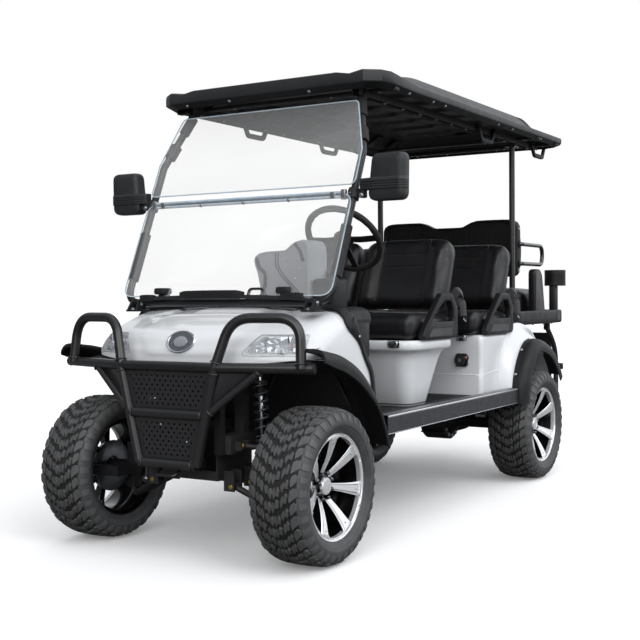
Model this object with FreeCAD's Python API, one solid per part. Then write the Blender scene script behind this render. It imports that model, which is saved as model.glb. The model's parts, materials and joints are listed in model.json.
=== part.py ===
import FreeCAD
import Part
import math
import os
from FreeCAD import Vector

# Lifted six-seat electric golf cart, in millimetres.
# While the pieces are drawn, Y runs back from the front axle, X is left of the cart's middle
# and Z is up from the ground. At the end everything is moved so that the origin lies on the
# ground under the middle of the whole cart. The cart faces -Y.

os.makedirs("parts", exist_ok=True)
parts = {}

# Fits shared by all pieces
seat_gap = 0.3
overrun = 40.0

# How round pieces are drawn
bar_sides = 12
bend_steps = 4
wheel_sides = 32
hub_sides = 20
nut_sides = 6
steep_share = 0.01
flat_limit = 0.000001

# Wheels and stance
wheelbase = 2190.0
rear_body_front_ahead = 590.0
body_half_width = 500.0
floor_overhang = 45.0
front_half_track = 506.0
rear_half_track = 510.0
tyre_radius = 292.0
tyre_width = 235.0
tread_width = 176.0
shoulder_width = 212.0
shoulder_drop = 12.0
sidewall_radius = 244.0
bead_radius = 201.0
rim_radius = 178.0
rim_lip_radius = 196.0
rim_half_width = 89.0
rim_lip_thickness = 8.0
rim_wall = 8.0
axle_z = tyre_radius

# Rim face
spoke_count = 7
spoke_outer_x = 84.0
spoke_thickness = 30.0
spoke_root_width = 34.0
spoke_tip_width = 52.0
hub_radius = 58.0
hub_face_x = 26.0
cap_radius = 33.0
cap_length = 28.0
nut_count = 4
nut_circle = 44.0
nut_radius = 8.0
nut_length = 22.0
rotor_radius = 105.0
rotor_thickness = 6.0
rotor_x = -30.0
spindle_radius = 18.0
spindle_reach = 12.0

# Steering
kingpin_x = 360.0
knuckle_width = 36.0
knuckle_depth = 44.0
knuckle_low_z = 215.0
knuckle_high_z = 400.0
steer_arm_length = 120.0
steer_arm_width = 22.0
steer_arm_z = 282.0
steer_arm_thickness = 16.0
tie_rod_radius = 8.0
tie_end_radius = 14.0
tie_end_height = 22.0
rack_half_length = 118.0
rack_radius = 23.0
rack_bore_gap = 2.0
caliper_width = 52.0
caliper_height = 40.0
caliper_offset_y = 96.0
caliper_gap = 5.0
caliper_wall = 12.0

# Ladder frame
rail_inner_x = 160.0
rail_width = 60.0
rail_low_z = 400.0
rail_height = 70.0
frame_front_y = -130.0
frame_rear_behind = 570.0
frame_rear_y = wheelbase + frame_rear_behind
cross_width = 50.0
cross_height = 50.0
outrigger_inset = 5.0
outrigger_reach = body_half_width + floor_overhang - outrigger_inset
outrigger_height = 40.0
subframe_low_z = 296.0
subframe_rear_y = 94.0
subframe_plate = 8.0
subframe_lip = 36.0

# Front suspension
lower_pivot_x = 190.0
lower_pivot_y = 66.0
lower_pivot_z = 271.0
upper_pivot_x = 240.0
upper_pivot_y = 75.0
upper_pivot_z = 430.0
arm_tube_radius = 12.0
bush_radius = 17.0
bush_length = 40.0
ball_radius = 18.0
ball_height = 26.0
lower_ball_height = 40.0
ear_thickness = 7.0
shock_top_x = 262.0
shock_top_z = 722.0
shock_foot_x = 292.0
shock_spring_radius = 30.0
shock_rod_radius = 9.0
shock_body_radius = 20.0
coil_low_share = 0.42
coil_high_share = 0.93
damper_share = 0.6
tower_width = 40.0

# Rear suspension and drive
axle_tube_radius = 38.0
spring_x = 300.0
spring_width = 56.0
spring_thickness = 22.0
spring_half_length = 330.0
hanger_thickness = 12.0
gearcase_radius = 112.0
gearcase_width = 150.0
motor_width = 230.0
motor_length = 250.0
motor_height = 190.0

# Body levels
floor_thickness = 20.0
floor_half_width = body_half_width + floor_overhang
floor_front_y = 400.0
floor_rear_ahead = 205.0
floor_rear_y = wheelbase - floor_rear_ahead
toe_half_width = 470.0
toe_top_y = 190.0
toe_top_z = 715.0
seat_base_z = 790.0
body_wall = 5.0

# Rocker sills
sill_width = 52.0
sill_low_z = 435.0
sill_height = 78.0
sill_front_y = 412.0
sill_rear_ahead = 352.0
sill_rear_y = wheelbase - sill_rear_ahead
sill_ribs = 5
sill_rib_depth = 4.0

# Front cowl
cowl_overhang = 22.0
cowl_half_width = body_half_width + cowl_overhang
cowl_wall = 5.0
cowl_nose_y = -157.0
cowl_nose_sweep = 118.0
cowl_lip_z = 733.0
cowl_nose_z = 790.0
cowl_brow_z = 862.0
cowl_brow_y = 62.0
cowl_top_z = 952.0
cowl_top_y = 262.0
cowl_crown = 16.0
cowl_shoulder = 70.0
cowl_skirt_z = rail_low_z + rail_height + floor_thickness + seat_gap
cowl_skirt_y = 452.0
cowl_edge_top_back = 24.0
cowl_edge_mid_back = 46.0
cowl_edge_foot_back = 8.0
cowl_edge_mid_z = 683.0
cowl_nose_bottom_set_back = 22.0
cowl_steps = 6
nose_sweep_power = 2.2
nose_set_share = 0.55
brow_fall_share = 0.8
nose_fall_share = 0.3

# Headlamps, outlines seen from the front
lamp_inner_x = 258.0
lamp_outer_x = 502.0
lamp_low_z = 768.0
lamp_high_z = 848.0
lamp_slant = 62.0
lamp_depth = 78.0
lamp_corner = 14.0
lamp_gap = 0.3

# Wheel arches and fender flares, whose outer edge runs through (y, z) points
front_arch_z = 365.0
front_arch_radius = 394.0
rear_arch_z = 360.0
rear_arch_y_offset = 12.0
rear_arch_radius = 356.0
flare_overhang = 136.0
flare_outer_x = body_half_width + flare_overhang
flare_face_height = 62.0
flare_round = 24.0
flare_wall = 6.0
front_flare_path = [
    (-128.0, 800.0), (-60.0, 792.0), (40.0, 769.0), (140.0, 722.0),
    (225.0, 655.0), (300.0, 570.0), (355.0, 480.0), (384.0, 405.0),
]
rear_flare_path = [
    (-337.0, 430.0), (-322.0, 540.0), (-272.0, 640.0), (-200.0, 716.0), (-125.0, 750.0), (-30.0, 744.0),
    (70.0, 714.0), (150.0, 668.0), (215.0, 610.0), (262.0, 550.0),
]

# Brush guard, tube centre lines
guard_tube_radius = 19.0
guard_front_y = -228.0
guard_top_z = 731.0
guard_top_half = 222.0
guard_end_x = 584.0
guard_end_y = -124.0
guard_mid_z = 553.0
guard_mid_half = 181.0
guard_low_z = 364.0
guard_low_half = 135.0
guard_brace_x = 400.0
brace_share = 0.8
hoop_top_z = 912.0
hoop_inner_x = 305.0
hoop_outer_x = 545.0
hoop_outer_y = -152.0
hoop_bend = 62.0
guard_plate = 4.0
guard_plate_inset = 6.0
guard_bracket_width = 30.0

# Windshield struts and panes
strut_radius = 16.0
strut_low_x = 503.0
strut_low_y = 128.0
strut_low_z = 966.0
strut_mid_x = 504.0
strut_mid_y = 314.0
strut_mid_z = 1393.0
strut_knee_x = 505.0
strut_knee_y = 388.0
strut_knee_z = 1562.0
strut_top_x = 431.0
strut_top_y = 512.0
strut_top_z = 1796.0
strut_corner = 60.0
pane_thickness = 5.0
pane_half_width = 512.0
pane_top_half = 446.0
pane_top_z = 1773.0
pane_corner = 50.0
pane_low_share = 0.04
pane_mid_share = 0.97
upper_pane_low_share = 0.15
upper_pane_corner = 24.0
hinge_bar_height = 26.0
hinge_bar_depth = 8.0
foot_width = 46.0
foot_depth = 70.0
sleeve_radius = 21.0
low_sleeve_shares = (0.22, 0.69)
high_sleeve_shares = (0.16, 0.46)
hinge_sleeve_shares = (0.765, 0.83)

# Roof
roof_front_y = 415.0
roof_corner_y = 512.0
roof_rear_behind = 500.0
roof_rear_y = wheelbase + roof_rear_behind
roof_half_width = 572.0
roof_corner_x = 492.0
roof_rear_corner = 90.0
roof_low_z = 1826.0
roof_rim_height = 68.0
roof_crown_z = 1990.0
roof_plateau_inset = 190.0
roof_shoulder_inset = 34.0
shoulder_rise_share = 0.45
front_corner_share = 0.25
rear_corner_share = 0.3
roof_wall = 6.0
roof_notch_x = 404.0
roof_notch_width = 34.0
roof_rail_x = 424.0
roof_rail_width = 36.0
roof_rail_height = 34.0
roof_bar_height = 16.0
roof_handle_span = 118.0
roof_handle_drop = 76.0
roof_handle_thickness = 14.0
roof_handle_width = 22.0
handle_foot_share = 0.62
handle_wall_share = 0.8
roof_handle_places = [1035.0, 1745.0, 2455.0]

# Rear roof posts
post_x = 408.0
post_behind = 66.0
post_y = wheelbase + post_behind
post_radius = 16.0

# Seats
seat_gap_between_backs = 24.0
cushion_inset = 14.0
cushion_half_width = body_half_width - cushion_inset
cushion_front_y = 848.0
cushion_depth = 455.0
cushion_height = 115.0
cushion_round = 36.0
cushion_side_round = 60.0
cushion_overhang = 40.0
row_pitch = wheelbase - rear_body_front_ahead - cushion_overhang - cushion_front_y
back_lean = 118.0
back_height = 338.0
back_thickness = 100.0
back_round = 34.0
back_top_share = 0.8
back_front_inset = 335.0
back_inset = 22.0
back_half_width = body_half_width - back_inset

# Front seat pod
pod_front_y = 838.0
pod_rear_y = 1298.0
pod_lip_height = 46.0
pod_low_front_y = 940.0
pod_low_rear_y = 1150.0
pod_low_inset = 70.0
pod_low_half_width = body_half_width - pod_low_inset
pod_under_lip_inset = 26.0
pod_corner = 60.0
corner_near_share = 0.13
corner_far_share = 0.5

# Rear body
rear_body_front_y = wheelbase - rear_body_front_ahead
rear_body_rear_behind = 400.0
rear_body_rear_y = wheelbase + rear_body_rear_behind
rear_floor_half_width = 350.0
rear_body_top_behind = 50.0
rear_body_top_y = wheelbase + rear_body_top_behind
rear_body_tail_z = 690.0
rear_body_hip_z = 690.0
rear_body_hip_behind = 280.0
rear_body_hip_y = wheelbase + rear_body_hip_behind
rear_body_corner = 46.0

# Battery
battery_half_width = 330.0
battery_front_ahead = 550.0
battery_front_y = wheelbase - battery_front_ahead
battery_length = 320.0
battery_height = 250.0

# Rear-facing seat
tray_front_ahead = 128.0
tray_front_y = wheelbase - tray_front_ahead
tray_rear_behind = 702.0
tray_rear_y = wheelbase + tray_rear_behind
tray_half_width = body_half_width
tray_low_z = 822.0
tray_height = 76.0
tray_floor = 40.0
tray_wall = 14.0
tray_corner = 90.0
rear_cushion_inset = 105.0
rear_cushion_half_width = body_half_width - rear_cushion_inset
rear_cushion_front_behind = 262.0
rear_cushion_front_y = wheelbase + rear_cushion_front_behind
rear_cushion_rear_behind = 638.0
rear_cushion_rear_y = wheelbase + rear_cushion_rear_behind
rear_cushion_height = 155.0
shell_half_width = 420.0
shell_front_behind = 116.0
shell_front_y = wheelbase + shell_front_behind
shell_depth = 52.0
shell_low_z = 1088.0
shell_high_z = 1372.0
shell_hump = 36.0
hump_shares = (0.86, 0.36, 0.22)
hump_corner_share = 0.6
shell_corner = 48.0
rear_pad_depth = 84.0
rear_pad_margin = 14.0
stanchion_x = 250.0
stanchion_width = 30.0
stanchion_depth = 24.0
loop_radius = 12.0
loop_reach_behind = 480.0
loop_reach = wheelbase + loop_reach_behind
loop_high_z = 1268.0
loop_low_z = 1160.0

# Armrests
arm_inset = 14.0
arm_x = body_half_width - arm_inset
arm_width = 34.0
arm_front_y = 872.0
arm_foot_length = 403.0
arm_top_front = 233.0
arm_top_rear = 345.0
arm_height = 212.0
arm_band = 40.0
arm_elbow_share = 0.67
arm_base_share = 2.0
arm_toe_share = 2.6
rear_arm_inset = 52.0
rear_arm_x = body_half_width - rear_arm_inset
rear_arm_width = 44.0
rear_arm_front_behind = 266.0
rear_arm_front_y = wheelbase + rear_arm_front_behind
rear_arm_length = 168.0
rear_arm_height = 272.0
rear_arm_top_share = 0.4
cup_post_width = 40.0
cup_post_depth = 56.0
cup_behind = 658.0
cup_y = wheelbase + cup_behind
cup_radius = 62.0
cup_wall = 6.0
cup_height = 94.0
cup_top_z = 1132.0

# Dashboard and controls
dash_half_width = cowl_half_width - cowl_wall - seat_gap
dash_front_y = 282.0
dash_rear_y = 430.0
dash_low_z = 735.0
dash_top_z = 946.0
binnacle_left_x = 26.0
binnacle_right_x = 462.0
binnacle_front_y = 300.0
binnacle_rear_y = 452.0
binnacle_top_z = 1224.0
binnacle_corner = 52.0
wheel_centre_x = 270.0
wheel_centre_y = 640.0
wheel_centre_z = 1232.0
wheel_tilt_deg = 42.0
wheel_ring_radius = 166.0
wheel_grip_radius = 14.0
wheel_grip_sides = 8
wheel_hub_radius = 46.0
wheel_hub_height = 34.0
wheel_spoke_width = 30.0
wheel_spoke_thickness = 9.0
column_radius = 24.0
column_length = 490.0
column_running_gap = 0.5
column_hole_gap = 8.0
shaft_radius = 11.0
pedal_x = 250.0
pedal_pitch = 130.0
pedal_width = 86.0
pedal_height = 130.0
pedal_thickness = 14.0

# Mirrors
mirror_x = 652.0
mirror_y = 322.0
mirror_z = 1450.0
mirror_width = 165.0
mirror_height = 184.0
mirror_depth = 62.0
mirror_round = 26.0
mirror_arm_radius = 12.0

# Lamps, latches and the foot platform at the rear
tail_x = 430.0
tail_z = 620.0
tail_width = 86.0
tail_height = 52.0
tail_depth = 26.0
latch_width = 60.0
latch_height = 30.0
latch_depth = 16.0
latch_inset = 250.0
latch_x = body_half_width - latch_inset
socket_size = 66.0
socket_inset = 105.0
socket_x = body_half_width - socket_inset
socket_z = 664.0
strut_tail_x = 400.0
strut_tail_behind = 810.0
strut_tail_y = wheelbase + strut_tail_behind
strut_tail_top_behind = 650.0
strut_tail_top_y = wheelbase + strut_tail_top_behind
strut_tail_knee_z = 660.0
strut_tail_radius = 15.0
strut_tail_bend = 235.0
platform_hinge_z = 425.0
platform_half_width = 372.0
platform_length = 330.0
platform_thickness = 18.0
platform_pin_radius = 9.0


def at(x, y, z):
    return Vector(x, y, z)


def block(x0, x1, y0, y1, z0, z1):
    return Part.makeBox(x1 - x0, y1 - y0, z1 - z0, at(x0, y0, z0))


def mirrored(shape):
    return shape.mirror(at(0, 0, 0), at(1, 0, 0))


def pair(shape):
    return [shape, mirrored(shape)]


def rod(start, end, radius):
    along = end.sub(start)
    return Part.makeCylinder(radius, along.Length, start, along)


def fused(solids):
    whole = solids[0]
    if len(solids) > 1:
        whole = whole.fuse(solids[1:])
    return whole.removeSplitter()


def path_edges(points, radius, closed):
    """Straight edges through the points with a tangent arc at each corner."""
    count = len(points)
    corners = range(count) if closed else range(1, count - 1)
    entries, exits, arcs = {}, {}, {}
    for i in corners:
        before, here, after = points[i - 1], points[i], points[(i + 1) % count]
        back, ahead = before.sub(here), after.sub(here)
        half = (math.pi - back.getAngle(ahead)) / 2.0
        reach = min(radius * math.tan(half), 0.45 * back.Length, 0.45 * ahead.Length)
        if radius <= 0 or half < 0.01:
            entries[i] = exits[i] = here
            continue
        back.normalize()
        ahead.normalize()
        entries[i] = here.add(back * reach)
        exits[i] = here.add(ahead * reach)
        bisector = back.add(ahead).normalize()
        turn_radius = reach / math.tan(half)
        depth = turn_radius / math.cos(half) - turn_radius
        arcs[i] = Part.Arc(entries[i], here.add(bisector * depth), exits[i]).toShape()
    edges = []
    last = count if closed else count - 1
    for i in range(last):
        start = exits.get(i, points[i])
        end = entries.get((i + 1) % count, points[(i + 1) % count])
        if start.distanceToPoint(end) > 1e-6:
            edges.append(Part.LineSegment(start, end).toShape())
        following = (i + 1) % count
        if following in arcs:
            edges.append(arcs[following])
    return edges


def outline(points, radius):
    return Part.Wire(path_edges(points, radius, True))


def slab(points, radius, direction):
    """A closed flat outline with rounded corners, pushed along a direction."""
    return Part.Face(outline(points, radius)).extrude(direction)


def side_slab(yz_points, x0, x1, radius):
    points = [at(x0, y, z) for y, z in yz_points]
    return slab(points, radius, at(x1 - x0, 0, 0))


def plan_slab(xy_points, z0, z1, radius):
    points = [at(x, y, z0) for x, y in xy_points]
    return slab(points, radius, at(0, 0, z1 - z0))


def front_slab(xz_points, y0, y1, radius):
    points = [at(x, y0, z) for x, z in xz_points]
    return slab(points, radius, at(0, y1 - y0, 0))


def skin(rings, closed):
    """A solid of flat facets between matching rings of corners, capped or joined end to end."""
    faces = []
    spans = list(zip(rings, rings[1:]))
    if closed:
        spans.append((rings[-1], rings[0]))
    else:
        faces += [Part.Face(Part.makePolygon(ring + ring[:1])) for ring in (rings[0], rings[-1])]
    for near, far in spans:
        for i in range(len(near)):
            j = (i + 1) % len(near)
            faces += facets(near[i], near[j], far[j], far[i])
    shell = Part.makeShell(faces)
    shell.sewShape()
    solid = Part.makeSolid(shell)
    if solid.Volume < 0:
        solid.reverse()
    return solid


def facets(a, b, c, d):
    """One flat facet over four corners, or two where they don't lie in a plane."""
    normal = b.sub(a).cross(c.sub(a)).normalize()
    if abs(d.sub(a).dot(normal)) < flat_limit:
        return [Part.Face(Part.makePolygon([a, b, c, d, a]))]
    return [Part.Face(Part.makePolygon([a, b, c, a])), Part.Face(Part.makePolygon([a, c, d, a]))]


def facet_ring(centre, along, radius, sides):
    """Corners of a flat-sided section square to a direction."""
    side = at(0, 0, 1).cross(along)
    if side.Length < along.Length * steep_share:
        side = at(1, 0, 0)
    side.normalize()
    up = along.cross(side).normalize()
    turns = [2 * math.pi * (i + 0.5) / sides for i in range(sides)]
    return [centre.add(side * (radius * math.cos(a))).add(up * (radius * math.sin(a))) for a in turns]


def bar(start, end, radius):
    """A straight round bar drawn with flat sides."""
    along = end.sub(start)
    ring = facet_ring(start, along, radius, bar_sides)
    return skin([ring, [corner.add(along) for corner in ring]], False)


def tube(points, radius, bend):
    """A bent round bar drawn with flat sides, mitred at each step of its bends."""
    line = []
    for edge in path_edges(points, bend, False):
        steps = 1 if isinstance(edge.Curve, Part.Line) else bend_steps
        first, last = edge.FirstParameter, edge.LastParameter
        line += [edge.valueAt(first + (last - first) * i / steps) for i in range(steps)]
    line.append(points[-1])
    rings = [facet_ring(line[0], line[1].sub(line[0]), radius, bar_sides)]
    for before, here, after in zip(line, line[1:], line[2:] + [None]):
        ahead = here.sub(before).normalize()
        normal = ahead if after is None else ahead.add(after.sub(here).normalize())
        rings.append([corner.add(ahead * (here.sub(corner).dot(normal) / ahead.dot(normal)))
                      for corner in rings[-1]])
    return skin(rings, False)


def turned(section, sides):
    """A section turned about the X axis, drawn with flat sides. Corners are (x, radius)."""
    rings = []
    for i in range(sides):
        angle = 2 * math.pi * i / sides
        rings.append([at(x, r * math.cos(angle), r * math.sin(angle)) for x, r in section])
    return skin(rings, True)


def disc(x0, x1, radius, sides):
    """A solid round piece about the X axis, drawn with flat sides."""
    turns = [2 * math.pi * (i + 0.5) / sides for i in range(sides)]
    ring = [at(x0, radius * math.cos(a), radius * math.sin(a)) for a in turns]
    return skin([ring, [corner.add(at(x1 - x0, 0, 0)) for corner in ring]], False)


def keep(name, *solids):
    parts[name] = Part.makeCompound(list(solids))


def tyre(centre_x, centre_y):
    half, bead = tyre_width / 2, rim_half_width - seat_gap
    side = [(bead, rim_radius + seat_gap), (bead, bead_radius), (half, sidewall_radius),
            (shoulder_width / 2, tyre_radius - shoulder_drop), (tread_width / 2, tyre_radius)]
    section = [(-x, r) for x, r in side] + side[::-1]
    return turned(section, wheel_sides).translate(at(centre_x, centre_y, axle_z))


def rim(centre_x, centre_y):
    """Rim for the left side: barrel, seven spokes, hub, cap, nuts and brake rotor."""
    lip_x = rim_half_width + rim_lip_thickness
    inner = rim_radius - rim_wall
    section = [
        (-lip_x, rim_lip_radius), (-rim_half_width, rim_lip_radius), (-rim_half_width, rim_radius),
        (rim_half_width, rim_radius), (rim_half_width, rim_lip_radius), (lip_x, rim_lip_radius),
        (rim_half_width, inner), (-lip_x, inner),
    ]
    pieces = [turned(section, wheel_sides)]
    root, tip = hub_radius - rim_wall, inner + rim_wall / 2
    for i in range(spoke_count):
        ends = []
        for face_x, half, reach in ((hub_face_x, spoke_root_width / 2, root), (spoke_outer_x, spoke_tip_width / 2, tip)):
            back_x = face_x - spoke_thickness
            ends.append([at(back_x, -half, reach), at(back_x, half, reach), at(face_x, half, reach), at(face_x, -half, reach)])
        blade = skin(ends, False)
        blade.rotate(at(0, 0, 0), at(1, 0, 0), 360.0 * i / spoke_count)
        pieces.append(blade)
    hub_back = rotor_x + rotor_thickness
    pieces.append(disc(hub_back, hub_face_x, hub_radius, hub_sides))
    pieces.append(disc(rotor_x, hub_back, rotor_radius, wheel_sides))
    pieces.append(disc(hub_face_x, hub_face_x + cap_length, cap_radius, hub_sides))
    for i in range(nut_count):
        angle = 2 * math.pi * (i + 0.5) / nut_count
        nut = disc(hub_face_x, hub_face_x + nut_length, nut_radius, nut_sides)
        pieces.append(nut.translate(at(0, nut_circle * math.cos(angle), nut_circle * math.sin(angle))))
    whole = fused(pieces)
    bore_end = spindle_reach + seat_gap
    bore = rod(at(rotor_x - overrun, 0, 0), at(bore_end, 0, 0), spindle_radius + seat_gap)
    whole = whole.cut(bore)
    return whole.translate(at(centre_x, centre_y, axle_z))


def make_wheels():
    places = {"front": (front_half_track, 0.0), "rear": (rear_half_track, wheelbase)}
    for end, (x, y) in places.items():
        left_rim = rim(x, y)
        keep("tyre_" + end + "_left", tyre(x, y))
        keep("tyre_" + end + "_right", tyre(-x, y))
        keep("rim_" + end + "_left", left_rim)
        keep("rim_" + end + "_right", mirrored(left_rim))


def knuckle():
    """Left steering knuckle with its spindle, steering arm and brake caliper."""
    half_w, half_d = knuckle_width / 2, knuckle_depth / 2
    inner, outer = kingpin_x - half_w, kingpin_x + half_w
    post = block(inner, outer, -half_d, half_d, knuckle_low_z, knuckle_high_z)
    spindle = rod(at(kingpin_x, 0, axle_z), at(front_half_track + spindle_reach, 0, axle_z), spindle_radius)
    shoulder_end = front_half_track + rotor_x - caliper_gap
    shoulder = bar(at(kingpin_x, 0, axle_z), at(shoulder_end, 0, axle_z), spindle_radius + caliper_wall)
    arm = block(kingpin_x - steer_arm_width / 2, kingpin_x + steer_arm_width / 2,
                0, steer_arm_length + steer_arm_width / 2, steer_arm_z, steer_arm_z + steer_arm_thickness)
    rotor_centre = front_half_track + rotor_x + rotor_thickness / 2
    slot = rotor_thickness / 2 + caliper_gap
    y0, y1 = -caliper_offset_y - caliper_width / 2, -caliper_offset_y + caliper_width / 2
    z0, z1 = axle_z - caliper_height / 2, axle_z + caliper_height / 2
    caliper = block(rotor_centre - slot - caliper_wall, rotor_centre + slot + caliper_wall, y0, y1, z0, z1)
    disc_room = block(rotor_centre - slot, rotor_centre + slot,
                      y0 + caliper_wall, y1 + overrun, z0 - overrun, z1 + overrun)
    caliper = caliper.cut(disc_room)
    bracket_x = rotor_centre - slot
    bracket = block(inner, outer, y0, 0, z0, z1)
    finger = block(outer, bracket_x, y0, y1, z0, z1)
    return fused([post, spindle, shoulder, arm, bracket, finger, caliper])


def make_steering():
    left = knuckle()
    keep("knuckle_left", left)
    keep("knuckle_right", mirrored(left))
    end_top = steer_arm_z - seat_gap
    rod_z = rack_height()
    link = bar(at(-kingpin_x, steer_arm_length, rod_z), at(kingpin_x, steer_arm_length, rod_z), tie_rod_radius)
    end = bar(at(kingpin_x, steer_arm_length, end_top - tie_end_height),
              at(kingpin_x, steer_arm_length, end_top), tie_end_radius)
    keep("tie_rod", fused([link] + pair(end)))
    make_steering_wheel()
    make_column(rod_z)


def column_axis():
    tilt = math.radians(wheel_tilt_deg)
    return at(0, math.cos(tilt), math.sin(tilt))


def make_steering_wheel():
    grip = []
    for i in range(wheel_grip_sides):
        angle = 2 * math.pi * (i + 0.5) / wheel_grip_sides
        grip.append((wheel_grip_radius * math.sin(angle), wheel_ring_radius + wheel_grip_radius * math.cos(angle)))
    pieces = [turned(grip, wheel_sides), disc(-wheel_hub_height, 0, wheel_hub_radius, hub_sides)]
    for turn in (0, 180, 270):
        spoke = block(-wheel_hub_height / 2, -wheel_hub_height / 2 + wheel_spoke_thickness,
                      0, wheel_ring_radius, -wheel_spoke_width / 2, wheel_spoke_width / 2)
        spoke.rotate(at(0, 0, 0), at(1, 0, 0), turn)
        pieces.append(spoke)
    wheel = fused(pieces)
    wheel.rotate(at(0, 0, 0), at(0, 0, 1), 90)
    wheel.rotate(at(0, 0, 0), at(1, 0, 0), wheel_tilt_deg)
    wheel.translate(at(wheel_centre_x, wheel_centre_y, wheel_centre_z))
    keep("steering_wheel", wheel)


def rack_height():
    return steer_arm_z - seat_gap - tie_end_height / 2


def shaft_ends():
    """Foot of the steering column and the pinion that its lower shaft leads to."""
    centre = at(wheel_centre_x, wheel_centre_y, wheel_centre_z)
    reach = wheel_hub_height + column_running_gap + column_length
    pinion = at(rack_half_length / 2, steer_arm_length, rack_height() + rack_radius / 2)
    return centre.sub(column_axis() * reach), pinion


def make_column(rack_z):
    axis = column_axis()
    foot, pinion = shaft_ends()
    top = foot.add(axis * column_length)
    cover = bar(foot, top, column_radius)
    shaft = bar(foot, pinion, shaft_radius)
    joint_half = axis * column_radius
    knuckle_joint = bar(foot.sub(joint_half), foot.add(joint_half), column_radius)
    housing = bar(at(-rack_half_length, steer_arm_length, rack_z),
                  at(rack_half_length, steer_arm_length, rack_z), rack_radius)
    column = fused([cover, knuckle_joint, shaft, housing])
    bore = rod(at(-rack_half_length - overrun, steer_arm_length, rack_z),
               at(rack_half_length + overrun, steer_arm_length, rack_z), tie_rod_radius + rack_bore_gap)
    keep("steering_column", column.cut(bore))


def make_frame():
    rail_outer = rail_inner_x + rail_width
    rail_top = rail_low_z + rail_height
    keep("frame_rails", *pair(block(rail_inner_x, rail_outer, frame_front_y, frame_rear_y, rail_low_z, rail_top)))
    pieces = []
    for y in (sill_front_y, pod_low_front_y, rear_body_front_y, frame_rear_y - cross_width):
        pieces.append(block(-rail_inner_x, rail_inner_x, y, y + cross_width, rail_top - cross_height, rail_top))
    for y in (sill_front_y + cross_width, pod_low_rear_y, sill_rear_y - 2 * cross_width):
        pieces += pair(block(rail_outer, outrigger_reach, y, y + cross_width, rail_top - outrigger_height, rail_top))
    keep("frame_crossmembers", *pieces)
    keep("front_subframe", fused(front_subframe(rail_top)))
    guard_brackets()
    rear_frame(rail_outer, rail_top)


def front_subframe(rail_top):
    inner = rail_inner_x - subframe_plate
    pieces = []
    for side in (1, -1):
        x0, x1 = sorted((side * inner, side * rail_inner_x))
        pieces.append(block(x0, x1, frame_front_y, subframe_rear_y, subframe_low_z, rail_top))
    pieces.append(block(-inner, inner, frame_front_y, subframe_rear_y,
                        subframe_low_z, subframe_low_z + subframe_plate))
    pieces.append(block(-inner, inner, frame_front_y, frame_front_y + subframe_plate,
                        subframe_low_z, subframe_low_z + subframe_lip))
    ear_top = subframe_low_z + subframe_lip
    ear_low = lower_pivot_z - bush_radius
    for y in (-lower_pivot_y, lower_pivot_y):
        for end in (-1, 1):
            face = y + end * (bush_length / 2 + seat_gap)
            y0, y1 = sorted((face, face + end * ear_thickness))
            ear = block(rail_inner_x, lower_pivot_x + bush_radius, y0, y1, ear_low, ear_top)
            pieces += pair(ear)
    rail_outer = rail_inner_x + rail_width
    for y in (-upper_pivot_y, upper_pivot_y):
        for end in (-1, 1):
            face = y + end * (bush_length / 2 + seat_gap)
            y0, y1 = sorted((face, face + end * ear_thickness))
            ear = block(rail_outer, upper_pivot_x + bush_radius / 2, y0, y1,
                        upper_pivot_z - bush_radius, upper_pivot_z + bush_radius)
            pieces += pair(ear)
    tower_y0 = -tower_width / 2
    tower_x1 = rail_inner_x + tower_width
    cap_z = shock_top_z + seat_gap
    tower = block(rail_inner_x, tower_x1, tower_y0, tower_y0 + tower_width, rail_top, cap_z + ear_thickness)
    cap = block(tower_x1, shock_top_x + shock_spring_radius, tower_y0, tower_y0 + tower_width,
                cap_z, cap_z + ear_thickness)
    pieces += pair(tower) + pair(cap)
    bridge = block(-rail_inner_x, rail_inner_x, tower_y0, tower_y0 + ear_thickness,
                   cap_z - tower_width, cap_z)
    pieces.append(bridge)
    shelf_z = rack_height() + rack_radius + seat_gap
    pieces.append(block(-inner, inner, subframe_rear_y - subframe_plate, subframe_rear_y, shelf_z, rail_top))
    pieces.append(block(-rack_half_length, 0, subframe_rear_y, steer_arm_length + rack_radius / 2,
                        shelf_z, shelf_z + subframe_plate))
    return pieces


def guard_brackets():
    """Uprights and tabs that carry the brush guard's bars."""
    bar_back = guard_front_y + guard_tube_radius + seat_gap
    x0 = rail_inner_x + guard_plate_inset
    x1 = x0 + guard_bracket_width
    upright_back = frame_front_y
    upright_front = frame_front_y - guard_bracket_width
    tab_top = guard_top_z - guard_plate
    upright = block(x0, x1, upright_front, upright_back, rail_low_z, tab_top)
    tab = block(x0, x1, bar_back, upright_front, tab_top - guard_bracket_width, tab_top)
    low_half = guard_low_half - guard_bracket_width
    low_tab = block(low_half - guard_bracket_width, low_half, bar_back, frame_front_y,
                    guard_low_z - guard_tube_radius, guard_low_z + guard_tube_radius)
    keep("guard_brackets", *(pair(fused([upright, tab])) + pair(low_tab)))


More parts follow.
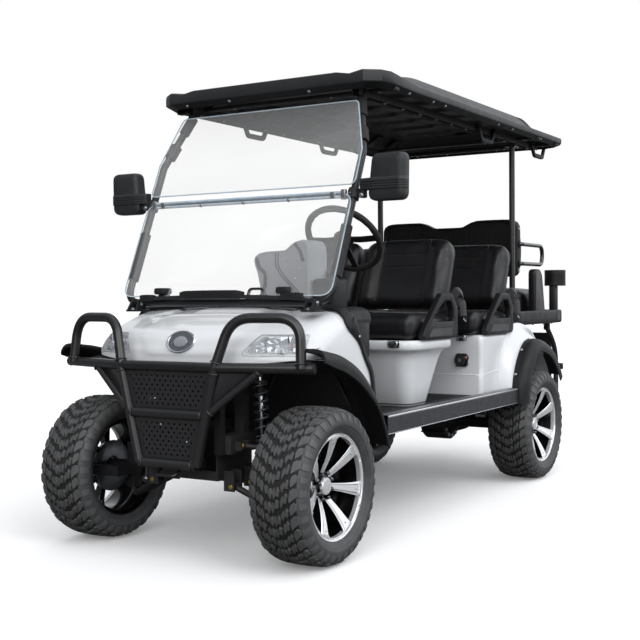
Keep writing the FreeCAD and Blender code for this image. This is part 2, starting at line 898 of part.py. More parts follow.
def rear_frame(rail_outer, rail_top):
    """Spring hangers, tray uprights and the tail struts that carry the foot platform."""
    pieces = []
    for y in (wheelbase - spring_half_length, wheelbase + spring_half_length):
        pieces += pair(block(rail_outer, spring_x + spring_width / 2, y - hanger_thickness * 2,
                             y + hanger_thickness * 2, rail_top - hanger_thickness * 2, rail_top))
    for y in (rear_body_rear_y + hanger_thickness, frame_rear_y - cross_width):
        pieces += pair(block(rail_inner_x, rail_inner_x + tower_width, y, y + tower_width, rail_top, tray_low_z))
    keep("rear_supports", *pieces)
    low, high = rail_low_z, rail_low_z + cross_height
    x0, x1 = strut_tail_x - strut_tail_radius, strut_tail_x + strut_tail_radius
    beam = block(-x1, x1, frame_rear_y, frame_rear_y + cross_width, low, high)
    arm = block(x0, x1, frame_rear_y, strut_tail_y, low, high)
    collar_z = tray_low_z - strut_tail_radius * 2
    collar = block(x0, x1, strut_tail_top_y - strut_tail_radius, strut_tail_top_y + strut_tail_radius,
                   collar_z - strut_tail_radius, tray_low_z)
    curve = tube([
        at(strut_tail_x, strut_tail_top_y, collar_z),
        at(strut_tail_x, strut_tail_y, strut_tail_knee_z),
        at(strut_tail_x, strut_tail_y, low),
    ], strut_tail_radius, strut_tail_bend)
    keep("tail_struts", fused([beam] + pair(arm) + pair(curve) + pair(collar)))


def arm_between(pivots, ball, boss_low, boss_high, foot):
    """A V-shaped suspension arm: two bushes on the frame, one ball joint at the wheel."""
    pieces = [bar(at(ball.x, ball.y, boss_low), at(ball.x, ball.y, boss_high), ball_radius)]
    for pivot in pivots:
        pieces.append(bar(pivot, ball, arm_tube_radius))
        half = at(0, bush_length / 2, 0)
        pieces.append(bar(pivot.sub(half), pivot.add(half), bush_radius))
    if foot:
        pieces.append(foot)
    return fused(pieces)


def make_suspension():
    boss_top = knuckle_low_z - seat_gap
    lower_ball = at(kingpin_x, 0, boss_top - lower_ball_height + arm_tube_radius)
    lower_pivots = [at(lower_pivot_x, y, lower_pivot_z) for y in (-lower_pivot_y, lower_pivot_y)]
    span = (shock_foot_x - lower_pivot_x) / (kingpin_x - lower_pivot_x)
    arm_z = lower_pivot_z + span * (lower_ball.z - lower_pivot_z)
    saddle = block(shock_foot_x - shock_body_radius, shock_foot_x + shock_body_radius,
                   -lower_pivot_y * (1 - span) - arm_tube_radius, lower_pivot_y * (1 - span) + arm_tube_radius,
                   arm_z - arm_tube_radius / 2, arm_z + arm_tube_radius)
    lower = arm_between(lower_pivots, lower_ball, boss_top - lower_ball_height, boss_top, saddle)
    upper_ball = at(kingpin_x, 0, knuckle_high_z + seat_gap + ball_height / 2)
    upper_pivots = [at(upper_pivot_x, y, upper_pivot_z) for y in (-upper_pivot_y, upper_pivot_y)]
    upper = arm_between(upper_pivots, upper_ball, upper_ball.z - ball_height / 2,
                        upper_ball.z + ball_height / 2, None)
    keep("front_arms", *(pair(lower) + pair(upper)))
    make_springs(arm_z + arm_tube_radius + seat_gap)


def make_springs(saddle_top):
    foot = at(shock_foot_x, 0, saddle_top + shock_body_radius)
    top = at(shock_top_x, 0, shock_top_z - shock_body_radius)
    along = top.sub(foot)
    length = along.Length
    along.normalize()
    coil = bar(foot.add(along * (length * coil_low_share)), foot.add(along * (length * coil_high_share)), shock_spring_radius)
    damper = bar(foot, foot.add(along * (length * damper_share)), shock_body_radius)
    piston = bar(foot, top, shock_rod_radius)
    half_eye = at(0, shock_body_radius, 0)
    eyes = [bar(foot.sub(half_eye), foot.add(half_eye), shock_body_radius),
            bar(top.sub(half_eye), top.add(half_eye), shock_body_radius)]
    shock = fused([coil, damper, piston] + eyes)
    leaf = leaf_spring()
    keep("suspension_springs", *(pair(shock) + pair(leaf)))


def leaf_spring():
    seat_z = axle_z + axle_tube_radius + seat_gap
    end_z = rail_low_z + rail_height - hanger_thickness * 2 - seat_gap
    rise = end_z - spring_thickness - seat_z
    x0 = spring_x - spring_width / 2
    y0, y1 = wheelbase - spring_half_length, wheelbase + spring_half_length
    low = Part.Arc(at(x0, y0, seat_z + rise), at(x0, wheelbase, seat_z), at(x0, y1, seat_z + rise)).toShape()
    high = Part.Arc(at(x0, y0, seat_z + rise + spring_thickness), at(x0, wheelbase, seat_z + spring_thickness),
                    at(x0, y1, seat_z + rise + spring_thickness)).toShape()
    ends = [Part.LineSegment(low.valueAt(low.FirstParameter), high.valueAt(high.FirstParameter)).toShape(),
            Part.LineSegment(low.valueAt(low.LastParameter), high.valueAt(high.LastParameter)).toShape()]
    return Part.Face(Part.Wire(Part.__sortEdges__([low, high] + ends))).extrude(at(spring_width, 0, 0))


def make_rear_axle():
    tube_end = rear_half_track + rotor_x - caliper_gap
    centre = wheelbase
    case = bar(at(-gearcase_width / 2, centre, axle_z), at(gearcase_width / 2, centre, axle_z), gearcase_radius)
    pieces = [case]
    beam = rod(at(-tube_end, centre, axle_z), at(tube_end, centre, axle_z), axle_tube_radius)
    spindle = rod(at(-rear_half_track - spindle_reach, centre, axle_z),
                  at(rear_half_track + spindle_reach, centre, axle_z), spindle_radius)
    motor = block(-motor_width / 2, motor_width / 2, centre + gearcase_radius / 2,
                  centre + gearcase_radius / 2 + motor_length, axle_z - motor_height / 2, axle_z + motor_height / 2)
    keep("rear_axle", fused(pieces + [beam, spindle, motor]))


def make_floor():
    top = rail_low_z + rail_height + floor_thickness
    low = top - floor_thickness
    t = body_wall
    plate = block(-floor_half_width, floor_half_width, floor_front_y, sill_rear_y, low, top)
    tail = block(-rear_floor_half_width, rear_floor_half_width, sill_rear_y, floor_rear_y, low, top)
    toe = side_slab([
        (floor_front_y, low), (floor_front_y, top), (toe_top_y, toe_top_z), (toe_top_y - t, toe_top_z - t),
    ], -toe_half_width, toe_half_width, 0)
    column_foot, pinion = shaft_ends()
    shaft_hole = rod(pinion, column_foot, shaft_radius + column_hole_gap)
    keep("floor_pan", fused([plate, tail, toe]).cut(shaft_hole))
    make_sills(low)
    rise = at(0, toe_top_y - floor_front_y, toe_top_z - top).normalize()
    normal = at(0, rise.z, -rise.y)
    foot = at(0, floor_front_y, top).add(normal * seat_gap).add(rise * pedal_thickness)
    head = foot.add(rise * pedal_height)
    pads = []
    for x in (pedal_x - pedal_pitch / 2, pedal_x + pedal_pitch / 2):
        left, right = at(x - pedal_width / 2, 0, 0), at(x + pedal_width / 2, 0, 0)
        corners = [foot.add(left), foot.add(right), head.add(right), head.add(left)]
        pads.append(slab(corners, 0, normal * pedal_thickness))
    keep("pedals", *pads)


def make_sills(floor_low):
    """Ribbed extrusion along each side, with its top lip over the floor's edge."""
    x0 = floor_half_width
    x1 = x0 + sill_width
    high = sill_low_z + sill_height
    pitch = sill_height / (2 * sill_ribs + 1)
    section = [(x0, sill_low_z), (x1, sill_low_z)]
    for i in range(sill_ribs):
        z = sill_low_z + (2 * i + 1) * pitch
        section += [(x1, z), (x1 - sill_rib_depth, z), (x1 - sill_rib_depth, z + pitch), (x1, z + pitch)]
    section += [(x1, high), (x0, high)]
    sill = front_slab(section, sill_front_y, sill_rear_y, 0)
    keep("rocker_sills", *pair(sill))


def pod_ring(z, front_y, rear_y, half_width, corner):
    near, far = corner * corner_near_share, corner * corner_far_share
    half = [(half_width - corner, front_y), (half_width - far, front_y + near),
            (half_width - near, front_y + far), (half_width, front_y + corner),
            (half_width, rear_y - corner), (half_width - near, rear_y - far),
            (half_width - far, rear_y - near), (half_width - corner, rear_y)]
    return [at(x, y, z) for x, y in half] + [at(-x, y, z) for x, y in reversed(half)]


def pod_form(inset, low_z, high_z):
    """The seat pod's body: a tapered tub under a straight lip."""
    lip_z = seat_base_z - pod_lip_height
    share = (high_z - seat_base_z)
    low = pod_ring(low_z, pod_low_front_y + inset, pod_low_rear_y - inset,
                   pod_low_half_width - inset, pod_corner - inset)
    neck_in = pod_under_lip_inset + inset
    neck = pod_ring(lip_z, pod_front_y + neck_in, pod_rear_y - neck_in, body_half_width - neck_in, pod_corner - inset)
    tub = skin([low, neck], False)
    lip_ring = pod_ring(lip_z, pod_front_y + inset, pod_rear_y - inset, body_half_width - inset, pod_corner - inset)
    lip = slab(lip_ring, 0, at(0, 0, pod_lip_height + share))
    return tub, lip


def make_pod():
    floor_top = rail_low_z + rail_height + floor_thickness
    outer_tub, outer_lip = pod_form(0, floor_top, seat_base_z)
    inner_tub, inner_lip = pod_form(body_wall, floor_top, seat_base_z - body_wall)
    hollow = inner_tub.common(block(-floor_half_width, floor_half_width, 0, wheelbase,
                                    floor_top + body_wall, seat_base_z))
    neck_in = pod_under_lip_inset + body_wall
    throat_ring = pod_ring(seat_base_z - pod_lip_height - overrun / 4, pod_front_y + neck_in,
                           pod_rear_y - neck_in, body_half_width - neck_in, pod_corner - body_wall)
    throat = slab(throat_ring, 0, at(0, 0, pod_lip_height + overrun / 4 - body_wall))
    pod = outer_tub.fuse(outer_lip).removeSplitter()
    pod = pod.cut(hollow).cut(throat)
    keep("front_seat_pod", pod)


def rear_body_side(inset):
    """Side outline of the rear body: straight front, level top, hip that falls to the tail."""
    floor_top = rail_low_z + rail_height + floor_thickness
    return [
        (rear_body_front_y + inset, floor_top + inset),
        (rear_body_front_y + inset, seat_base_z - inset),
        (rear_body_top_y, seat_base_z - inset),
        (rear_body_hip_y, rear_body_hip_z - inset),
        (rear_body_rear_y - inset, rear_body_tail_z - inset),
        (rear_body_rear_y - inset, floor_top + inset),
    ]


def make_rear_body():
    outer = side_slab(rear_body_side(0), -body_half_width, body_half_width, rear_body_corner)
    inner = side_slab(rear_body_side(body_wall), -body_half_width + body_wall,
                      body_half_width - body_wall, rear_body_corner)
    floor_top = rail_low_z + rail_height + floor_thickness
    underside = block(-body_half_width + body_wall, body_half_width - body_wall,
                      rear_body_front_y + body_wall, rear_body_rear_y - body_wall,
                      floor_top - overrun, floor_top + overrun)
    shell = outer.cut(inner).cut(underside)
    arch_y = wheelbase + rear_arch_y_offset
    arch = rod(at(-floor_half_width - overrun, arch_y, rear_arch_z), at(floor_half_width + overrun, arch_y, rear_arch_z),
               rear_arch_radius)
    shell = shell.cut(arch)
    keep("rear_body", shell)
    keep("battery_pack", block(-battery_half_width, battery_half_width, battery_front_y,
                               battery_front_y + battery_length, floor_top, floor_top + battery_height))
    tail_lamp = block(tail_x - tail_width / 2, tail_x + tail_width / 2, rear_body_rear_y + seat_gap,
                      rear_body_rear_y + seat_gap + tail_depth, tail_z - tail_height / 2, tail_z + tail_height / 2)
    return tail_lamp


def cowl_section(x, inset):
    """One lengthwise section of the cowl at a distance x from the middle."""
    w = cowl_half_width - inset
    r = cowl_shoulder - inset
    share = min(abs(x) / w, 1.0)
    drop = cowl_crown * share * share
    sweep = cowl_nose_sweep * share ** nose_sweep_power
    into = max(abs(x) - (w - r), 0.0)
    fall = r - math.sqrt(max(r * r - into * into, 0.0))
    nose = cowl_nose_y + sweep + inset + fall * nose_set_share
    top = cowl_top_z - drop - inset - fall
    brow = cowl_brow_z - drop - inset - fall * brow_fall_share
    curve = Part.BSplineCurve()
    curve.interpolate([
        at(x, nose, cowl_nose_z - fall * nose_fall_share),
        at(x, nose + cowl_brow_y, brow),
        at(x, (nose + cowl_brow_y + cowl_top_y) / 2, (brow + top) / 2 + cowl_crown / 2),
        at(x, cowl_top_y, top),
    ])
    first, last = curve.FirstParameter, curve.LastParameter
    over = [curve.value(first + (last - first) * i / cowl_steps) for i in range(cowl_steps + 1)]
    ends = [at(x, cowl_skirt_y, top), at(x, cowl_skirt_y, cowl_skirt_z)]
    return [at(x, nose + cowl_nose_bottom_set_back, cowl_skirt_z)] + over + ends


def cowl_form(inset):
    w = cowl_half_width - inset
    r = cowl_shoulder - inset
    stations = [w - r + r * math.sin(math.radians(a)) for a in (0, 30, 60, 78)] + [w]
    stations = [-x for x in reversed(stations)] + [-(w - r) / 2, 0.0, (w - r) / 2] + stations
    sections = [cowl_section(x, inset) for x in stations]
    wires = [Part.makePolygon(section + section[:1]) for section in sections]
    return Part.makeLoft(wires, True, True)


def lamp_prism(gap):
    i = gap
    points = [
        (lamp_inner_x + i, lamp_low_z + i), (lamp_outer_x - i, lamp_low_z + i),
        (lamp_outer_x - i, lamp_high_z - i), (lamp_inner_x + lamp_slant + i, lamp_high_z - i),
    ]
    return front_slab(points, cowl_nose_y - overrun, cowl_nose_y + cowl_nose_sweep + lamp_depth, lamp_corner)


def make_cowl():
    outer = cowl_form(0)
    inner = cowl_form(cowl_wall)
    inner_long = inner.fuse(inner.copy().translate(at(0, 0, -overrun)))
    shell = outer.cut(inner_long)
    w = cowl_half_width + overrun
    rear_edge = side_slab([
        (cowl_top_y - cowl_edge_top_back, cowl_top_z + overrun),
        (cowl_top_y - cowl_edge_top_back, cowl_top_z - cowl_shoulder / 4),
        (cowl_skirt_y - cowl_edge_mid_back, cowl_edge_mid_z),
        (cowl_skirt_y - cowl_edge_foot_back, cowl_skirt_z - overrun),
        (cowl_skirt_y + overrun, cowl_skirt_z - overrun), (cowl_skirt_y + overrun, cowl_top_z + overrun),
    ], -w, w, 0)
    shell = shell.cut(rear_edge)
    under_nose = block(-w, w, cowl_nose_y - overrun, 0, cowl_skirt_z - overrun, cowl_lip_z)
    arch = rod(at(-w, 0, front_arch_z), at(w, 0, front_arch_z), front_arch_radius)
    shell = shell.cut(under_nose).cut(arch)
    opening = lamp_prism(0)
    shell = shell.cut(opening).cut(mirrored(opening))
    keep("front_cowl", *shell.Solids)
    lens = lamp_prism(lamp_gap).common(outer)
    keep("headlamps", *pair(lens))


def flare(inner_x, path):
    """A moulded L-section that follows the edge of a wheel arch."""
    outer_x, t, r = flare_outer_x, flare_wall, flare_round
    profile = [
        (inner_x, t), (inner_x, 0), (outer_x - r, t / 2), (outer_x, r), (outer_x, flare_face_height),
        (outer_x - t, flare_face_height), (outer_x - t, r + t / 2), (outer_x - r - t / 2, t + t / 2),
    ]
    rings = []
    last = len(path) - 1
    for i, (y, z) in enumerate(path):
        (y0, z0), (y1, z1) = path[max(i - 1, 0)], path[min(i + 1, last)]
        length = math.hypot(y1 - y0, z1 - z0)
        inward_y, inward_z = (z1 - z0) / length, -(y1 - y0) / length
        rings.append([at(x, y + depth * inward_y, z + depth * inward_z) for x, depth in profile])
    return skin(rings, False)


def make_flares():
    front = flare(cowl_half_width + seat_gap, front_flare_path)
    rear = flare(body_half_width + seat_gap, [(wheelbase + y, z) for y, z in rear_flare_path])
    keep("fender_flares", *(pair(front) + pair(rear)))


def make_guard():
    y, r = guard_front_y, guard_tube_radius
    top = tube([
        at(-guard_end_x, guard_end_y, guard_top_z), at(-guard_top_half, y, guard_top_z),
        at(guard_top_half, y, guard_top_z), at(guard_end_x, guard_end_y, guard_top_z),
    ], r, hoop_bend)
    slope = (guard_end_y - y) / (guard_end_x - guard_top_half)
    pieces = [top]
    leg = tube([at(guard_top_half, y, guard_top_z), at(guard_mid_half, y, guard_mid_z),
                at(guard_low_half, y, guard_low_z)], r, hoop_bend)
    middle = bar(at(-guard_mid_half, y, guard_mid_z), at(guard_mid_half, y, guard_mid_z), r)
    bottom = bar(at(-guard_low_half, y, guard_low_z), at(guard_low_half, y, guard_low_z), r)
    brace_y = y + slope * (guard_brace_x - guard_top_half)
    brace = bar(at(guard_mid_half, y, guard_mid_z), at(guard_brace_x, brace_y, guard_top_z), r * brace_share)
    hoop_y = y + slope * (hoop_inner_x - guard_top_half)
    hoop = tube([
        at(guard_top_half, y, guard_top_z), at(hoop_inner_x, hoop_y, hoop_top_z),
        at(hoop_outer_x - r, hoop_outer_y, hoop_top_z), at(hoop_outer_x, hoop_outer_y, guard_top_z),
    ], r, hoop_bend)
    pieces += [middle, bottom] + pair(leg) + pair(brace) + pair(hoop)
    keep("brush_guard", fused(pieces))
    make_guard_plates()


def make_guard_plates():
    """Sheet plates set between the guard's bars, and the two side gussets."""
    y0 = guard_front_y - guard_plate / 2
    y1 = guard_front_y + guard_plate / 2
    back_in = guard_tube_radius + seat_gap
    upper = panel_between(guard_top_half, guard_top_z, guard_mid_half, guard_mid_z, back_in, y0, y1)
    lower = panel_between(guard_mid_half, guard_mid_z, guard_low_half, guard_low_z, back_in, y0, y1)
    keep("guard_plates", upper, lower)


def panel_between(high_half, high_z, low_half, low_z, margin, y0, y1):
    lean = (high_half - low_half) / (high_z - low_z)
    side = margin * math.sqrt(1 + lean * lean)
    zt, zb = high_z - margin, low_z + margin
    xt = low_half + lean * (zt - low_z) - side
    xb = low_half + lean * (zb - low_z) - side
    return front_slab([(-xb, zb), (xb, zb), (xt, zt), (-xt, zt)], y0, y1, 0)


def make_windshield():
    low = at(strut_low_x, strut_low_y, strut_low_z)
    mid = at(strut_mid_x, strut_mid_y, strut_mid_z)
    knee = at(strut_knee_x, strut_knee_y, strut_knee_z)
    top = at(strut_top_x, strut_top_y, strut_top_z)
    hoop = tube([mirror_point(top), mirror_point(knee), mirror_point(low), low, knee, top],
                strut_radius, strut_corner)
    low_from, low_to = low_sleeve_shares
    high_from, high_to = high_sleeve_shares
    hinge_from, hinge_to = hinge_sleeve_shares
    sleeves = [bar(share_point(low, mid, low_from), share_point(low, mid, low_to), sleeve_radius),
               bar(share_point(low, knee, hinge_from), share_point(low, knee, hinge_to), sleeve_radius),
               bar(share_point(knee, top, high_from), share_point(knee, top, high_to), sleeve_radius)]
    foot = block(strut_low_x - strut_corner - foot_width, strut_low_x - strut_corner,
                 strut_low_y - foot_depth / 2, strut_low_y + foot_depth / 2,
                 cowl_brow_z, strut_low_z - strut_radius - seat_gap)
    foot = foot.cut(cowl_form(0).translate(at(0, 0, seat_gap)))
    rail_low = roof_low_z - roof_rail_height / 2
    cap = block(strut_top_x - strut_radius, strut_top_x + strut_radius, strut_top_y - strut_radius,
                strut_top_y + strut_radius, strut_top_z - strut_radius, rail_low - seat_gap)
    solids = [hoop] + pair(cap)
    for sleeve in sleeves:
        solids += pair(sleeve)
    keep("front_struts", fused(solids))
    make_panes(low, mid, knee)
    return foot


def mirror_point(p):
    return at(-p.x, p.y, p.z)


def share_point(a, b, share):
    return a.add(b.sub(a) * share)


def pane(start, rise, outline, corner):
    """A flat transparent pane: outline as (half width, height along the pane) from its foot up."""
    normal = at(0, -rise.z, rise.y)
    right = [start.add(at(half, 0, 0)).add(rise * up) for half, up in outline]
    left = [start.add(at(-half, 0, 0)).add(rise * up) for half, up in reversed(outline)]
    return slab(right + left, corner, normal * pane_thickness)


def make_panes(low, mid, knee):
    """Both panes lie in one plane, a little in front of the struts; the upper one narrows above the knee."""
    rise = at(0, knee.y - low.y, knee.z - low.z).normalize()
    start = at(0, low.y, low.z).add(at(0, -rise.z, rise.y) * (sleeve_radius + seat_gap))
    mid_up = (mid.z - low.z) / rise.z
    knee_up = (knee.z - low.z) / rise.z
    top_up = (pane_top_z - low.z) / rise.z
    lower = pane(start, rise, [(pane_half_width, mid_up * pane_low_share), (pane_half_width, mid_up * pane_mid_share)], pane_corner)
    foot_up = mid_up + (knee_up - mid_up) * upper_pane_low_share
    upper = pane(start, rise, [(pane_half_width, foot_up), (pane_half_width, knee_up), (pane_top_half, top_up)],
                 upper_pane_corner)
    keep("windshield_panes", lower, upper)


def make_roof():
    """Thin roof: an upright rim, a sloping shoulder and a raised crown, open below."""
    z0, z1 = roof_low_z, roof_low_z + roof_rim_height
    outer = roof_form(0, z0, z1)
    inner = roof_form(roof_wall, z0 - overrun, z1 - roof_wall)
    shell = outer.cut(inner)
    for side in (1, -1):
        notch_x = side * roof_notch_x
        notch = block(notch_x - roof_notch_width / 2, notch_x + roof_notch_width / 2,
                      roof_front_y - overrun, roof_front_y + roof_notch_width,
                      z1 - roof_wall / 2, z1 + roof_wall)
        shell = shell.cut(notch)
    keep("roof", shell)


def roof_ring(inset, z):
    """Plan outline of the roof: swept front corners, straight sides, clipped rear corners."""
    w, c = roof_half_width - inset, roof_rear_corner
    front, corner, rear = roof_front_y + inset, roof_corner_y + inset, roof_rear_y - inset
    nose = roof_corner_x - inset
    bulge = (w - nose) * front_corner_share
    clip = c * rear_corner_share
    half = [(nose, front), (w - bulge, (front + corner) / 2), (w, corner),
            (w, rear - c), (w - clip, rear - clip), (w - c, rear)]
    return [at(x, y, z) for x, y in half] + [at(-x, y, z) for x, y in reversed(half)]


def roof_form(wall, low_z, rim_z):
    rise = roof_crown_z - roof_low_z - roof_rim_height
    levels = [(wall, low_z), (wall, rim_z), (wall + roof_shoulder_inset, rim_z + rise * shoulder_rise_share),
              (wall + roof_plateau_inset, rim_z + rise)]
    return skin([roof_ring(inset, z) for inset, z in levels], False)


def make_roof_rails():
    """Two lengthwise rails under the roof with cross bars and hanging grab handles."""
    z0, z1 = roof_low_z - roof_rail_height / 2, roof_low_z + roof_rail_height / 2
    x0, x1 = roof_rail_x - roof_rail_width / 2, roof_rail_x + roof_rail_width / 2
    rail_front = strut_top_y - roof_rail_width
    rail_rear = roof_rear_y - roof_rear_corner - roof_rail_width
    pieces = pair(block(x0, x1, rail_front, rail_rear, z0, z1))
    bar_reach = roof_half_width - roof_wall - seat_gap
    for y in (roof_corner_y + overrun + roof_wall, post_y - roof_rail_width / 2, rail_rear - roof_rail_width):
        pieces.append(block(-bar_reach, bar_reach, y, y + roof_rail_width, z1 - roof_bar_height, z1))
    handle_x = x1
    for y in roof_handle_places:
        half = roof_handle_span / 2
        low = z0 - roof_handle_drop + roof_rail_height
        handle = side_slab([
            (y - half, z1), (y - half * handle_foot_share, low), (y + half * handle_foot_share, low), (y + half, z1)],
            handle_x, handle_x + roof_handle_width, 0)
        t = roof_handle_thickness
        hole = side_slab([
            (y - half + t, z1 - t), (y - half * handle_foot_share + t * handle_wall_share, low + t),
            (y + half * handle_foot_share - t * handle_wall_share, low + t), (y + half - t, z1 - t)],
            handle_x, handle_x + roof_handle_width, 0)
        pieces += pair(handle.cut(hole))
    keep("roof_rails", fused(pieces))
    return z0


def make_posts(rail_low):
    base_z = tray_low_z + tray_floor + seat_gap
    post = bar(at(post_x, post_y, base_z), at(post_x, post_y, rail_low - seat_gap), post_radius)
    keep("rear_posts", *pair(post))


def cushion(front_y, half_width):
    y0, y1 = front_y, front_y + cushion_depth
    z0, z1 = seat_base_z, seat_base_z + cushion_height
    form = side_slab([(y0, z0), (y0, z1), (y1, z1), (y1, z0)], -half_width, half_width, cushion_round)
    plan = plan_slab([(-half_width, y0), (half_width, y0), (half_width, y1), (-half_width, y1)],
                     z0, z1, cushion_side_round)
    return form.common(plan)


def seat_back(front_y):
    """One seat back, leaning, standing on the rear of its cushion."""
    low = seat_base_z + cushion_height + seat_gap
    y = front_y + back_front_inset
    x0, x1 = seat_gap_between_backs / 2, back_half_width
    form = side_slab([
        (y, low), (y + back_lean, low + back_height),
        (y + back_lean + back_thickness * back_top_share, low + back_height), (y + back_thickness, low),
    ], x0, x1, back_round)
    return form


def make_seats():
    first, second = cushion_front_y, cushion_front_y + row_pitch
    keep("seat_cushions", cushion(first, cushion_half_width), cushion(second, cushion_half_width))
    keep("seat_backs", *(pair(seat_back(first)) + pair(seat_back(second))))


def make_rear_seat():
    plan = [(-tray_half_width, tray_front_y), (tray_half_width, tray_front_y),
            (tray_half_width, tray_rear_y), (-tray_half_width, tray_rear_y)]
    outer = plan_slab(plan, tray_low_z, tray_low_z + tray_height, tray_corner)
    w = tray_wall
    inner_plan = [(-tray_half_width + w, tray_front_y + w), (tray_half_width - w, tray_front_y + w),
                  (tray_half_width - w, tray_rear_y - w), (-tray_half_width + w, tray_rear_y - w)]
    floor_z = tray_low_z + tray_floor
    inner = plan_slab(inner_plan, floor_z, tray_low_z + tray_height + overrun, tray_corner - w)
    keep("rear_seat_tray", outer.cut(inner))
    pad_x, pad_y0, pad_y1 = rear_cushion_half_width, rear_cushion_front_y, rear_cushion_rear_y
    pad = side_slab([(pad_y0, floor_z), (pad_y0, floor_z + rear_cushion_height),
                     (pad_y1, floor_z + rear_cushion_height), (pad_y1, floor_z)], -pad_x, pad_x, cushion_round)
    shell = rear_shell()
    m = rear_pad_margin
    y0 = shell_front_y + shell_depth + seat_gap
    back_pad = front_slab([
        (-shell_half_width + m, shell_low_z + m), (shell_half_width - m, shell_low_z + m),
        (shell_half_width - m, shell_high_z - m), (-shell_half_width + m, shell_high_z - m)],
        y0, y0 + rear_pad_depth, shell_corner)
    stanchion = block(stanchion_x - stanchion_width / 2, stanchion_x + stanchion_width / 2,
                      shell_front_y + seat_gap, shell_front_y + seat_gap + stanchion_depth,
                      floor_z, shell_low_z + shell_corner)
    keep("rear_back_shell", fused([shell] + pair(stanchion)))
    keep("rear_seat_pads", pad, back_pad)
    make_loops(y0)


def rear_shell():
    """Moulded back of the rear-facing seat with its double-humped top edge."""
    w, z0, z1, hump = shell_half_width, shell_low_z, shell_high_z, shell_hump
    outer, inner, dip = (w * share for share in hump_shares)
    side = [(w, z0), (w, z1 + hump * hump_corner_share), (outer, z1 + hump), (inner, z1 + hump), (dip, z1)]
    points = side + [(-x, z) for x, z in reversed(side)]
    return front_slab(points, shell_front_y, shell_front_y + shell_depth, shell_corner / 2)


def make_loops(pad_front):
    x = shell_half_width + loop_radius + seat_gap
    start = shell_front_y + shell_depth / 2
    loop = tube([at(x, start, loop_high_z), at(x, loop_reach, loop_high_z),
                 at(x, loop_reach, loop_low_z), at(x, start, loop_low_z)], loop_radius, cushion_round)
    keep("grab_loops", *pair(loop))


def make_armrests():
    arms = []
    for row in range(2):
        y = arm_front_y + row * row_pitch
        z = seat_base_z + seat_gap
        t = arm_band
        elbow_z, low_z = z + arm_height * arm_elbow_share, z + t * arm_base_share
        rear, hole_top = y + arm_foot_length, z + arm_height - t
        outer = side_slab([
            (y, z), (y + arm_top_front, z + arm_height), (y + arm_top_rear, z + arm_height),
            (rear, elbow_z), (rear, z)], arm_x, arm_x + arm_width, 0)
        hole = side_slab([
            (y + t * arm_toe_share, low_z), (y + arm_top_front, hole_top), (y + arm_top_rear - t / 2, hole_top),
            (rear - t, elbow_z), (rear - t, low_z)], arm_x, arm_x + arm_width, 0)
        arms += pair(outer.cut(hole))
    keep("armrests", *arms)
    floor_z = tray_low_z + tray_floor
    pad = side_slab([
        (rear_arm_front_y, floor_z), (rear_arm_front_y, floor_z + rear_arm_height),
        (rear_arm_front_y + rear_arm_length * rear_arm_top_share, floor_z + rear_arm_height),
        (rear_arm_front_y + rear_arm_length, floor_z)],
        rear_arm_x - rear_arm_width / 2, rear_arm_x + rear_arm_width / 2, cushion_round)
    cup = rod(at(rear_arm_x, cup_y, cup_top_z - cup_height), at(rear_arm_x, cup_y, cup_top_z), cup_radius)
    well = rod(at(rear_arm_x, cup_y, cup_top_z - cup_height + cup_wall), at(rear_arm_x, cup_y, cup_top_z + overrun),
               cup_radius - cup_wall)
    post = block(rear_arm_x - cup_post_width / 2, rear_arm_x + cup_post_width / 2,
                 cup_y - cup_post_depth, cup_y, floor_z, cup_top_z - cup_height)
    holder = fused([cup, post]).cut(well)
    keep("rear_armrests", *(pair(pad) + pair(holder)))


def make_dash():
    body = side_slab([
        (dash_front_y, dash_low_z), (dash_front_y, dash_top_z), (dash_rear_y, dash_top_z),
        (dash_rear_y - overrun, dash_low_z)], -dash_half_width, dash_half_width, cushion_round / 2)
    body = body.common(front_slab([
        (-dash_half_width, dash_low_z), (dash_half_width, dash_low_z),
        (dash_half_width, dash_top_z), (-dash_half_width, dash_top_z)], 0, wheelbase, cowl_shoulder))
    hood = front_slab([
        (binnacle_left_x, dash_top_z - overrun), (binnacle_right_x, dash_top_z - overrun),
        (binnacle_right_x, binnacle_top_z), (binnacle_left_x, binnacle_top_z)],
        binnacle_front_y, binnacle_rear_y, binnacle_corner)
    centre = at(wheel_centre_x, wheel_centre_y, wheel_centre_z)
    axis = column_axis()
    channel = rod(centre.sub(axis * (column_length * 3)), centre, column_radius + seat_gap)
    keep("dashboard", *fused([body, hood]).cut(channel).Solids)


def make_mirrors():
    x0, x1 = mirror_x - mirror_width / 2, mirror_x + mirror_width / 2
    z0, z1 = mirror_z - mirror_height / 2, mirror_z + mirror_height / 2
    head = front_slab([(x0, z0), (x1, z0), (x1, z1), (x0, z1)], mirror_y - mirror_depth / 2,
                      mirror_y + mirror_depth / 2, mirror_round)
    arm_z = mirror_z - mirror_height / 4
    share = (arm_z - strut_mid_z) / (strut_knee_z - strut_mid_z)
    strut_y = strut_mid_y + share * (strut_knee_y - strut_mid_y)
    arm = bar(at(strut_mid_x + strut_radius + seat_gap, strut_y, arm_z), at(x0 + mirror_round, strut_y, arm_z),
              mirror_arm_radius)
    keep("mirrors", *pair(fused([head, arm])))


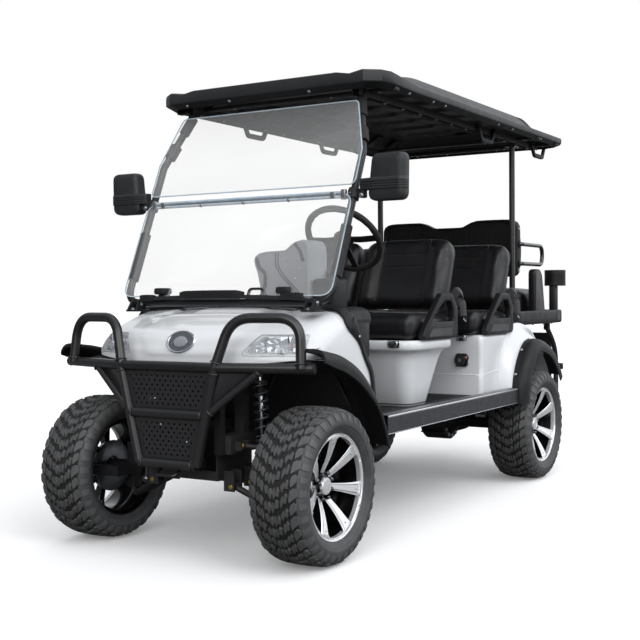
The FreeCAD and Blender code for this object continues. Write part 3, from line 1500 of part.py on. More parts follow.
def make_small_parts(tail_lamp, foot):
    keep("taillights", *pair(tail_lamp))
    z1 = seat_base_z - seat_gap
    first = block(latch_x - latch_width / 2, latch_x + latch_width / 2, pod_front_y - seat_gap - latch_depth,
                  pod_front_y - seat_gap, z1 - latch_height, z1)
    second = first.copy().translate(at(socket_x - latch_x, rear_body_front_y - pod_front_y, 0))
    socket = block(socket_x - socket_size / 2, socket_x + socket_size / 2,
                   rear_body_front_y - seat_gap - latch_depth * 2, rear_body_front_y - seat_gap,
                   socket_z - socket_size / 2, socket_z + socket_size / 2)
    keep("seat_latches", first, second, socket)
    bar_z = strut_mid_z
    half = strut_mid_x - strut_radius * math.cos(math.pi / bar_sides) - seat_gap
    bar = block(-half, half,
                strut_mid_y - hinge_bar_depth / 2, strut_mid_y + hinge_bar_depth / 2,
                bar_z - hinge_bar_height / 2, bar_z + hinge_bar_height / 2)
    keep("windshield_rails", *([bar] + pair(foot)))


def make_platform():
    """Rear foot platform, folded up between the tail struts."""
    y = strut_tail_y
    z = platform_hinge_z
    pin = bar(at(-strut_tail_x + strut_tail_radius + seat_gap, y, z),
              at(strut_tail_x - strut_tail_radius - seat_gap, y, z), platform_pin_radius)
    plate = block(-platform_half_width, platform_half_width, y - platform_thickness / 2, y + platform_thickness / 2,
                  z, z + platform_length)
    keep("foot_platform", fused([pin, plate]))


def export_all():
    whole = Part.makeCompound(list(parts.values()))
    box = whole.BoundBox
    move = at(0, -(box.YMin + box.YMax) / 2, 0)
    print("middle of the cart behind the front axle:", round(-move.y, 3))
    print("length, width, height:", round(box.YLength, 1), round(box.XLength, 1), round(box.ZLength, 1))
    for name, shape in parts.items():
        moved = shape.copy()
        moved.translate(move)
        moved.exportStep("parts/" + name + ".step")


make_wheels()
make_steering()
make_frame()
make_suspension()
make_rear_axle()
make_floor()
make_pod()
tail_lamp_solid = make_rear_body()
make_cowl()
make_flares()
make_guard()
strut_foot = make_windshield()
make_roof()
rail_bottom = make_roof_rails()
make_posts(rail_bottom)
make_seats()
make_rear_seat()
make_armrests()
make_dash()
make_mirrors()
make_small_parts(tail_lamp_solid, strut_foot)
make_platform()
export_all()
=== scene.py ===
# Golf cart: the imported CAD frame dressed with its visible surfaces, materials, light and camera.
import json
import math
import random

import bmesh
import bpy
from mathutils import Matrix, Vector
from mathutils.bvhtree import BVHTree


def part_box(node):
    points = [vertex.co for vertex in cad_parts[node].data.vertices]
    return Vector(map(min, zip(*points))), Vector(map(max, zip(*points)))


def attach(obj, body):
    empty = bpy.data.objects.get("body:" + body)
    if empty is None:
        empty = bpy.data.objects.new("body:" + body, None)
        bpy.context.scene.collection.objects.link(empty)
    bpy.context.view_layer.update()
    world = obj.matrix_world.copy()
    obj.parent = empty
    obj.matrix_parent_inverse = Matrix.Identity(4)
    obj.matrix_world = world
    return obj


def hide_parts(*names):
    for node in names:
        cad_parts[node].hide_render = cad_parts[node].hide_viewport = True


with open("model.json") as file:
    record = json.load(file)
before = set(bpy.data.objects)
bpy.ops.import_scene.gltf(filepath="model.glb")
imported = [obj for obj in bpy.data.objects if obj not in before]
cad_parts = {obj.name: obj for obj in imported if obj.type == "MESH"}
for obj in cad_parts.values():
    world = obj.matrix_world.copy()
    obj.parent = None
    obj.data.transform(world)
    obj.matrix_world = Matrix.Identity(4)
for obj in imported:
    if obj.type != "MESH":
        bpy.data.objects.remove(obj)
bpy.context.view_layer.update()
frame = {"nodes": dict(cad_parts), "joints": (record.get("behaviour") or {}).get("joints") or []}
scene = bpy.context.scene

# Places are written in metres from the ground under the front axle, and moved by axleY into the frame
axleY = next(j for j in frame["joints"] if j["name"] == "steer_left")["pos_m"][1]
wheelBase = 2.19
chassis = "chassis"


def at(x, y, z):
    return Vector((x, y + axleY, z))


def boxOf(node):
    # A CAD node's lowest and highest corners, from the front axle.
    low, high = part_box(node)
    return Vector((low[0], low[1] - axleY, low[2])), Vector((high[0], high[1] - axleY, high[2]))


def linear(code):
    # A hex sRGB colour as the linear RGBA that shaders take.
    values = [int(code[i:i + 2], 16) / 255 for i in (1, 3, 5)]
    return [v / 12.92 if v <= 0.04045 else ((v + 0.055) / 1.055) ** 2.4 for v in values] + [1.0]


# Materials
finishes = {}


def addNode(tree, kind, settings=None, links=None):
    # Adds a node, sets its sockets and properties, and links its inputs.
    node = tree.nodes.new(kind)
    for key, value in (settings or {}).items():
        if isinstance(key, str) and hasattr(node, key) and key not in node.inputs:
            setattr(node, key, value)
        else:
            node.inputs[key].default_value = value
    for key, source in (links or {}).items():
        tree.links.new(source, node.inputs[key])
    return node


def startMaterial(name, settings):
    # A Principled material with fixed values on its own sockets.
    mat = bpy.data.materials.new(name)
    mat.use_nodes = True
    tree = mat.node_tree
    shader = tree.nodes["Principled BSDF"]
    for key, value in settings.items():
        shader.inputs[key].default_value = value
    finishes[name] = mat
    return mat, tree, shader


def objectPlace(tree):
    return tree.nodes.new("ShaderNodeTexCoord").outputs["Object"]


def mixColour(tree, factor, low, high):
    # Two hex colours mixed by a factor socket.
    mix = addNode(tree, "ShaderNodeMix", {"data_type": "RGBA"}, {0: factor})
    mix.inputs[6].default_value = linear(low)
    mix.inputs[7].default_value = linear(high)
    return mix.outputs[2]


def mapValue(tree, source, low, high, fromLow=0.0, fromHigh=1.0):
    node = addNode(tree, "ShaderNodeMapRange", {"From Min": fromLow, "From Max": fromHigh,
                                                "To Min": low, "To Max": high}, {"Value": source})
    return node.outputs["Result"]


def addBump(tree, shader, height, strength, distance, normal=None):
    bump = addNode(tree, "ShaderNodeBump", {"Strength": strength, "Distance": distance}, {"Height": height})
    if normal is not None:
        tree.links.new(normal, bump.inputs["Normal"])
    tree.links.new(bump.outputs["Normal"], shader.inputs["Normal"])
    return bump.outputs["Normal"]


def noiseOf(tree, place, millimetres, detail=2.0, roughness=0.5):
    # Noise whose blobs are about that many millimetres across.
    return addNode(tree, "ShaderNodeTexNoise", {"Scale": 1000.0 / millimetres, "Detail": detail,
                                                "Roughness": roughness}, {"Vector": place}).outputs["Fac"]


def cellsOf(tree, place, millimetres, feature="F1", randomness=1.0):
    node = addNode(tree, "ShaderNodeTexVoronoi", {"feature": feature, "Scale": 1000.0 / millimetres,
                                                  "Randomness": randomness}, {"Vector": place})
    return node.outputs["Distance"]


def wornMaterial(name, low, high, roughLow, roughHigh, grain, depth, settings=None, patches=140.0):
    # A solid whose colour and gloss drift over patches, with a fine grain in its bump.
    mat, tree, shader = startMaterial(name, settings or {})
    place = objectPlace(tree)
    drift = noiseOf(tree, place, patches, 4.0)
    tree.links.new(mixColour(tree, mapValue(tree, drift, 0.0, 1.0, 0.3, 0.7), low, high),
                   shader.inputs["Base Color"])
    smear = noiseOf(tree, place, patches / 3.0, 5.0, 0.6)
    tree.links.new(mapValue(tree, smear, roughLow, roughHigh, 0.3, 0.7), shader.inputs["Roughness"])
    if depth:
        addBump(tree, shader, noiseOf(tree, place, grain, 3.0), 0.6, depth)
    return mat


def edgeWorn(mat, edge, strength=0.5):
    # Lighter rubbed edges, from the mesh's own curvature.
    tree = mat.node_tree
    shader = tree.nodes["Principled BSDF"]
    base = shader.inputs["Base Color"].links[0].from_socket
    point = tree.nodes.new("ShaderNodeNewGeometry").outputs["Pointiness"]
    wear = mapValue(tree, point, 0.0, strength, 0.52, 0.60)
    mix = addNode(tree, "ShaderNodeMix", {"data_type": "RGBA"}, {0: wear, 6: base})
    mix.inputs[7].default_value = linear(edge)
    tree.links.new(mix.outputs[2], shader.inputs["Base Color"])
    return mat


def makePaints():
    # glossy white injection-moulded ABS of the cowl, pod and rear body, with faint mould waviness
    wornMaterial("whiteAbs", "#DEE0E3", "#E3E4E6", 0.20, 0.24, 60.0, 0.0,
                 {"Coat Weight": 0.5, "Coat Roughness": 0.06, "Specular IOR Level": 0.5}, 400.0)
    # grained black ABS of the flares, tray, trims and rear shell
    edgeWorn(wornMaterial("blackAbs", "#0E0E10", "#141416", 0.44, 0.58, 1.3, 0.0004,
                          {"Specular IOR Level": 0.32}), "#26272A", 0.5)
    # charcoal vacuum-formed roof skin with a fine leather grain
    edgeWorn(wornMaterial("roofSkin", "#222325", "#2A2B2D", 0.42, 0.54, 2.0, 0.0004,
                          {"Specular IOR Level": 0.4}), "#36373A", 0.4)
    # satin black powder coat on the guard's steel tube
    edgeWorn(wornMaterial("satinCoat", "#0D0D0E", "#141416", 0.28, 0.38, 0.9, 0.00012,
                          {"Coat Weight": 0.25, "Coat Roughness": 0.25}, 90.0), "#2A2A2C", 0.5)
    # flat black chassis paint with road dust
    edgeWorn(wornMaterial("framePaint", "#111112", "#1D1C1B", 0.5, 0.72, 1.6, 0.0003, None, 60.0),
             "#2C2C2C", 0.6)
    # gloss black dipped coating of the grab loops, posts and struts
    wornMaterial("glossBlack", "#08080A", "#0E0E10", 0.10, 0.18, 30.0, 0.0001, {"Coat Weight": 0.6}, 120.0)
    # grey anodised strut tube
    wornMaterial("strutGrey", "#26282B", "#303235", 0.30, 0.40, 0.8, 0.0001, {"Metallic": 0.55}, 120.0)
    # grained grey ABS of the dashboard and binnacle
    wornMaterial("greyAbs", "#83868B", "#8F9297", 0.42, 0.54, 1.4, 0.0004, None, 200.0)
    # natural cast steel of the axle tubes, hubs and gearcase
    edgeWorn(wornMaterial("castIron", "#232325", "#323234", 0.45, 0.65, 3.0, 0.0005, {"Metallic": 0.6},
                          50.0),
             "#57585A", 0.6)
    # turned steel of the rotors and shafts
    wornMaterial("turnedSteel", "#6F7175", "#86888C", 0.28, 0.42, 0.8, 0.0001, {"Metallic": 1.0}, 40.0)
    # clear zinc plating
    wornMaterial("zinc", "#A9ABB0", "#C2C4C8", 0.25, 0.38, 3.0, 0.0001, {"Metallic": 1.0}, 12.0)
    # yellow zinc plating of the suspension bolts
    wornMaterial("yellowZinc", "#B58F45", "#D6B468", 0.28, 0.42, 3.0, 0.0001, {"Metallic": 1.0}, 12.0)
    # mirror chrome of the lamp bowls and cap
    wornMaterial("chrome", "#DADDE2", "#E8EAEE", 0.05, 0.10, 20.0, 0.00003, {"Metallic": 1.0}, 40.0)
    # dark smoked chrome of the wheel nuts
    wornMaterial("smokedChrome", "#45474B", "#6B6D72", 0.12, 0.20, 20.0, 0.00003, {"Metallic": 1.0}, 20.0)
    # gloss black paint in the wheel pockets
    wornMaterial("pocketBlack", "#060607", "#0B0B0C", 0.16, 0.26, 20.0, 0.00005, {"Coat Weight": 0.4}, 60.0)
    # amber and red moulded lenses
    wornMaterial("amberLens", "#C8621A", "#DA7724", 0.10, 0.18, 3.0, 0.0002, {"Coat Weight": 0.5}, 20.0)
    wornMaterial("redLens", "#8E1410", "#A81C16", 0.10, 0.18, 3.0, 0.0002, {"Coat Weight": 0.5}, 20.0)
    # off-white moulding behind the lamp glass
    wornMaterial("lampBezel", "#C9CACC", "#D6D7D9", 0.22, 0.3, 2.0, 0.0001, {"Coat Weight": 0.4}, 60.0)
    # moulded black rubber of bushes, grips, clips and pedal pads
    wornMaterial("softRubber", "#151516", "#1E1E1F", 0.62, 0.78, 2.2, 0.0003, None, 40.0)
    # silver-grey printed inlay of the plain badge
    wornMaterial("badgeInlay", "#6D737A", "#7E848B", 0.3, 0.4, 0.6, 0.00005, {"Metallic": 0.8}, 12.0)


def makeMetals():
    # diamond-turned aluminium of the wheel spokes, with the lathe's fine rings round the axle
    mat, tree, shader = startMaterial("machinedAlloy", {"Metallic": 0.62})
    place = objectPlace(tree)
    fine = addNode(tree, "ShaderNodeTexWave", {"wave_type": "RINGS", "rings_direction": "X", "Scale": 320.0,
                                               "Distortion": 0.4, "Detail": 2.0},
                                               {"Vector": place}).outputs["Fac"]
    tree.links.new(mixColour(tree, noiseOf(tree, place, 60.0), "#E9EAEC", "#F6F6F8"),
                   shader.inputs["Base Color"])
    tree.links.new(mapValue(tree, fine, 0.20, 0.28), shader.inputs["Roughness"])
    addBump(tree, shader, fine, 0.15, 0.00003)
    # extruded aluminium of the sill boards, dulled by feet
    mat, tree, shader = startMaterial("sillAlloy", {"Metallic": 0.85})
    place = objectPlace(tree)
    stretched = addNode(tree, "ShaderNodeMapping", {"Scale": (1.0, 0.04, 1.0)},
                        {"Vector": place}).outputs["Vector"]
    draw = noiseOf(tree, stretched, 1.6, 4.0, 0.7)
    tree.links.new(mixColour(tree, draw, "#44464A", "#6A6C70"), shader.inputs["Base Color"])
    tree.links.new(mapValue(tree, noiseOf(tree, place, 45.0, 4.0), 0.34, 0.52, 0.3, 0.7),
                   shader.inputs["Roughness"])
    addBump(tree, shader, draw, 0.3, 0.0001)


def makeSoft():
    # tyre rubber, dusty in the hollows, with fine mould texture
    mat, tree, shader = startMaterial("tyreRubber", {"Specular IOR Level": 0.45})
    place = objectPlace(tree)
    dust = noiseOf(tree, place, 35.0, 6.0, 0.65)
    tree.links.new(mixColour(tree, mapValue(tree, dust, 0.0, 1.0, 0.35, 0.7), "#3A3B3C", "#4B4B4C"),
                   shader.inputs["Base Color"])
    tree.links.new(mapValue(tree, dust, 0.46, 0.62, 0.3, 0.7), shader.inputs["Roughness"])
    addBump(tree, shader, noiseOf(tree, place, 1.8, 4.0, 0.6), 0.5, 0.0004)
    edgeWorn(mat, "#666666", 0.35)
    # black marine vinyl with a pebble grain and faint stretch creases
    mat, tree, shader = startMaterial("vinyl", {"Specular IOR Level": 0.42, "Coat Weight": 0.08,
                                                "Coat Roughness": 0.35})
    place = objectPlace(tree)
    pebble = cellsOf(tree, place, 1.7, "SMOOTH_F1")
    sheen = noiseOf(tree, place, 55.0, 4.0)
    tree.links.new(mixColour(tree, sheen, "#0E0E10", "#141417"), shader.inputs["Base Color"])
    tree.links.new(mapValue(tree, sheen, 0.36, 0.48, 0.3, 0.7), shader.inputs["Roughness"])
    creased = addBump(tree, shader, noiseOf(tree, place, 30.0, 5.0, 0.6), 0.25, 0.0012)
    addBump(tree, shader, pebble, 0.5, 0.0004, creased)
    # black polyester belt webbing, woven across its width
    mat, tree, shader = startMaterial("webbing", {"Sheen Weight": 0.3})
    place = objectPlace(tree)
    weave = addNode(tree, "ShaderNodeTexWave", {"Scale": 420.0, "Distortion": 0.6},
                    {"Vector": place}).outputs["Fac"]
    tree.links.new(mixColour(tree, weave, "#101011", "#1F1F21"), shader.inputs["Base Color"])
    tree.links.new(mapValue(tree, weave, 0.6, 0.8), shader.inputs["Roughness"])
    addBump(tree, shader, weave, 0.6, 0.0004)
    # ribbed black rubber floor mat
    mat, tree, shader = startMaterial("rubberMat", {})
    place = objectPlace(tree)
    ribs = addNode(tree, "ShaderNodeTexWave", {"Scale": 52.0, "bands_direction": "X"},
                   {"Vector": place}).outputs["Fac"]
    dust = noiseOf(tree, place, 90.0, 5.0)
    tree.links.new(mixColour(tree, dust, "#161718", "#232425"), shader.inputs["Base Color"])
    tree.links.new(mapValue(tree, dust, 0.6, 0.78, 0.3, 0.7), shader.inputs["Roughness"])
    addBump(tree, shader, ribs, 0.7, 0.0012)
    # coil springs, black, with light grey patches mixed in by noise as painted highlights
    wornMaterial("springSteel", "#131314", "#77797C", 0.2, 0.35, 3.0, 0.0001, {"Metallic": 0.6}, 9.0)


def makeClear():
    # clear acrylic of the windshield panes
    mat, tree, shader = startMaterial("clearPane", {"Alpha": 0.13, "Roughness": 0.03, "Coat Weight": 0.4,
                                                    "Coat Roughness": 0.02, "IOR": 1.49})
    place = objectPlace(tree)
    tree.links.new(mixColour(tree, noiseOf(tree, place, 300.0), "#FCFDFD", "#FFFFFF"),
                   shader.inputs["Base Color"])
    addBump(tree, shader, noiseOf(tree, place, 220.0), 0.1, 0.0004)
    # polycarbonate lamp lens with faint flutes
    mat, tree, shader = startMaterial("clearLens", {"Alpha": 0.22, "Roughness": 0.04, "Coat Weight": 1.0,
                                                    "Coat Roughness": 0.03, "IOR": 1.58})
    place = objectPlace(tree)
    flutes = addNode(tree, "ShaderNodeTexWave", {"Scale": 38.0, "bands_direction": "X"},
                     {"Vector": place}).outputs["Fac"]
    tree.links.new(mixColour(tree, noiseOf(tree, place, 80.0), "#D4DADF", "#E6EAED"),
                   shader.inputs["Base Color"])
    addBump(tree, shader, flutes, 0.25, 0.0005)
    # light opaque strip along the pane edges and hinge channels: a painted highlight of the panes' edges
    wornMaterial("paneEdgeHighlight", "#9FB4C4", "#C6D3DC", 0.18, 0.3, 4.0, 0.0001, {"Coat Weight": 0.8}, 60.0)


# Mesh building
def linkObject(name, data, finish=None):
    obj = bpy.data.objects.new(name, data)
    scene.collection.objects.link(obj)
    if finish:
        data.materials.append(finishes[finish])
    return obj


def shadeBy(data, angle):
    # Smooth shading, with sharp edges where faces turn by more than the angle in degrees.
    data.shade_smooth()
    data.set_sharp_from_angle(angle=math.radians(angle))


def makeMesh(name, points, faces, finish, angle=35.0, merge=True):
    # A mesh object from points and faces, its normals turned outwards.
    data = bpy.data.meshes.new(name)
    data.from_pydata([tuple(p) for p in points], [], faces)
    bm = bmesh.new()
    bm.from_mesh(data)
    if merge:
        bmesh.ops.remove_doubles(bm, verts=bm.verts, dist=0.00005)
    bmesh.ops.recalc_face_normals(bm, faces=bm.faces)
    bm.to_mesh(data)
    bm.free()
    shadeBy(data, angle)
    return linkObject(name, data, finish)


def applied(obj):
    # Bakes an object's modifiers into its mesh.
    evaluated = obj.evaluated_get(bpy.context.evaluated_depsgraph_get())
    data = bpy.data.meshes.new_from_object(evaluated)
    old = obj.data
    obj.modifiers.clear()
    obj.data = data
    if old.users == 0:
        bpy.data.meshes.remove(old)
    return obj


def modified(obj, kind, **settings):
    # Adds one modifier, applies it, and gives the object back.
    mod = obj.modifiers.new(kind.lower(), kind)
    for key, value in settings.items():
        setattr(mod, key, value)
    bpy.context.view_layer.update()
    return applied(obj)


def bevelled(obj, width, segments=2, angle=30.0):
    obj = modified(obj, "BEVEL", width=width, segments=segments, limit_method="ANGLE",
                   angle_limit=math.radians(angle), harden_normals=False)
    shadeBy(obj.data, 40.0)
    return obj


def joined(name, objects):
    # Joins several mesh objects into one, keeping their materials.
    bm = bmesh.new()
    mats = []
    for obj in objects:
        start = len(bm.faces)
        shift = []
        for mat in obj.data.materials:
            if mat not in mats:
                mats.append(mat)
            shift.append(mats.index(mat))
        bm.from_mesh(obj.data)
        bm.faces.ensure_lookup_table()
        for face in bm.faces[start:]:
            face.material_index = shift[face.material_index] if shift else 0
    data = bpy.data.meshes.new(name)
    bm.to_mesh(data)
    bm.free()
    for mat in mats:
        data.materials.append(mat)
    for obj in objects:
        old = obj.data
        bpy.data.objects.remove(obj)
        if old.users == 0:
            bpy.data.meshes.remove(old)
    return linkObject(name, data)


def moved(obj, matrix):
    # Turns and moves the mesh itself, so that the object stays at the origin.
    obj.data.transform(matrix)
    if matrix.determinant() < 0:
        obj.data.flip_normals()
    return obj


def mirroredCopy(obj, name):
    twin = linkObject(name, obj.data.copy())
    return moved(twin, Matrix.Scale(-1, 4, (1, 0, 0)))


def bothSides(obj, name):
    # The object and its mirror image across the cart's middle, as one.
    return joined(name, [obj, mirroredCopy(obj, name + "Twin")])


def extrude(name, outline, depth, finish, bevel=0.0, segments=2):
    # A plate: a closed outline of 3-D points, thickened along a vector.
    count = len(outline)
    points = [Vector(p) for p in outline] + [Vector(p) + depth for p in outline]
    faces = [tuple(range(count)), tuple(range(2 * count - 1, count - 1, -1))]
    faces += [(i, (i + 1) % count, count + (i + 1) % count, count + i) for i in range(count)]
    obj = makeMesh(name, points, faces, finish)
    return bevelled(obj, bevel, segments) if bevel else obj


def block(name, low, high, finish, bevel=0.003, segments=2):
    # A bevelled box between two corners.
    x0, y0, z0 = low
    x1, y1, z1 = high
    outline = [at(x0, y0, z0), at(x1, y0, z0), at(x1, y1, z0), at(x0, y1, z0)]
    return extrude(name, outline, Vector((0, 0, z1 - z0)), finish, bevel, segments)


def roundedLine(points, bend, steps=8):
    # A polyline whose corners turn in arcs of about that radius.
    points = [Vector(p) for p in points]
    out = [points[0]]
    for before, corner, after in zip(points, points[1:], points[2:]):
        a, b = (before - corner), (after - corner)
        la, lb = a.length, b.length
        angle = a.angle(b)
        if angle > 3.05:
            out.append(corner)
            continue
        cut = min(bend / math.tan(angle / 2), la * 0.49, lb * 0.49)
        start, end = corner + a.normalized() * cut, corner + b.normalized() * cut
        for i in range(steps + 1):
            t = i / steps
            out.append(start * (1 - t) ** 2 + corner * 2 * t * (1 - t) + end * t ** 2)
    out.append(points[-1])
    return out


def frames(points, up=Vector((0, 0, 1)), closed=False):
    # Turning-free cross directions along a line.
    count = len(points)
    tangents = []
    for i in range(count):
        before = points[(i - 1) % count] if closed or i else points[0]
        after = points[(i + 1) % count] if closed or i < count - 1 else points[-1]
        tangents.append((after - before).normalized())
    side = tangents[0].cross(up)
    if side.length < 0.05:
        side = tangents[0].cross(Vector((0, 1, 0)))
    side.normalize()
    out = []
    for tangent in tangents:
        side = (side - tangent * side.dot(tangent)).normalized()
        out.append((tangent, side, tangent.cross(side)))
    return out


def sweep(name, points, section, finish, closed=False, angle=40.0, up=Vector((0, 0, 1)), scales=None):
    # A closed section of (side, up) pairs carried along a line.
    points = [Vector(p) for p in points]
    rings = []
    for i, (point, (tangent, side, top)) in enumerate(zip(points, frames(points, up, closed))):
        k = scales[i] if scales else 1.0
        rings.append([point + side * a * k + top * b * k for a, b in section])
    n = len(section)
    verts = [v for ring in rings for v in ring]
    last = len(rings) if closed else len(rings) - 1
    faces = []
    for r in range(last):
        for i in range(n):
            a, b = r * n + i, r * n + (i + 1) % n
            c, d = ((r + 1) % len(rings)) * n + (i + 1) % n, ((r + 1) % len(rings)) * n + i
            faces.append((a, b, c, d))
    if not closed:
        faces += [tuple(range(n)), tuple(range((len(rings) - 1) * n, len(rings) * n))]
    return makeMesh(name, verts, faces, finish, angle)


def circle(radius, sides=16):
    return [(radius * math.cos(2 * math.pi * i / sides), radius * math.sin(2 * math.pi * i / sides))
            for i in range(sides)]


def tube(name, points, radius, finish, bend=0.0, sides=16, steps=8):
    line = roundedLine(points, bend, steps) if bend else [Vector(p) for p in points]
    return sweep(name, line, circle(radius, sides), finish)


def ribbon(width, thick):
    # A flat strap's section with rounded edges.
    w, t = width / 2, thick / 2
    return [(-w, -t * 0.4), (-w + t, -t), (w - t, -t), (w, -t * 0.4), (w, t * 0.4), (w - t, t), (-w + t, t),
            (-w, t * 0.4)]


def lathe(name, profile, finish, sides=48, start=0.0, sweepAngle=2 * math.pi, angle=35.0):
    # A profile of (x, radius) turned about the X axis through the origin.
    closed = abs(sweepAngle - 2 * math.pi) < 1e-6
    rows = sides if closed else sides + 1
    verts, faces = [], []
    for i in range(rows):
        a = start + sweepAngle * i / sides
        verts += [Vector((x, r * math.sin(a), r * math.cos(a))) for x, r in profile]
    n = len(profile)
    for i in range(sides):
        j = (i + 1) % rows
        for k in range(n - 1):
            faces.append((i * n + k, i * n + k + 1, j * n + k + 1, j * n + k))
    return makeMesh(name, verts, faces, finish, angle)


def surface(name, rows, finish, angle=35.0, closedRows=False):
    # A sheet from rows of points.
    n = len(rows[0])
    verts = [p for row in rows for p in row]
    faces = []
    for r in range(len(rows) - 1):
        for i in range(n if closedRows else n - 1):
            j = (i + 1) % n
            faces.append((r * n + i, r * n + j, (r + 1) * n + j, (r + 1) * n + i))
    return makeMesh(name, verts, faces, finish, angle)


# Repeated small pieces
def makeRepeatTree():
    # Instances of one piece on points, turned by the points' own 'turn' and sized by 'size'.
    tree = bpy.data.node_groups.new("repeatPieces", "GeometryNodeTree")
    tree.interface.new_socket("Geometry", in_out="INPUT", socket_type="NodeSocketGeometry")
    tree.interface.new_socket("Piece", in_out="INPUT", socket_type="NodeSocketObject")
    tree.interface.new_socket("Finish", in_out="INPUT", socket_type="NodeSocketMaterial")
    tree.interface.new_socket("Geometry", in_out="OUTPUT", socket_type="NodeSocketGeometry")
    source = tree.nodes.new("NodeGroupInput").outputs
    piece = addNode(tree, "GeometryNodeObjectInfo", None, {"Object": source["Piece"]})
    turn = addNode(tree, "GeometryNodeInputNamedAttribute", {"data_type": "FLOAT_VECTOR", "Name": "turn"})
    size = addNode(tree, "GeometryNodeInputNamedAttribute", {"data_type": "FLOAT_VECTOR", "Name": "size"})
    points = addNode(tree, "GeometryNodeMeshToPoints", None, {"Mesh": source["Geometry"]})
    spread = addNode(tree, "GeometryNodeInstanceOnPoints", None, {
        "Points": points.outputs["Points"], "Instance": piece.outputs["Geometry"],
        "Rotation": turn.outputs["Attribute"], "Scale": size.outputs["Attribute"]})
    real = addNode(tree, "GeometryNodeRealizeInstances", None, {"Geometry": spread.outputs["Instances"]})
    painted = addNode(tree, "GeometryNodeSetMaterial", None, {"Geometry": real.outputs["Geometry"],
                                                              "Material": source["Finish"]})
    tree.links.new(painted.outputs["Geometry"], tree.nodes.new("NodeGroupOutput").inputs["Geometry"])
    return tree


repeatTree = makeRepeatTree()


def repeated(name, piece, places, finish, angle=35.0):
    # Copies of a small mesh object at matrices, spread by Geometry Nodes and baked.
    data = bpy.data.meshes.new(name)
    data.from_pydata([tuple(m.translation) for m in places], [], [])
    for key in ("turn", "size"):
        data.attributes.new(key, "FLOAT_VECTOR", "POINT")
    for i, matrix in enumerate(places):
        data.attributes["turn"].data[i].vector = matrix.to_euler()
        data.attributes["size"].data[i].vector = matrix.to_scale()
    obj = linkObject(name, data)
    mod = obj.modifiers.new("repeat", "NODES")
    mod.node_group = repeatTree
    sockets = {item.name: item.identifier for item in repeatTree.interface.items_tree
               if item.in_out == "INPUT"}
    mod[sockets["Piece"]] = piece
    mod[sockets["Finish"]] = finishes[finish]
    piece.hide_render = True
    bpy.context.view_layer.update()
    applied(obj)
    obj.data.materials.clear()
    obj.data.materials.append(finishes[finish])
    for key in ("turn", "size"):
        if key in obj.data.attributes:
            obj.data.attributes.remove(obj.data.attributes[key])
    old = piece.data
    bpy.data.objects.remove(piece)
    bpy.data.meshes.remove(old)
    shadeBy(obj.data, angle)
    return obj


def facing(place, normal, roll=0.0, size=1.0):
    # A matrix at a place whose Z axis looks along the normal.
    turn = Vector(normal).to_track_quat("Z", "Y").to_matrix().to_4x4()
    return Matrix.Translation(Vector(place)) @ turn @ Matrix.Rotation(roll, 4, "Z") @ Matrix.Scale(size, 4)


def unitTurned(name, profile, sides=24, angle=35.0):
    # A small turned piece about Z, from (radius, height) pairs.
    verts, faces = [], []
    n = len(profile)
    for i in range(sides):
        a = 2 * math.pi * i / sides
        verts += [Vector((r * math.cos(a), r * math.sin(a), z)) for r, z in profile]
    for i in range(sides):
        j = (i + 1) % sides
        for k in range(n - 1):
            faces.append((i * n + k, i * n + k + 1, j * n + k + 1, j * n + k))
    return makeMesh(name, verts, faces, None, angle)


def hexBolt(name, across, height, washer=True):
    # A hexagon head on a washer.
    r = across / 2
    head = unitTurned(name + "Head",
                      [(0, height), (r * 0.86, height), (r, height * 0.86), (r, 0.0), (0, 0.0)], 6)
    parts = [head]
    if washer:
        w = across * 0.78
        parts.append(unitTurned(name + "Washer",
                                [(0, height * 0.22), (w * 0.94, height * 0.22), (w, height * 0.12),
                                                  (w, -0.0005), (0, -0.0005)], 24))
    return joined(name, parts)


def domeBolt(name, radius, height):
    # A domed head with a hexagon socket.
    rim = [(radius * math.cos(a), height * math.sin(a)) for a in [math.pi / 2 * i / 5 for i in range(5)]]
    profile = [(radius, -0.0005)] + rim + [(radius * 0.42, height * 0.92), (radius * 0.40, height * 0.45),
                                           (0, height * 0.45)]
    return unitTurned(name, profile, 18)


def dressed(obj, body=chassis, replaces=()):
    # Rides the body, and stands for CAD nodes.
    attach(obj, body)
    if replaces:
        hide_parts(*replaces)
    return obj


def paintNode(node, finish):
    # A carried-over CAD node takes a procedural material.
    obj = frame["nodes"][node]
    obj.data.materials.clear()
    obj.data.materials.append(finishes[finish])


makePaints()
makeMetals()
makeSoft()
makeClear()
print("materials made")


# Camera, floor and light
def makeCamera():
    data = bpy.data.cameras.new("camera")
    data.lens, data.sensor_width = 61.24, 36.0
    data.clip_end = 200.0
    camera = bpy.data.objects.new("camera", data)
    scene.collection.objects.link(camera)
    yaw, pitch, roll = math.radians(31.12), math.radians(1.32), math.radians(-0.40)
    look = Vector((-math.sin(yaw) * math.cos(pitch), math.cos(yaw) * math.cos(pitch), -math.sin(pitch)))
    right = Vector((math.cos(yaw), math.sin(yaw), 0))
    top = right.cross(look)
    right, top = right * math.cos(roll) + top * math.sin(roll), top * math.cos(roll) - right * math.sin(roll)
    turn = Matrix((right, top, -look)).transposed().to_4x4()
    camera.matrix_world = Matrix.Translation(at(2.597, -3.417, 0.994)) @ turn
    scene.camera = camera


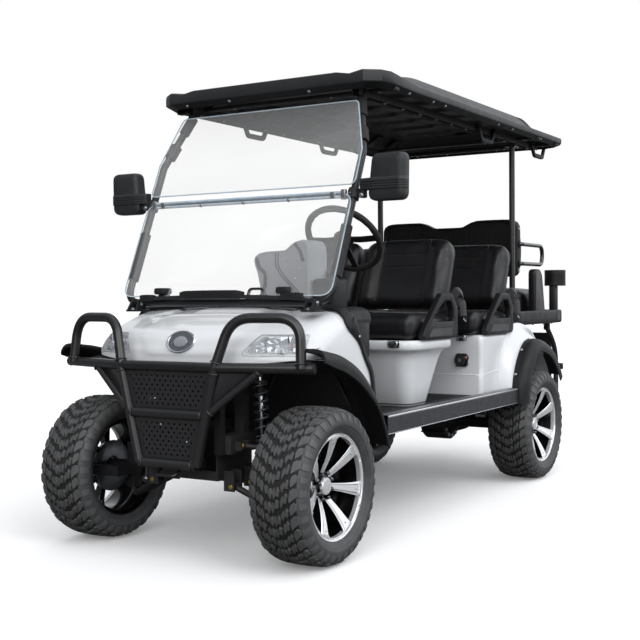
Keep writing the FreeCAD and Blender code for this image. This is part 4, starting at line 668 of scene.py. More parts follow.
def makeStage():
    # A wide pale floor that blends into the same pale surroundings.
    reach = 60.0
    floor = makeMesh("floor",
                     [(-reach, -reach, 0), (reach, -reach, 0), (reach, reach, 0), (-reach, reach, 0)],
                     [(0, 1, 2, 3)], None)
    floor.data.transform(Matrix.Translation((0, 0, -0.0005)))
    mat, tree, shader = startMaterial("studioFloor", {"Specular IOR Level": 0.1, "Roughness": 0.8})
    place = objectPlace(tree)
    # the camera sees the white floor, the cart is lit by a duller one
    seen = mixColour(tree, noiseOf(tree, place, 900.0), "#F8F8F8", "#FBFBFB")
    paths = tree.nodes.new("ShaderNodeLightPath").outputs["Is Camera Ray"]
    mix = addNode(tree, "ShaderNodeMix", {"data_type": "RGBA"}, {0: paths, 7: seen})
    mix.inputs[6].default_value = linear("#757575")
    tree.links.new(mix.outputs[2], shader.inputs["Base Color"])
    shader.inputs["Emission Color"].default_value = (1, 1, 1, 1)
    tree.links.new(mapValue(tree, paths, 0.0, 0.13), shader.inputs["Emission Strength"])
    floor.data.materials.append(mat)
    world = scene.world or bpy.data.worlds.new("studio")
    scene.world = world
    world.use_nodes = True
    tree = world.node_tree
    tree.nodes.clear()
    paths = tree.nodes.new("ShaderNodeLightPath").outputs["Is Camera Ray"]
    # the camera sees plain white, the cart is lit by a softer sky that is brighter overhead
    seen = addNode(tree, "ShaderNodeBackground", {"Strength": 1.0})
    seen.inputs["Color"].default_value = (1, 1, 1, 1)
    height = addNode(tree, "ShaderNodeSeparateXYZ", None,
                     {0: tree.nodes.new("ShaderNodeTexCoord").outputs["Generated"]})
    overhead = mapValue(tree, height.outputs["Z"], 0.10, 0.60, 0.0, 1.0)
    beside = mapValue(tree, height.outputs["X"], 0.0, 0.95, 0.10, 1.0)
    behind = mapValue(tree, height.outputs["Y"], 0.0, 0.90, 0.25, 0.85)
    sides = addNode(tree, "ShaderNodeMath", {"operation": "ADD"}, {0: beside, 1: behind}).outputs[0]
    sky = addNode(tree, "ShaderNodeMath", {"operation": "ADD"}, {0: overhead, 1: sides}).outputs[0]
    lit = addNode(tree, "ShaderNodeBackground", None, {"Strength": sky})
    lit.inputs["Color"].default_value = linear("#F3F6FA")
    mix = addNode(tree, "ShaderNodeMixShader", None, {0: paths, 1: lit.outputs[0], 2: seen.outputs[0]})
    tree.links.new(mix.outputs[0], tree.nodes.new("ShaderNodeOutputWorld").inputs["Surface"])


def makeLight(name, toward, strength, spread):
    # A far wide lamp, so that the floor is as bright far off as it is near the cart.
    data = bpy.data.lights.new(name, "SUN")
    data.energy, data.angle = strength, math.radians(spread)
    lamp = bpy.data.objects.new(name, data)
    scene.collection.objects.link(lamp)
    lamp.matrix_world = Vector(toward).to_track_quat("-Z", "Y").to_matrix().to_4x4()


def makeLights():
    makeLight("topLight", (-0.10, 0.10, -1.0), 0.38, 60.0)
    makeLight("keyLight", (-0.90, 0.20, -0.75), 0.98, 40.0)
    makeLight("frontLight", (-0.30, 1.0, -0.50), 1.30, 40.0)


makeCamera()
makeStage()
makeLights()
scene.view_settings.view_transform = "Standard"
print("stage made")


# Tyres
tyreR, treadBase, treadHalf = 0.292, 0.2825, 0.098
pitchCount = 18


def treadPoint(angle, across, height):
    # A point of the tyre's crown: along its circumference, across its width, above the groove floor.
    t = abs(across) / treadHalf
    base = treadBase - 0.0055 * t ** 2.4 - 0.0200 * max(t - 0.74, 0.0)
    tilt = 0.0 if t < 0.7 else (t - 0.7) * 0.55
    r = base + height * math.cos(tilt)
    x = across + math.copysign(height * math.sin(tilt), across)
    return Vector((x, r * math.sin(angle), r * math.cos(angle)))


def treadBlock(verts, faces, outline, height, draft=0.0016):
    # One rubber block: its outline in (along, across) metres, with sloping flanks and a slightly rounded
    # top.
    count = len(outline)
    cx = sum(a for a, b in outline) / count
    cy = sum(b for a, b in outline) / count
    start = len(verts)
    for inset, h in ((0.0, -0.0015), (draft * 0.75, height - 0.0011), (draft * 1.6, height)):
        for a, b in outline:
            reach = max(math.hypot(a - cx, b - cy), 0.001)
            k = 1.03 - inset / reach
            verts.append(treadPoint((cx + (a - cx) * k) / tyreR, cy + (b - cy) * k, h))
    for ring in range(2):
        for i in range(count):
            j = (i + 1) % count
            faces.append((start + ring * count + i, start + ring * count + j,
                          start + (ring + 1) * count + j, start + (ring + 1) * count + i))
    faces.append(tuple(start + 2 * count + i for i in range(count)))


def treadUnit():
    # The blocks of one pitch: hooked centre blocks, slanted middle blocks and stepped shoulder blocks.
    verts, faces = [], []
    p = 2 * math.pi * tyreR / pitchCount

    def add(outline, height=0.0092, flip=1, shift=0.0):
        # Outline in shares of the pitch and of the tread's half width, given for one side.
        points = [((a + shift + 0.42 * b) * p,
                   min(b, 0.70 + (b - 0.70) * 0.82) * treadHalf * flip) for a, b in outline]
        treadBlock(verts, faces, points if flip > 0 else list(reversed(points)), height)

    for flip, shift in ((1, 0.0), (-1, 0.5)):
        # hooked centre block, cut by a deep notch
        add([(0.04, 0.03), (0.30, -0.05), (0.42, 0.03), (0.30, 0.13), (0.46, 0.20), (0.36, 0.31),
             (0.12, 0.27), (0.16, 0.14)],
            0.0093, flip, shift)
        add([(0.50, 0.10), (0.80, 0.01), (0.92, 0.10), (0.76, 0.17), (0.88, 0.25), (0.72, 0.34),
             (0.53, 0.28), (0.60, 0.18)],
            0.0093, flip, shift)
        # slanted middle block
        add([(0.10, 0.38), (0.34, 0.36), (0.50, 0.43), (0.43, 0.52), (0.56, 0.58), (0.42, 0.66),
             (0.18, 0.60), (0.22, 0.50)],
            0.0092, flip, shift)
        add([(0.62, 0.42), (0.86, 0.36), (0.98, 0.46), (0.90, 0.54), (1.02, 0.61), (0.90, 0.68),
             (0.68, 0.64), (0.74, 0.53)],
            0.0092, flip, shift)
        # shoulder blocks, stepped so that the edge is ragged
        add([(0.16, 0.73), (0.32, 0.70), (0.58, 0.74), (0.62, 0.86), (0.54, 1.08), (0.24, 1.10),
             (0.20, 0.90)],
            0.0090, flip, shift)
        add([(0.68, 0.77), (0.94, 0.72), (1.08, 0.78), (1.10, 0.90), (1.02, 1.02), (0.78, 1.03),
             (0.72, 0.90)],
            0.0086, flip, shift)
    return makeMesh("treadUnit", verts, faces, None, 30.0)


def sidewallLug(outer):
    # A raised rubber lug that carries a shoulder block down the sidewall.
    x0 = 0.1075
    points, faces = [], []
    rows = [(0.2735, -0.0050, 1.0), (0.2665, 0.0010, 1.0), (0.2530, 0.0065, 0.86), (0.2430, 0.0070, 0.62)]
    for r, out, k in rows:
        for side in (-1, 1):
            w = 0.0125 * k
            for lift in (-0.004, 0.0028 if r < 0.273 else 0.001):
                points.append(Vector(((x0 + out + lift) * outer, side * w, r)))
    n = 4
    for r in range(len(rows) - 1):
        for i, j in ((0, 1), (1, 3), (3, 2), (2, 0)):
            faces.append((r * n + i, r * n + j, (r + 1) * n + j, (r + 1) * n + i))
    faces += [(0, 1, 3, 2), tuple(len(points) - 4 + i for i in (0, 1, 3, 2))]
    return makeMesh("lugUnit", points, faces, None, 30.0)


def makeTyre():
    # One tyre about the X axis through the origin, +X outboard.
    half = [(0.0, 0.2825), (0.050, 0.2812), (0.080, 0.2785), (0.098, 0.2745), (0.1075, 0.2660),
            (0.1140, 0.2520),
            (0.1165, 0.2390), (0.1160, 0.2290), (0.1135, 0.2230), (0.1120, 0.2225), (0.1105, 0.2150),
            (0.1090, 0.2140), (0.1060, 0.2040), (0.1025, 0.2015), (0.0990, 0.2005), (0.0960, 0.1960)]
    profile = [(-x, r) for x, r in reversed(half)] + half[1:]
    carcass = lathe("carcass", profile, "tyreRubber", 96, angle=50.0)
    turns = [Matrix.Rotation(2 * math.pi * i / pitchCount, 4, "X") for i in range(pitchCount)]
    # the groove floor takes the darker rubber as painted shade in the grooves
    floorLine = [(x, r + 0.0006) for x, r in ((-0.094, 0.2757), (-0.080, 0.2786), (-0.050, 0.2812),
                                              (0.0, 0.2825), (0.050, 0.2812), (0.080, 0.2786),
                                              (0.094, 0.2757))]
    grooveFloor = lathe("grooveFloor", floorLine, "softRubber", 96)
    tread = repeated("tread", treadUnit(), turns, "tyreRubber", 30.0)
    lugs = []
    for outer, shifts in ((1, (0.40, 0.90)), (-1, (0.90, 1.40))):
        places = []
        for i in range(pitchCount):
            for k, shift in enumerate(shifts):
                turn = Matrix.Rotation(-2 * math.pi * (i + shift + 0.40) / pitchCount, 4, "X")
                places.append(turn @ Matrix.Scale(0.86 if k else 1.0, 4, (0, 1, 0)))
        lugs.append(repeated("lugs", sidewallLug(outer), places, "tyreRubber", 30.0))
    return joined("tyre", [carcass, grooveFloor, tread] + lugs)


# Rims
def spokeUnit(parts):
    # One machined spoke along +Z and its inlaid edge lines, for a wheel whose outer side is +X.
    rows = [(0.048, 0.0125, 0.036), (0.064, 0.0135, 0.044), (0.090, 0.0158, 0.0575),
            (0.120, 0.0188, 0.0705), (0.150, 0.0225, 0.0815), (0.172, 0.0262, 0.0885),
            (0.186, 0.0300, 0.0925)]
    verts, faces = [], []
    # section across the spoke: dark flank, lower step, groove, raised centre, and the same mirrored
    for r, w, x in rows:
        for share, drop in ((-1.0, 0.030), (-1.0, 0.0045), (-0.93, 0.0025), (-0.70, 0.0020),
                            (-0.66, 0.0042), (-0.60, 0.0042),
                            (-0.56, 0.0), (0.56, 0.0), (0.60, 0.0042), (0.66, 0.0042), (0.70, 0.0020),
                            (0.93, 0.0025),
                            (1.0, 0.0045), (1.0, 0.030)):
            verts.append(Vector((x - drop, w * share, r)))
    n = 14
    for r in range(len(rows) - 1):
        for i in range(n - 1):
            faces.append((r * n + i, r * n + i + 1, (r + 1) * n + i + 1, (r + 1) * n + i))
    spoke = makeMesh("spoke", verts, faces, "machinedAlloy", 20.0)
    spoke.data.materials.append(finishes["pocketBlack"])
    for face in spoke.data.polygons:
        column = min(v for v in face.vertices) % n
        if column in (0, 12, 4, 8):
            face.material_index = 1
    parts.append(spoke)


def rimFace():
    # The seven spokes, the scalloped ring that joins them, the pockets behind, and the hub.
    parts = []
    spokeUnit(parts)
    spoke = parts.pop()
    copies = []
    for i in range(7):
        twin = linkObject("spokeCopy", spoke.data.copy())
        moved(twin, Matrix.Rotation(2 * math.pi * i / 7, 4, "X"))
        copies.append(twin)
    old = spoke.data
    bpy.data.objects.remove(spoke)
    bpy.data.meshes.remove(old)
    # ring with notches between the spokes: one row of points per 2.5 degrees
    steps = 7 * 24
    rows = []
    for i in range(steps + 1):
        a = 2 * math.pi * i / steps
        share = (i % 24) / 24
        d = abs(share - 0.5)
        notch = 0.0
        if d < 0.13:
            notch = 0.0075
        if d < 0.05:
            notch = 0.0035
        inner = 0.1835 - (0.007 if d > 0.36 else 0.0)
        profile = [(0.060, inner), (0.0925, inner), (0.0942, inner + 0.0015),
                   (0.0942, 0.1880 - notch * 0.3),
                   (0.0925 - notch * 0.4, 0.1915 - notch), (0.0965 - notch * 0.4, 0.1925 - notch * 0.8),
                   (0.0975 - notch * 0.3, 0.1950 - notch * 0.3),
                   (0.0965, 0.1968), (0.090, 0.1975)]
        rows.append([Vector((x, r * math.sin(a), r * math.cos(a))) for x, r in profile])
    ring = surface("ring", rows, "machinedAlloy", 25.0)
    barrel = lathe("barrel",
                   [(-0.092, 0.197), (-0.094, 0.192), (-0.086, 0.184), (-0.078, 0.178), (-0.02, 0.172),
                              (0.03, 0.178), (0.060, 0.1825), (0.075, 0.1835)], "pocketBlack", 56)
    lip = lathe("backLip", [(-0.098, 0.194), (-0.098, 0.199), (-0.090, 0.200), (-0.088, 0.195)],
                "pocketBlack", 56)
    # dark dish behind the spokes
    dish = lathe("dish", [(0.010, 0.060), (0.004, 0.085), (-0.004, 0.100), (-0.020, 0.104)], "pocketBlack",
                 40)
    hub = lathe("hub",
                [(-0.020, 0.064), (0.010, 0.063), (0.020, 0.060), (0.026, 0.055), (0.028, 0.050),
                 (0.028, 0.030)],
                "machinedAlloy", 42, angle=30.0)
    cup = lathe("nutWell", [(0.0290, 0.058), (0.0275, 0.0575), (0.0245, 0.055), (0.0245, 0.030)],
                "smokedChrome", 42)
    rotor = lathe("rotor",
                  [(-0.030, 0.040), (-0.030, 0.104), (-0.0295, 0.105), (-0.0245, 0.105), (-0.024, 0.104),
                   (-0.024, 0.060)], "turnedSteel", 56, angle=30.0)
    return copies, [ring, barrel, lip, dish, hub, cup, rotor]


def capAndNuts():
    # The flat-topped cap with its ring of dark nuts, and the spoke rivets.
    cap = lathe("cap",
                [(0.024, 0.0330), (0.046, 0.0325), (0.051, 0.0318), (0.0535, 0.0300), (0.0542, 0.0270),
                 (0.0542, 0.0)],
                "machinedAlloy", 40, angle=30.0)
    collar = lathe("capCollar",
                   [(0.024, 0.040), (0.032, 0.0395), (0.035, 0.0370), (0.035, 0.0335), (0.042, 0.0333)],
                   "smokedChrome", 40, angle=30.0)
    nut = unitTurned("nut",
                     [(0.0, 0.031), (0.0030, 0.0305), (0.0058, 0.028), (0.0075, 0.024), (0.0082, 0.022),
                      (0.0092, 0.004),
                             (0.0115, 0.002), (0.0115, 0.0)], 12, 25.0)
    places = []
    for i in range(8):
        a = 2 * math.pi * (i + 0.5) / 8
        places.append(facing((0.0245, 0.0485 * math.sin(a), 0.0485 * math.cos(a)), (1, 0, 0), a))
    nuts = repeated("nuts", nut, places, "smokedChrome", 25.0)
    rivet = domeBolt("rivet", 0.0042, 0.0022)
    places = []
    for i in range(7):
        a = 2 * math.pi * i / 7
        places.append(facing((0.0858, 0.162 * math.sin(a), 0.162 * math.cos(a)),
                             (1, -0.32 * math.sin(a), -0.32 * math.cos(a))))
    rivets = repeated("rivets", rivet, places, "zinc", 25.0)
    return [cap, collar, nuts, rivets]


def makeRim():
    copies, rest = rimFace()
    return joined("rim", copies + rest + capAndNuts())


def wheelTurn(angle, steer, mirrored):
    # Spin about the axle, mirror for the right side, then steer.
    turn = Matrix.Rotation(math.radians(angle), 4, "X")
    if mirrored:
        turn = Matrix.Scale(-1, 4, (1, 0, 0)) @ turn
    return Matrix.Rotation(math.radians(steer), 4, "Z") @ turn


def makeWheels():
    tyre, rim = makeTyre(), makeRim()
    places = {"front_left": (0.506, 0.0, 2.0), "front_right": (-0.506, 0.0, 31.0),
              "rear_left": (0.510, wheelBase, 39.0), "rear_right": (-0.510, wheelBase, 12.0)}
    for corner, (x, y, spin) in places.items():
        body = "wheel_" + corner
        for node, source in (("tyre_", tyre), ("rim_", rim)):
            piece = linkObject(node + corner + "_skin", source.data.copy())
            moved(piece, Matrix.Translation(at(x, y, 0.292)) @ wheelTurn(spin, 0.0, x < 0))
            dressed(piece, body, [node + corner])
    for obj in (tyre, rim):
        old = obj.data
        bpy.data.objects.remove(obj)
        bpy.data.meshes.remove(old)


makeWheels()
print("wheels made")


# Front cowl
cowlHalf, cowlRound = 0.522, 0.070
noseY, noseZ, browZ, topZ, topY, skirtZ, skirtY = -0.157, 0.790, 0.862, 0.952, 0.262, 0.4903, 0.452


def smoothstep(value, low, high):
    t = min(max((value - low) / (high - low), 0.0), 1.0)
    return t * t * (3 - 2 * t)


def curveThrough(points, count):
    # A smooth line through points, sampled evenly between them.
    points = [Vector(p) for p in points]
    ends = [points[0] * 2 - points[1]] + points + [points[-1] * 2 - points[-2]]
    out = []
    spans = len(points) - 1
    for k in range(count + 1):
        t = k / count * spans
        i = min(int(t), spans - 1)
        t -= i
        a, b, c, d = ends[i:i + 4]
        out.append(0.5
                   * ((2 * b) + (c - a) * t + (2 * a - 5 * b + 4 * c - d) * t * t + (3 * b - a - 3 * c + d)
                      * t ** 3))
    return out


def cowlLine(x, inset=0.0):
    # One lengthwise line of the cowl's skin, from the nose's skirt over the top to the rear skirt.
    w, r = cowlHalf - inset, cowlRound - inset
    share = min(abs(x) / w, 1.0)
    drop = 0.016 * share * share
    sweep = 0.118 * share ** 2.2
    into = max(abs(x) - (w - r), 0.0)
    fall = r - math.sqrt(max(r * r - into * into, 0.0))
    nose = noseY + sweep + inset + fall * 0.55
    top = topZ - drop - inset - fall
    brow = browZ - drop - inset - fall * 0.8
    foot = noseZ - 0.034 - fall * 0.3
    over = curveThrough([(x, nose, foot), (x, nose + 0.012, foot + 0.042), (x, nose + 0.062, brow),
                         (x, (nose + 0.062 + topY) / 2, (brow + top) / 2 + 0.008), (x, topY, top)], 36)
    low = nose - 0.008
    under = [Vector((x, low + (nose - low) * smoothstep(k, 0, 8),
                     skirtZ + (foot - skirtZ) * k / 8)) for k in range(8)]
    behind = [Vector((x, skirtY * k / 3 + topY * (1 - k / 3), top)) for k in (1, 2, 3)]
    return under + over + behind


def cowlDetail(p):
    # Small rises in the moulding: the raised middle panel, the crease across it and the stepped scuttle.
    x, y, z = abs(p.x), p.y, p.z
    half = 0.165 + 0.085 * smoothstep(z, 0.76, 0.88)
    panel = (1 - smoothstep(x, half - 0.012, half + 0.016)) * smoothstep(z, 0.755, 0.775)
    rise = 0.0045 * panel
    rise += 0.0030 * smoothstep(y, 0.030,
                                0.040) * (1 - smoothstep(y, 0.045, 0.12)) * (1 - smoothstep(x, 0.30, 0.36))
    scuttle = smoothstep(y, 0.118, 0.128) * (1 - smoothstep(x + (y - 0.118) * 0.5, 0.330, 0.345))
    rise -= 0.0085 * scuttle
    rise += 0.0060 * smoothstep(y, 0.150, 0.156) * (1 - smoothstep(x, 0.150, 0.165))
    return rise


def cowlStations():
    curved = [cowlHalf - cowlRound + cowlRound * math.sin(math.radians(a)) for a in range(0, 91, 9)]
    inner = [(cowlHalf - cowlRound) * i / 22 for i in range(22)]
    half = inner + curved
    return [-x for x in reversed(half)] + half[1:]


def cowlSheet(name, finish, offset=0.0):
    # The cowl's outer skin with its two flat side walls, as one open sheet.
    rows = []
    for x in cowlStations():
        row = []
        for p in cowlLine(x):
            rise = cowlDetail(p) - offset
            front = 1 - smoothstep(p.y, -0.09, 0.02)
            edge = smoothstep(abs(x), cowlHalf - 0.03, cowlHalf)
            push = Vector((0, -rise * front, rise * (1 - front) if p.z > 0.6 else 0.0)) * (1 - edge)
            row.append(p + push + Vector((0, axleY, 0)))
        rows.append(row)
    n = len(rows[0])
    verts = [p for row in rows for p in row]
    faces = []
    for r in range(len(rows) - 1):
        for i in range(n - 1):
            faces.append((r * n + i, r * n + i + 1, (r + 1) * n + i + 1, (r + 1) * n + i))
    first, last = list(range(n)), [(len(rows) - 1) * n + i for i in range(n)]
    # each side wall fills its edge line down to the skirt's rear foot
    for side in (first, last):
        foot = len(verts)
        verts.append(Vector((verts[side[0]].x, skirtY + axleY, skirtZ)))
        faces.append(tuple(side + [foot]))
    return makeMesh(name, verts, faces, finish, 30.0)


def prism(name, outline, y0, y1, finish=None):
    # An upright outline of (x, z) pairs carried from y0 to y1.
    return extrude(name, [at(x, y0, z) for x, z in outline], Vector((0, y1 - y0, 0)), finish)


def roundOutline(points, bend, steps=5):
    # A flat outline of pairs with its corners rounded.
    loop = [Vector((a, 0, b)) for a, b in points]
    out = []
    count = len(loop)
    for i in range(count):
        before, corner, after = loop[i - 1], loop[i], loop[(i + 1) % count]
        a, b = before - corner, after - corner
        cut = min(bend / math.tan(a.angle(b) / 2), a.length * 0.45, b.length * 0.45)
        start, end = corner + a.normalized() * cut, corner + b.normalized() * cut
        for k in range(steps + 1):
            t = k / steps
            p = start * (1 - t) ** 2 + corner * 2 * t * (1 - t) + end * t ** 2
            out.append((p.x, p.z))
    return out


def lampOutline(gap=0.0, side=1):
    points = [(0.258 + gap * 1.4, 0.768 + gap), (0.502 - gap, 0.768 + gap), (0.484 - gap, 0.848 - gap),
              (0.320 + gap, 0.848 - gap)]
    return [(x * side, z) for x, z in roundOutline(points, 0.014)]


def cut(obj, cutter, operation="DIFFERENCE"):
    # A boolean with another mesh, which is then removed.
    mod = obj.modifiers.new("cut", "BOOLEAN")
    mod.object, mod.operation, mod.solver = cutter, operation, "EXACT"
    bpy.context.view_layer.update()
    applied(obj)
    old = cutter.data
    bpy.data.objects.remove(cutter)
    bpy.data.meshes.remove(old)
    return obj


def makeCowl():
    sheet = cowlSheet("front_cowl_skin", "whiteAbs")
    modified(sheet, "SOLIDIFY", thickness=0.0045, offset=-1.0, use_even_offset=False)
    w = cowlHalf + 0.04
    rear = extrude("cut",
                   [at(-w, y, z) for y, z in ((0.238, 0.992), (0.238, 0.9345), (0.406, 0.683),
                                              (0.444, 0.45),
                                                     (0.50, 0.45), (0.50, 0.992))], Vector((2 * w, 0, 0)),
                                                     None)
    cut(sheet, rear)
    cut(sheet, prism("cut", [(-w, 0.44), (w, 0.44), (w, 0.733), (-w, 0.733)], -0.22, 0.0))
    arch = lathe("cut", [(-w, 0.0), (-w, 0.394), (w, 0.394), (w, 0.0)], None, 96)
    arch.data.transform(Matrix.Translation(at(0, 0, 0.365)))
    cut(sheet, arch)
    for side in (1, -1):
        cut(sheet, prism("cut", lampOutline(0.0, side), -0.25, 0.08))
    shadeBy(sheet.data, 28.0)
    dressed(sheet, chassis, ["front_cowl"])


def cowlFront(x, z):
    # How far forward the cowl's skin lies at a place seen from the front.
    line = cowlLine(x)[:34]
    for a, b in zip(line, line[1:]):
        if a.z <= z <= b.z:
            t = (z - a.z) / max(b.z - a.z, 1e-6)
            return a.lerp(b, t).y
    return line[8].y


def makeCowlTrim():
    # Black moulding along the cowl's rear edge, with its push-in bolts.
    path = []
    for k in range(13):
        x = -0.452 + 0.904 * k / 12
        path.append((x, 0.243, topZ - 0.016 * (x / cowlHalf) ** 2 + 0.001))
    right = [(cowlHalf - cowlRound + cowlRound * math.sin(math.radians(a)), 0.243,
              topZ - 0.012 - cowlRound * (1 - math.cos(math.radians(a))) + 0.001) for a in (30, 60, 80)]
    side = [(0.524, 0.262, 0.870), (0.526, 0.310, 0.818), (0.527, 0.362, 0.742), (0.528, 0.404, 0.683),
            (0.527, 0.424, 0.60), (0.525, 0.440, 0.500)]
    left = [(-x, y, z) for x, y, z in reversed(right + side)]
    line = curveThrough([at(*p) for p in left + path + right + side], 120)
    # the section lies flat on the skin and wraps the cut edge
    section = [(-0.016, -0.0035), (0.012, -0.0035), (0.017, -0.001), (0.017, 0.005), (0.012, 0.0075),
               (-0.010, 0.0065), (-0.016, 0.002)]
    trim = makeTrimBand("cowl_trim", line, section)
    bolt = domeBolt("bolt", 0.0065, 0.004)
    places = []
    for s in (1, -1):
        for y, z in ((0.300, 0.830),):
            places.append(facing(at(s * 0.533, y, z), (s, 0, 0)))
    bolts = repeated("trimBolts", bolt, places, "zinc")
    dressed(joined("cowl_trim", [trim, bolts]), chassis)


def makeTrimBand(name, line, section):
    # A section swept so that its thickness always points away from the cart's middle.
    rings = []
    middle = at(0, 0.12, 0.62)
    count = len(line)
    for i, point in enumerate(line):
        tangent = (line[min(i + 1, count - 1)] - line[max(i - 1, 0)]).normalized()
        out = point - middle
        out.y = 0
        if abs(point.x) < 0.46:
            out.x *= 0.1
        else:
            out.z *= 0.15 if point.z < 0.88 else 1.0
        out = (out - tangent * out.dot(tangent)).normalized()
        across = tangent.cross(out)
        if across.y < 0:
            across = -across
        wide = 0.62 + 1.2 * smoothstep(point.z, 0.80, 0.88)
        across, out = across * wide, out * (0.8 + 0.9 * smoothstep(point.z, 0.80, 0.88))
        rings.append([point + across * a + out * b for a, b in section])
    n = len(section)
    verts = [v for ring in rings for v in ring]
    faces = []
    for r in range(count - 1):
        for i in range(n):
            j = (i + 1) % n
            faces.append((r * n + i, r * n + j, (r + 1) * n + j, (r + 1) * n + i))
    faces += [tuple(range(n)), tuple(range((count - 1) * n, count * n))]
    return makeMesh(name, verts, faces, "blackAbs", 40.0)


def makeLamp(side, name):
    # Clear lens over a chromed bowl, with its divider, bulbs, marker and ribbed bezel.
    lens = cowlSheet(name + "_lens", "clearLens", 0.0012)
    modified(lens, "SOLIDIFY", thickness=0.003, offset=-1.0)
    cut(lens, prism("cut", lampOutline(0.0006, side), -0.25, 0.08), "INTERSECT")
    shadeBy(lens.data, 30.0)
    dressed(lens, chassis, ["headlamps"])
    outer, inner = lampOutline(0.0008, 1), lampOutline(0.010, 1)
    parts = []
    rows = []
    for outline, back in ((outer, 0.005), (inner, 0.007), (inner, 0.028), (lampOutline(0.016, 1), 0.050)):
        rows.append([at(x, cowlFront(x, z) + back, z) for x, z in outline])
    bezel = surface(name + "Bezel", rows[:3], "lampBezel", 30.0, True)
    bowl = surface(name + "Bowl", rows[2:], "chrome", 40.0, True)
    back = makeMesh(name + "Back", rows[-1], [tuple(range(len(rows[-1])))], "chrome")
    parts += [bezel, bowl, back]

    def reflector(x, z, radius, depth, bulb):
        profile = [(0.0, 0.008), (-depth * 0.25, radius * 0.45), (-depth * 0.6, radius * 0.8),
                   (-depth, radius), (-depth - 0.001, radius * 1.03)]
        dish = lathe("dish", [(a, b) for a, b in profile], "chrome", 36, angle=20.0)
        glass = lathe("bulb",
                      [(-0.002, 0.0), (-0.004, 0.004), (-0.016, 0.0055), (-0.021, 0.004), (-0.0235, 0.0)],
                      bulb, 16)
        for piece in (dish, glass):
            moved(piece,
                  Matrix.Translation(at(x, cowlFront(x, z) + 0.052, z)) @ Matrix.Rotation(math.pi / 2, 4,
                    "Z") @ Matrix.Scale(1, 4))
        return [dish, glass]

    parts += reflector(0.372, 0.806, 0.031, 0.030, "clearLens")
    parts += reflector(0.322, 0.797, 0.022, 0.022, "clearLens")
    parts += reflector(0.468, 0.808, 0.018, 0.020, "redLens")
    # bright upright divider and the amber marker beside it
    y = cowlFront(0.432, 0.808)
    parts.append(block(name + "Divider", (0.427, y + 0.008, 0.781), (0.436, y + 0.048, 0.842), "chrome",
                       0.002))
    parts.append(block(name + "Marker", (0.4405, y + 0.020, 0.800), (0.4525, y + 0.030, 0.812), "amberLens",
                       0.002))
    parts.append(block(name + "Shelf", (0.322, cowlFront(0.36, 0.785) + 0.016, 0.779),
                       (0.426, cowlFront(0.36, 0.785) + 0.05, 0.783), "chrome", 0.001))
    ribs = [block("rib", (0.272 + k * 0.0052, cowlFront(0.285 + k * 0.005, 0.785) + 0.010, 0.7785),
                  (0.2745 + k * 0.0052, cowlFront(0.285 + k * 0.005, 0.785) + 0.018, 0.792 + k * 0.0048),
                  "lampBezel", 0.0006, 1) for k in range(8)]
    lamp = joined(name + "_bowl", parts + ribs)
    if side < 0:
        moved(lamp, Matrix.Scale(-1, 4, (1, 0, 0)))
    dressed(lamp, chassis)


def makeBadge():
    # A plain oval badge: chrome rim round a blank brushed inlay with a shallow raised bar.
    slope = cowlFront(0, 0.832) - cowlFront(0, 0.800)
    normal = Vector((0, -0.032, slope)).normalized()
    tilt = facing(at(0, cowlFront(0, 0.816), 0.816) + normal * 0.0065,
                  normal) @ Matrix.Diagonal((1.16, 0.80, 1.0, 1.0))
    rim = unitTurned("badgeRim",
                     [(0.0585, -0.006), (0.0585, 0.002), (0.0565, 0.0048), (0.0530, 0.0052),
                      (0.0500, 0.0036), (0.0495, 0.0018)], 56)
    rim.data.materials.append(finishes["chrome"])
    inlay = unitTurned("badgeInlay", [(0.0498, 0.0018), (0.030, 0.0024), (0.0, 0.0027)], 56)
    inlay.data.materials.append(finishes["badgeInlay"])
    oval = unitTurned("badgeOval", [(0.028, 0.0022), (0.0272, 0.0040), (0.020, 0.0050), (0.0, 0.0054)], 48)
    oval.data.materials.append(finishes["chrome"])
    badge = joined("hood_badge", [rim, inlay, oval])
    moved(badge, tilt)
    dressed(badge, chassis)


makeCowl()
makeCowlTrim()
makeLamp(1, "headlamp_left")
makeLamp(-1, "headlamp_right")
makeBadge()
print("cowl made")


# Brush guard
def weldRing(name, place, axis, radius):
    # The bead of a weld round a tube's end.
    ring = []
    for k in range(20):
        a = 2 * math.pi * k / 20
        ring.append(Vector((math.cos(a), math.sin(a), 0)) * (radius + 0.0012 * math.sin(k * 2.4)))
    turn = Vector(axis).to_track_quat("Z", "Y").to_matrix().to_4x4()
    line = [Matrix.Translation(Vector(place)) @ turn @ p for p in ring]
    return sweep(name, line, circle(0.0034, 8), "satinCoat", True)


def guardY(x):
    return -0.228 + max(abs(x) - 0.222, 0) * 0.2873


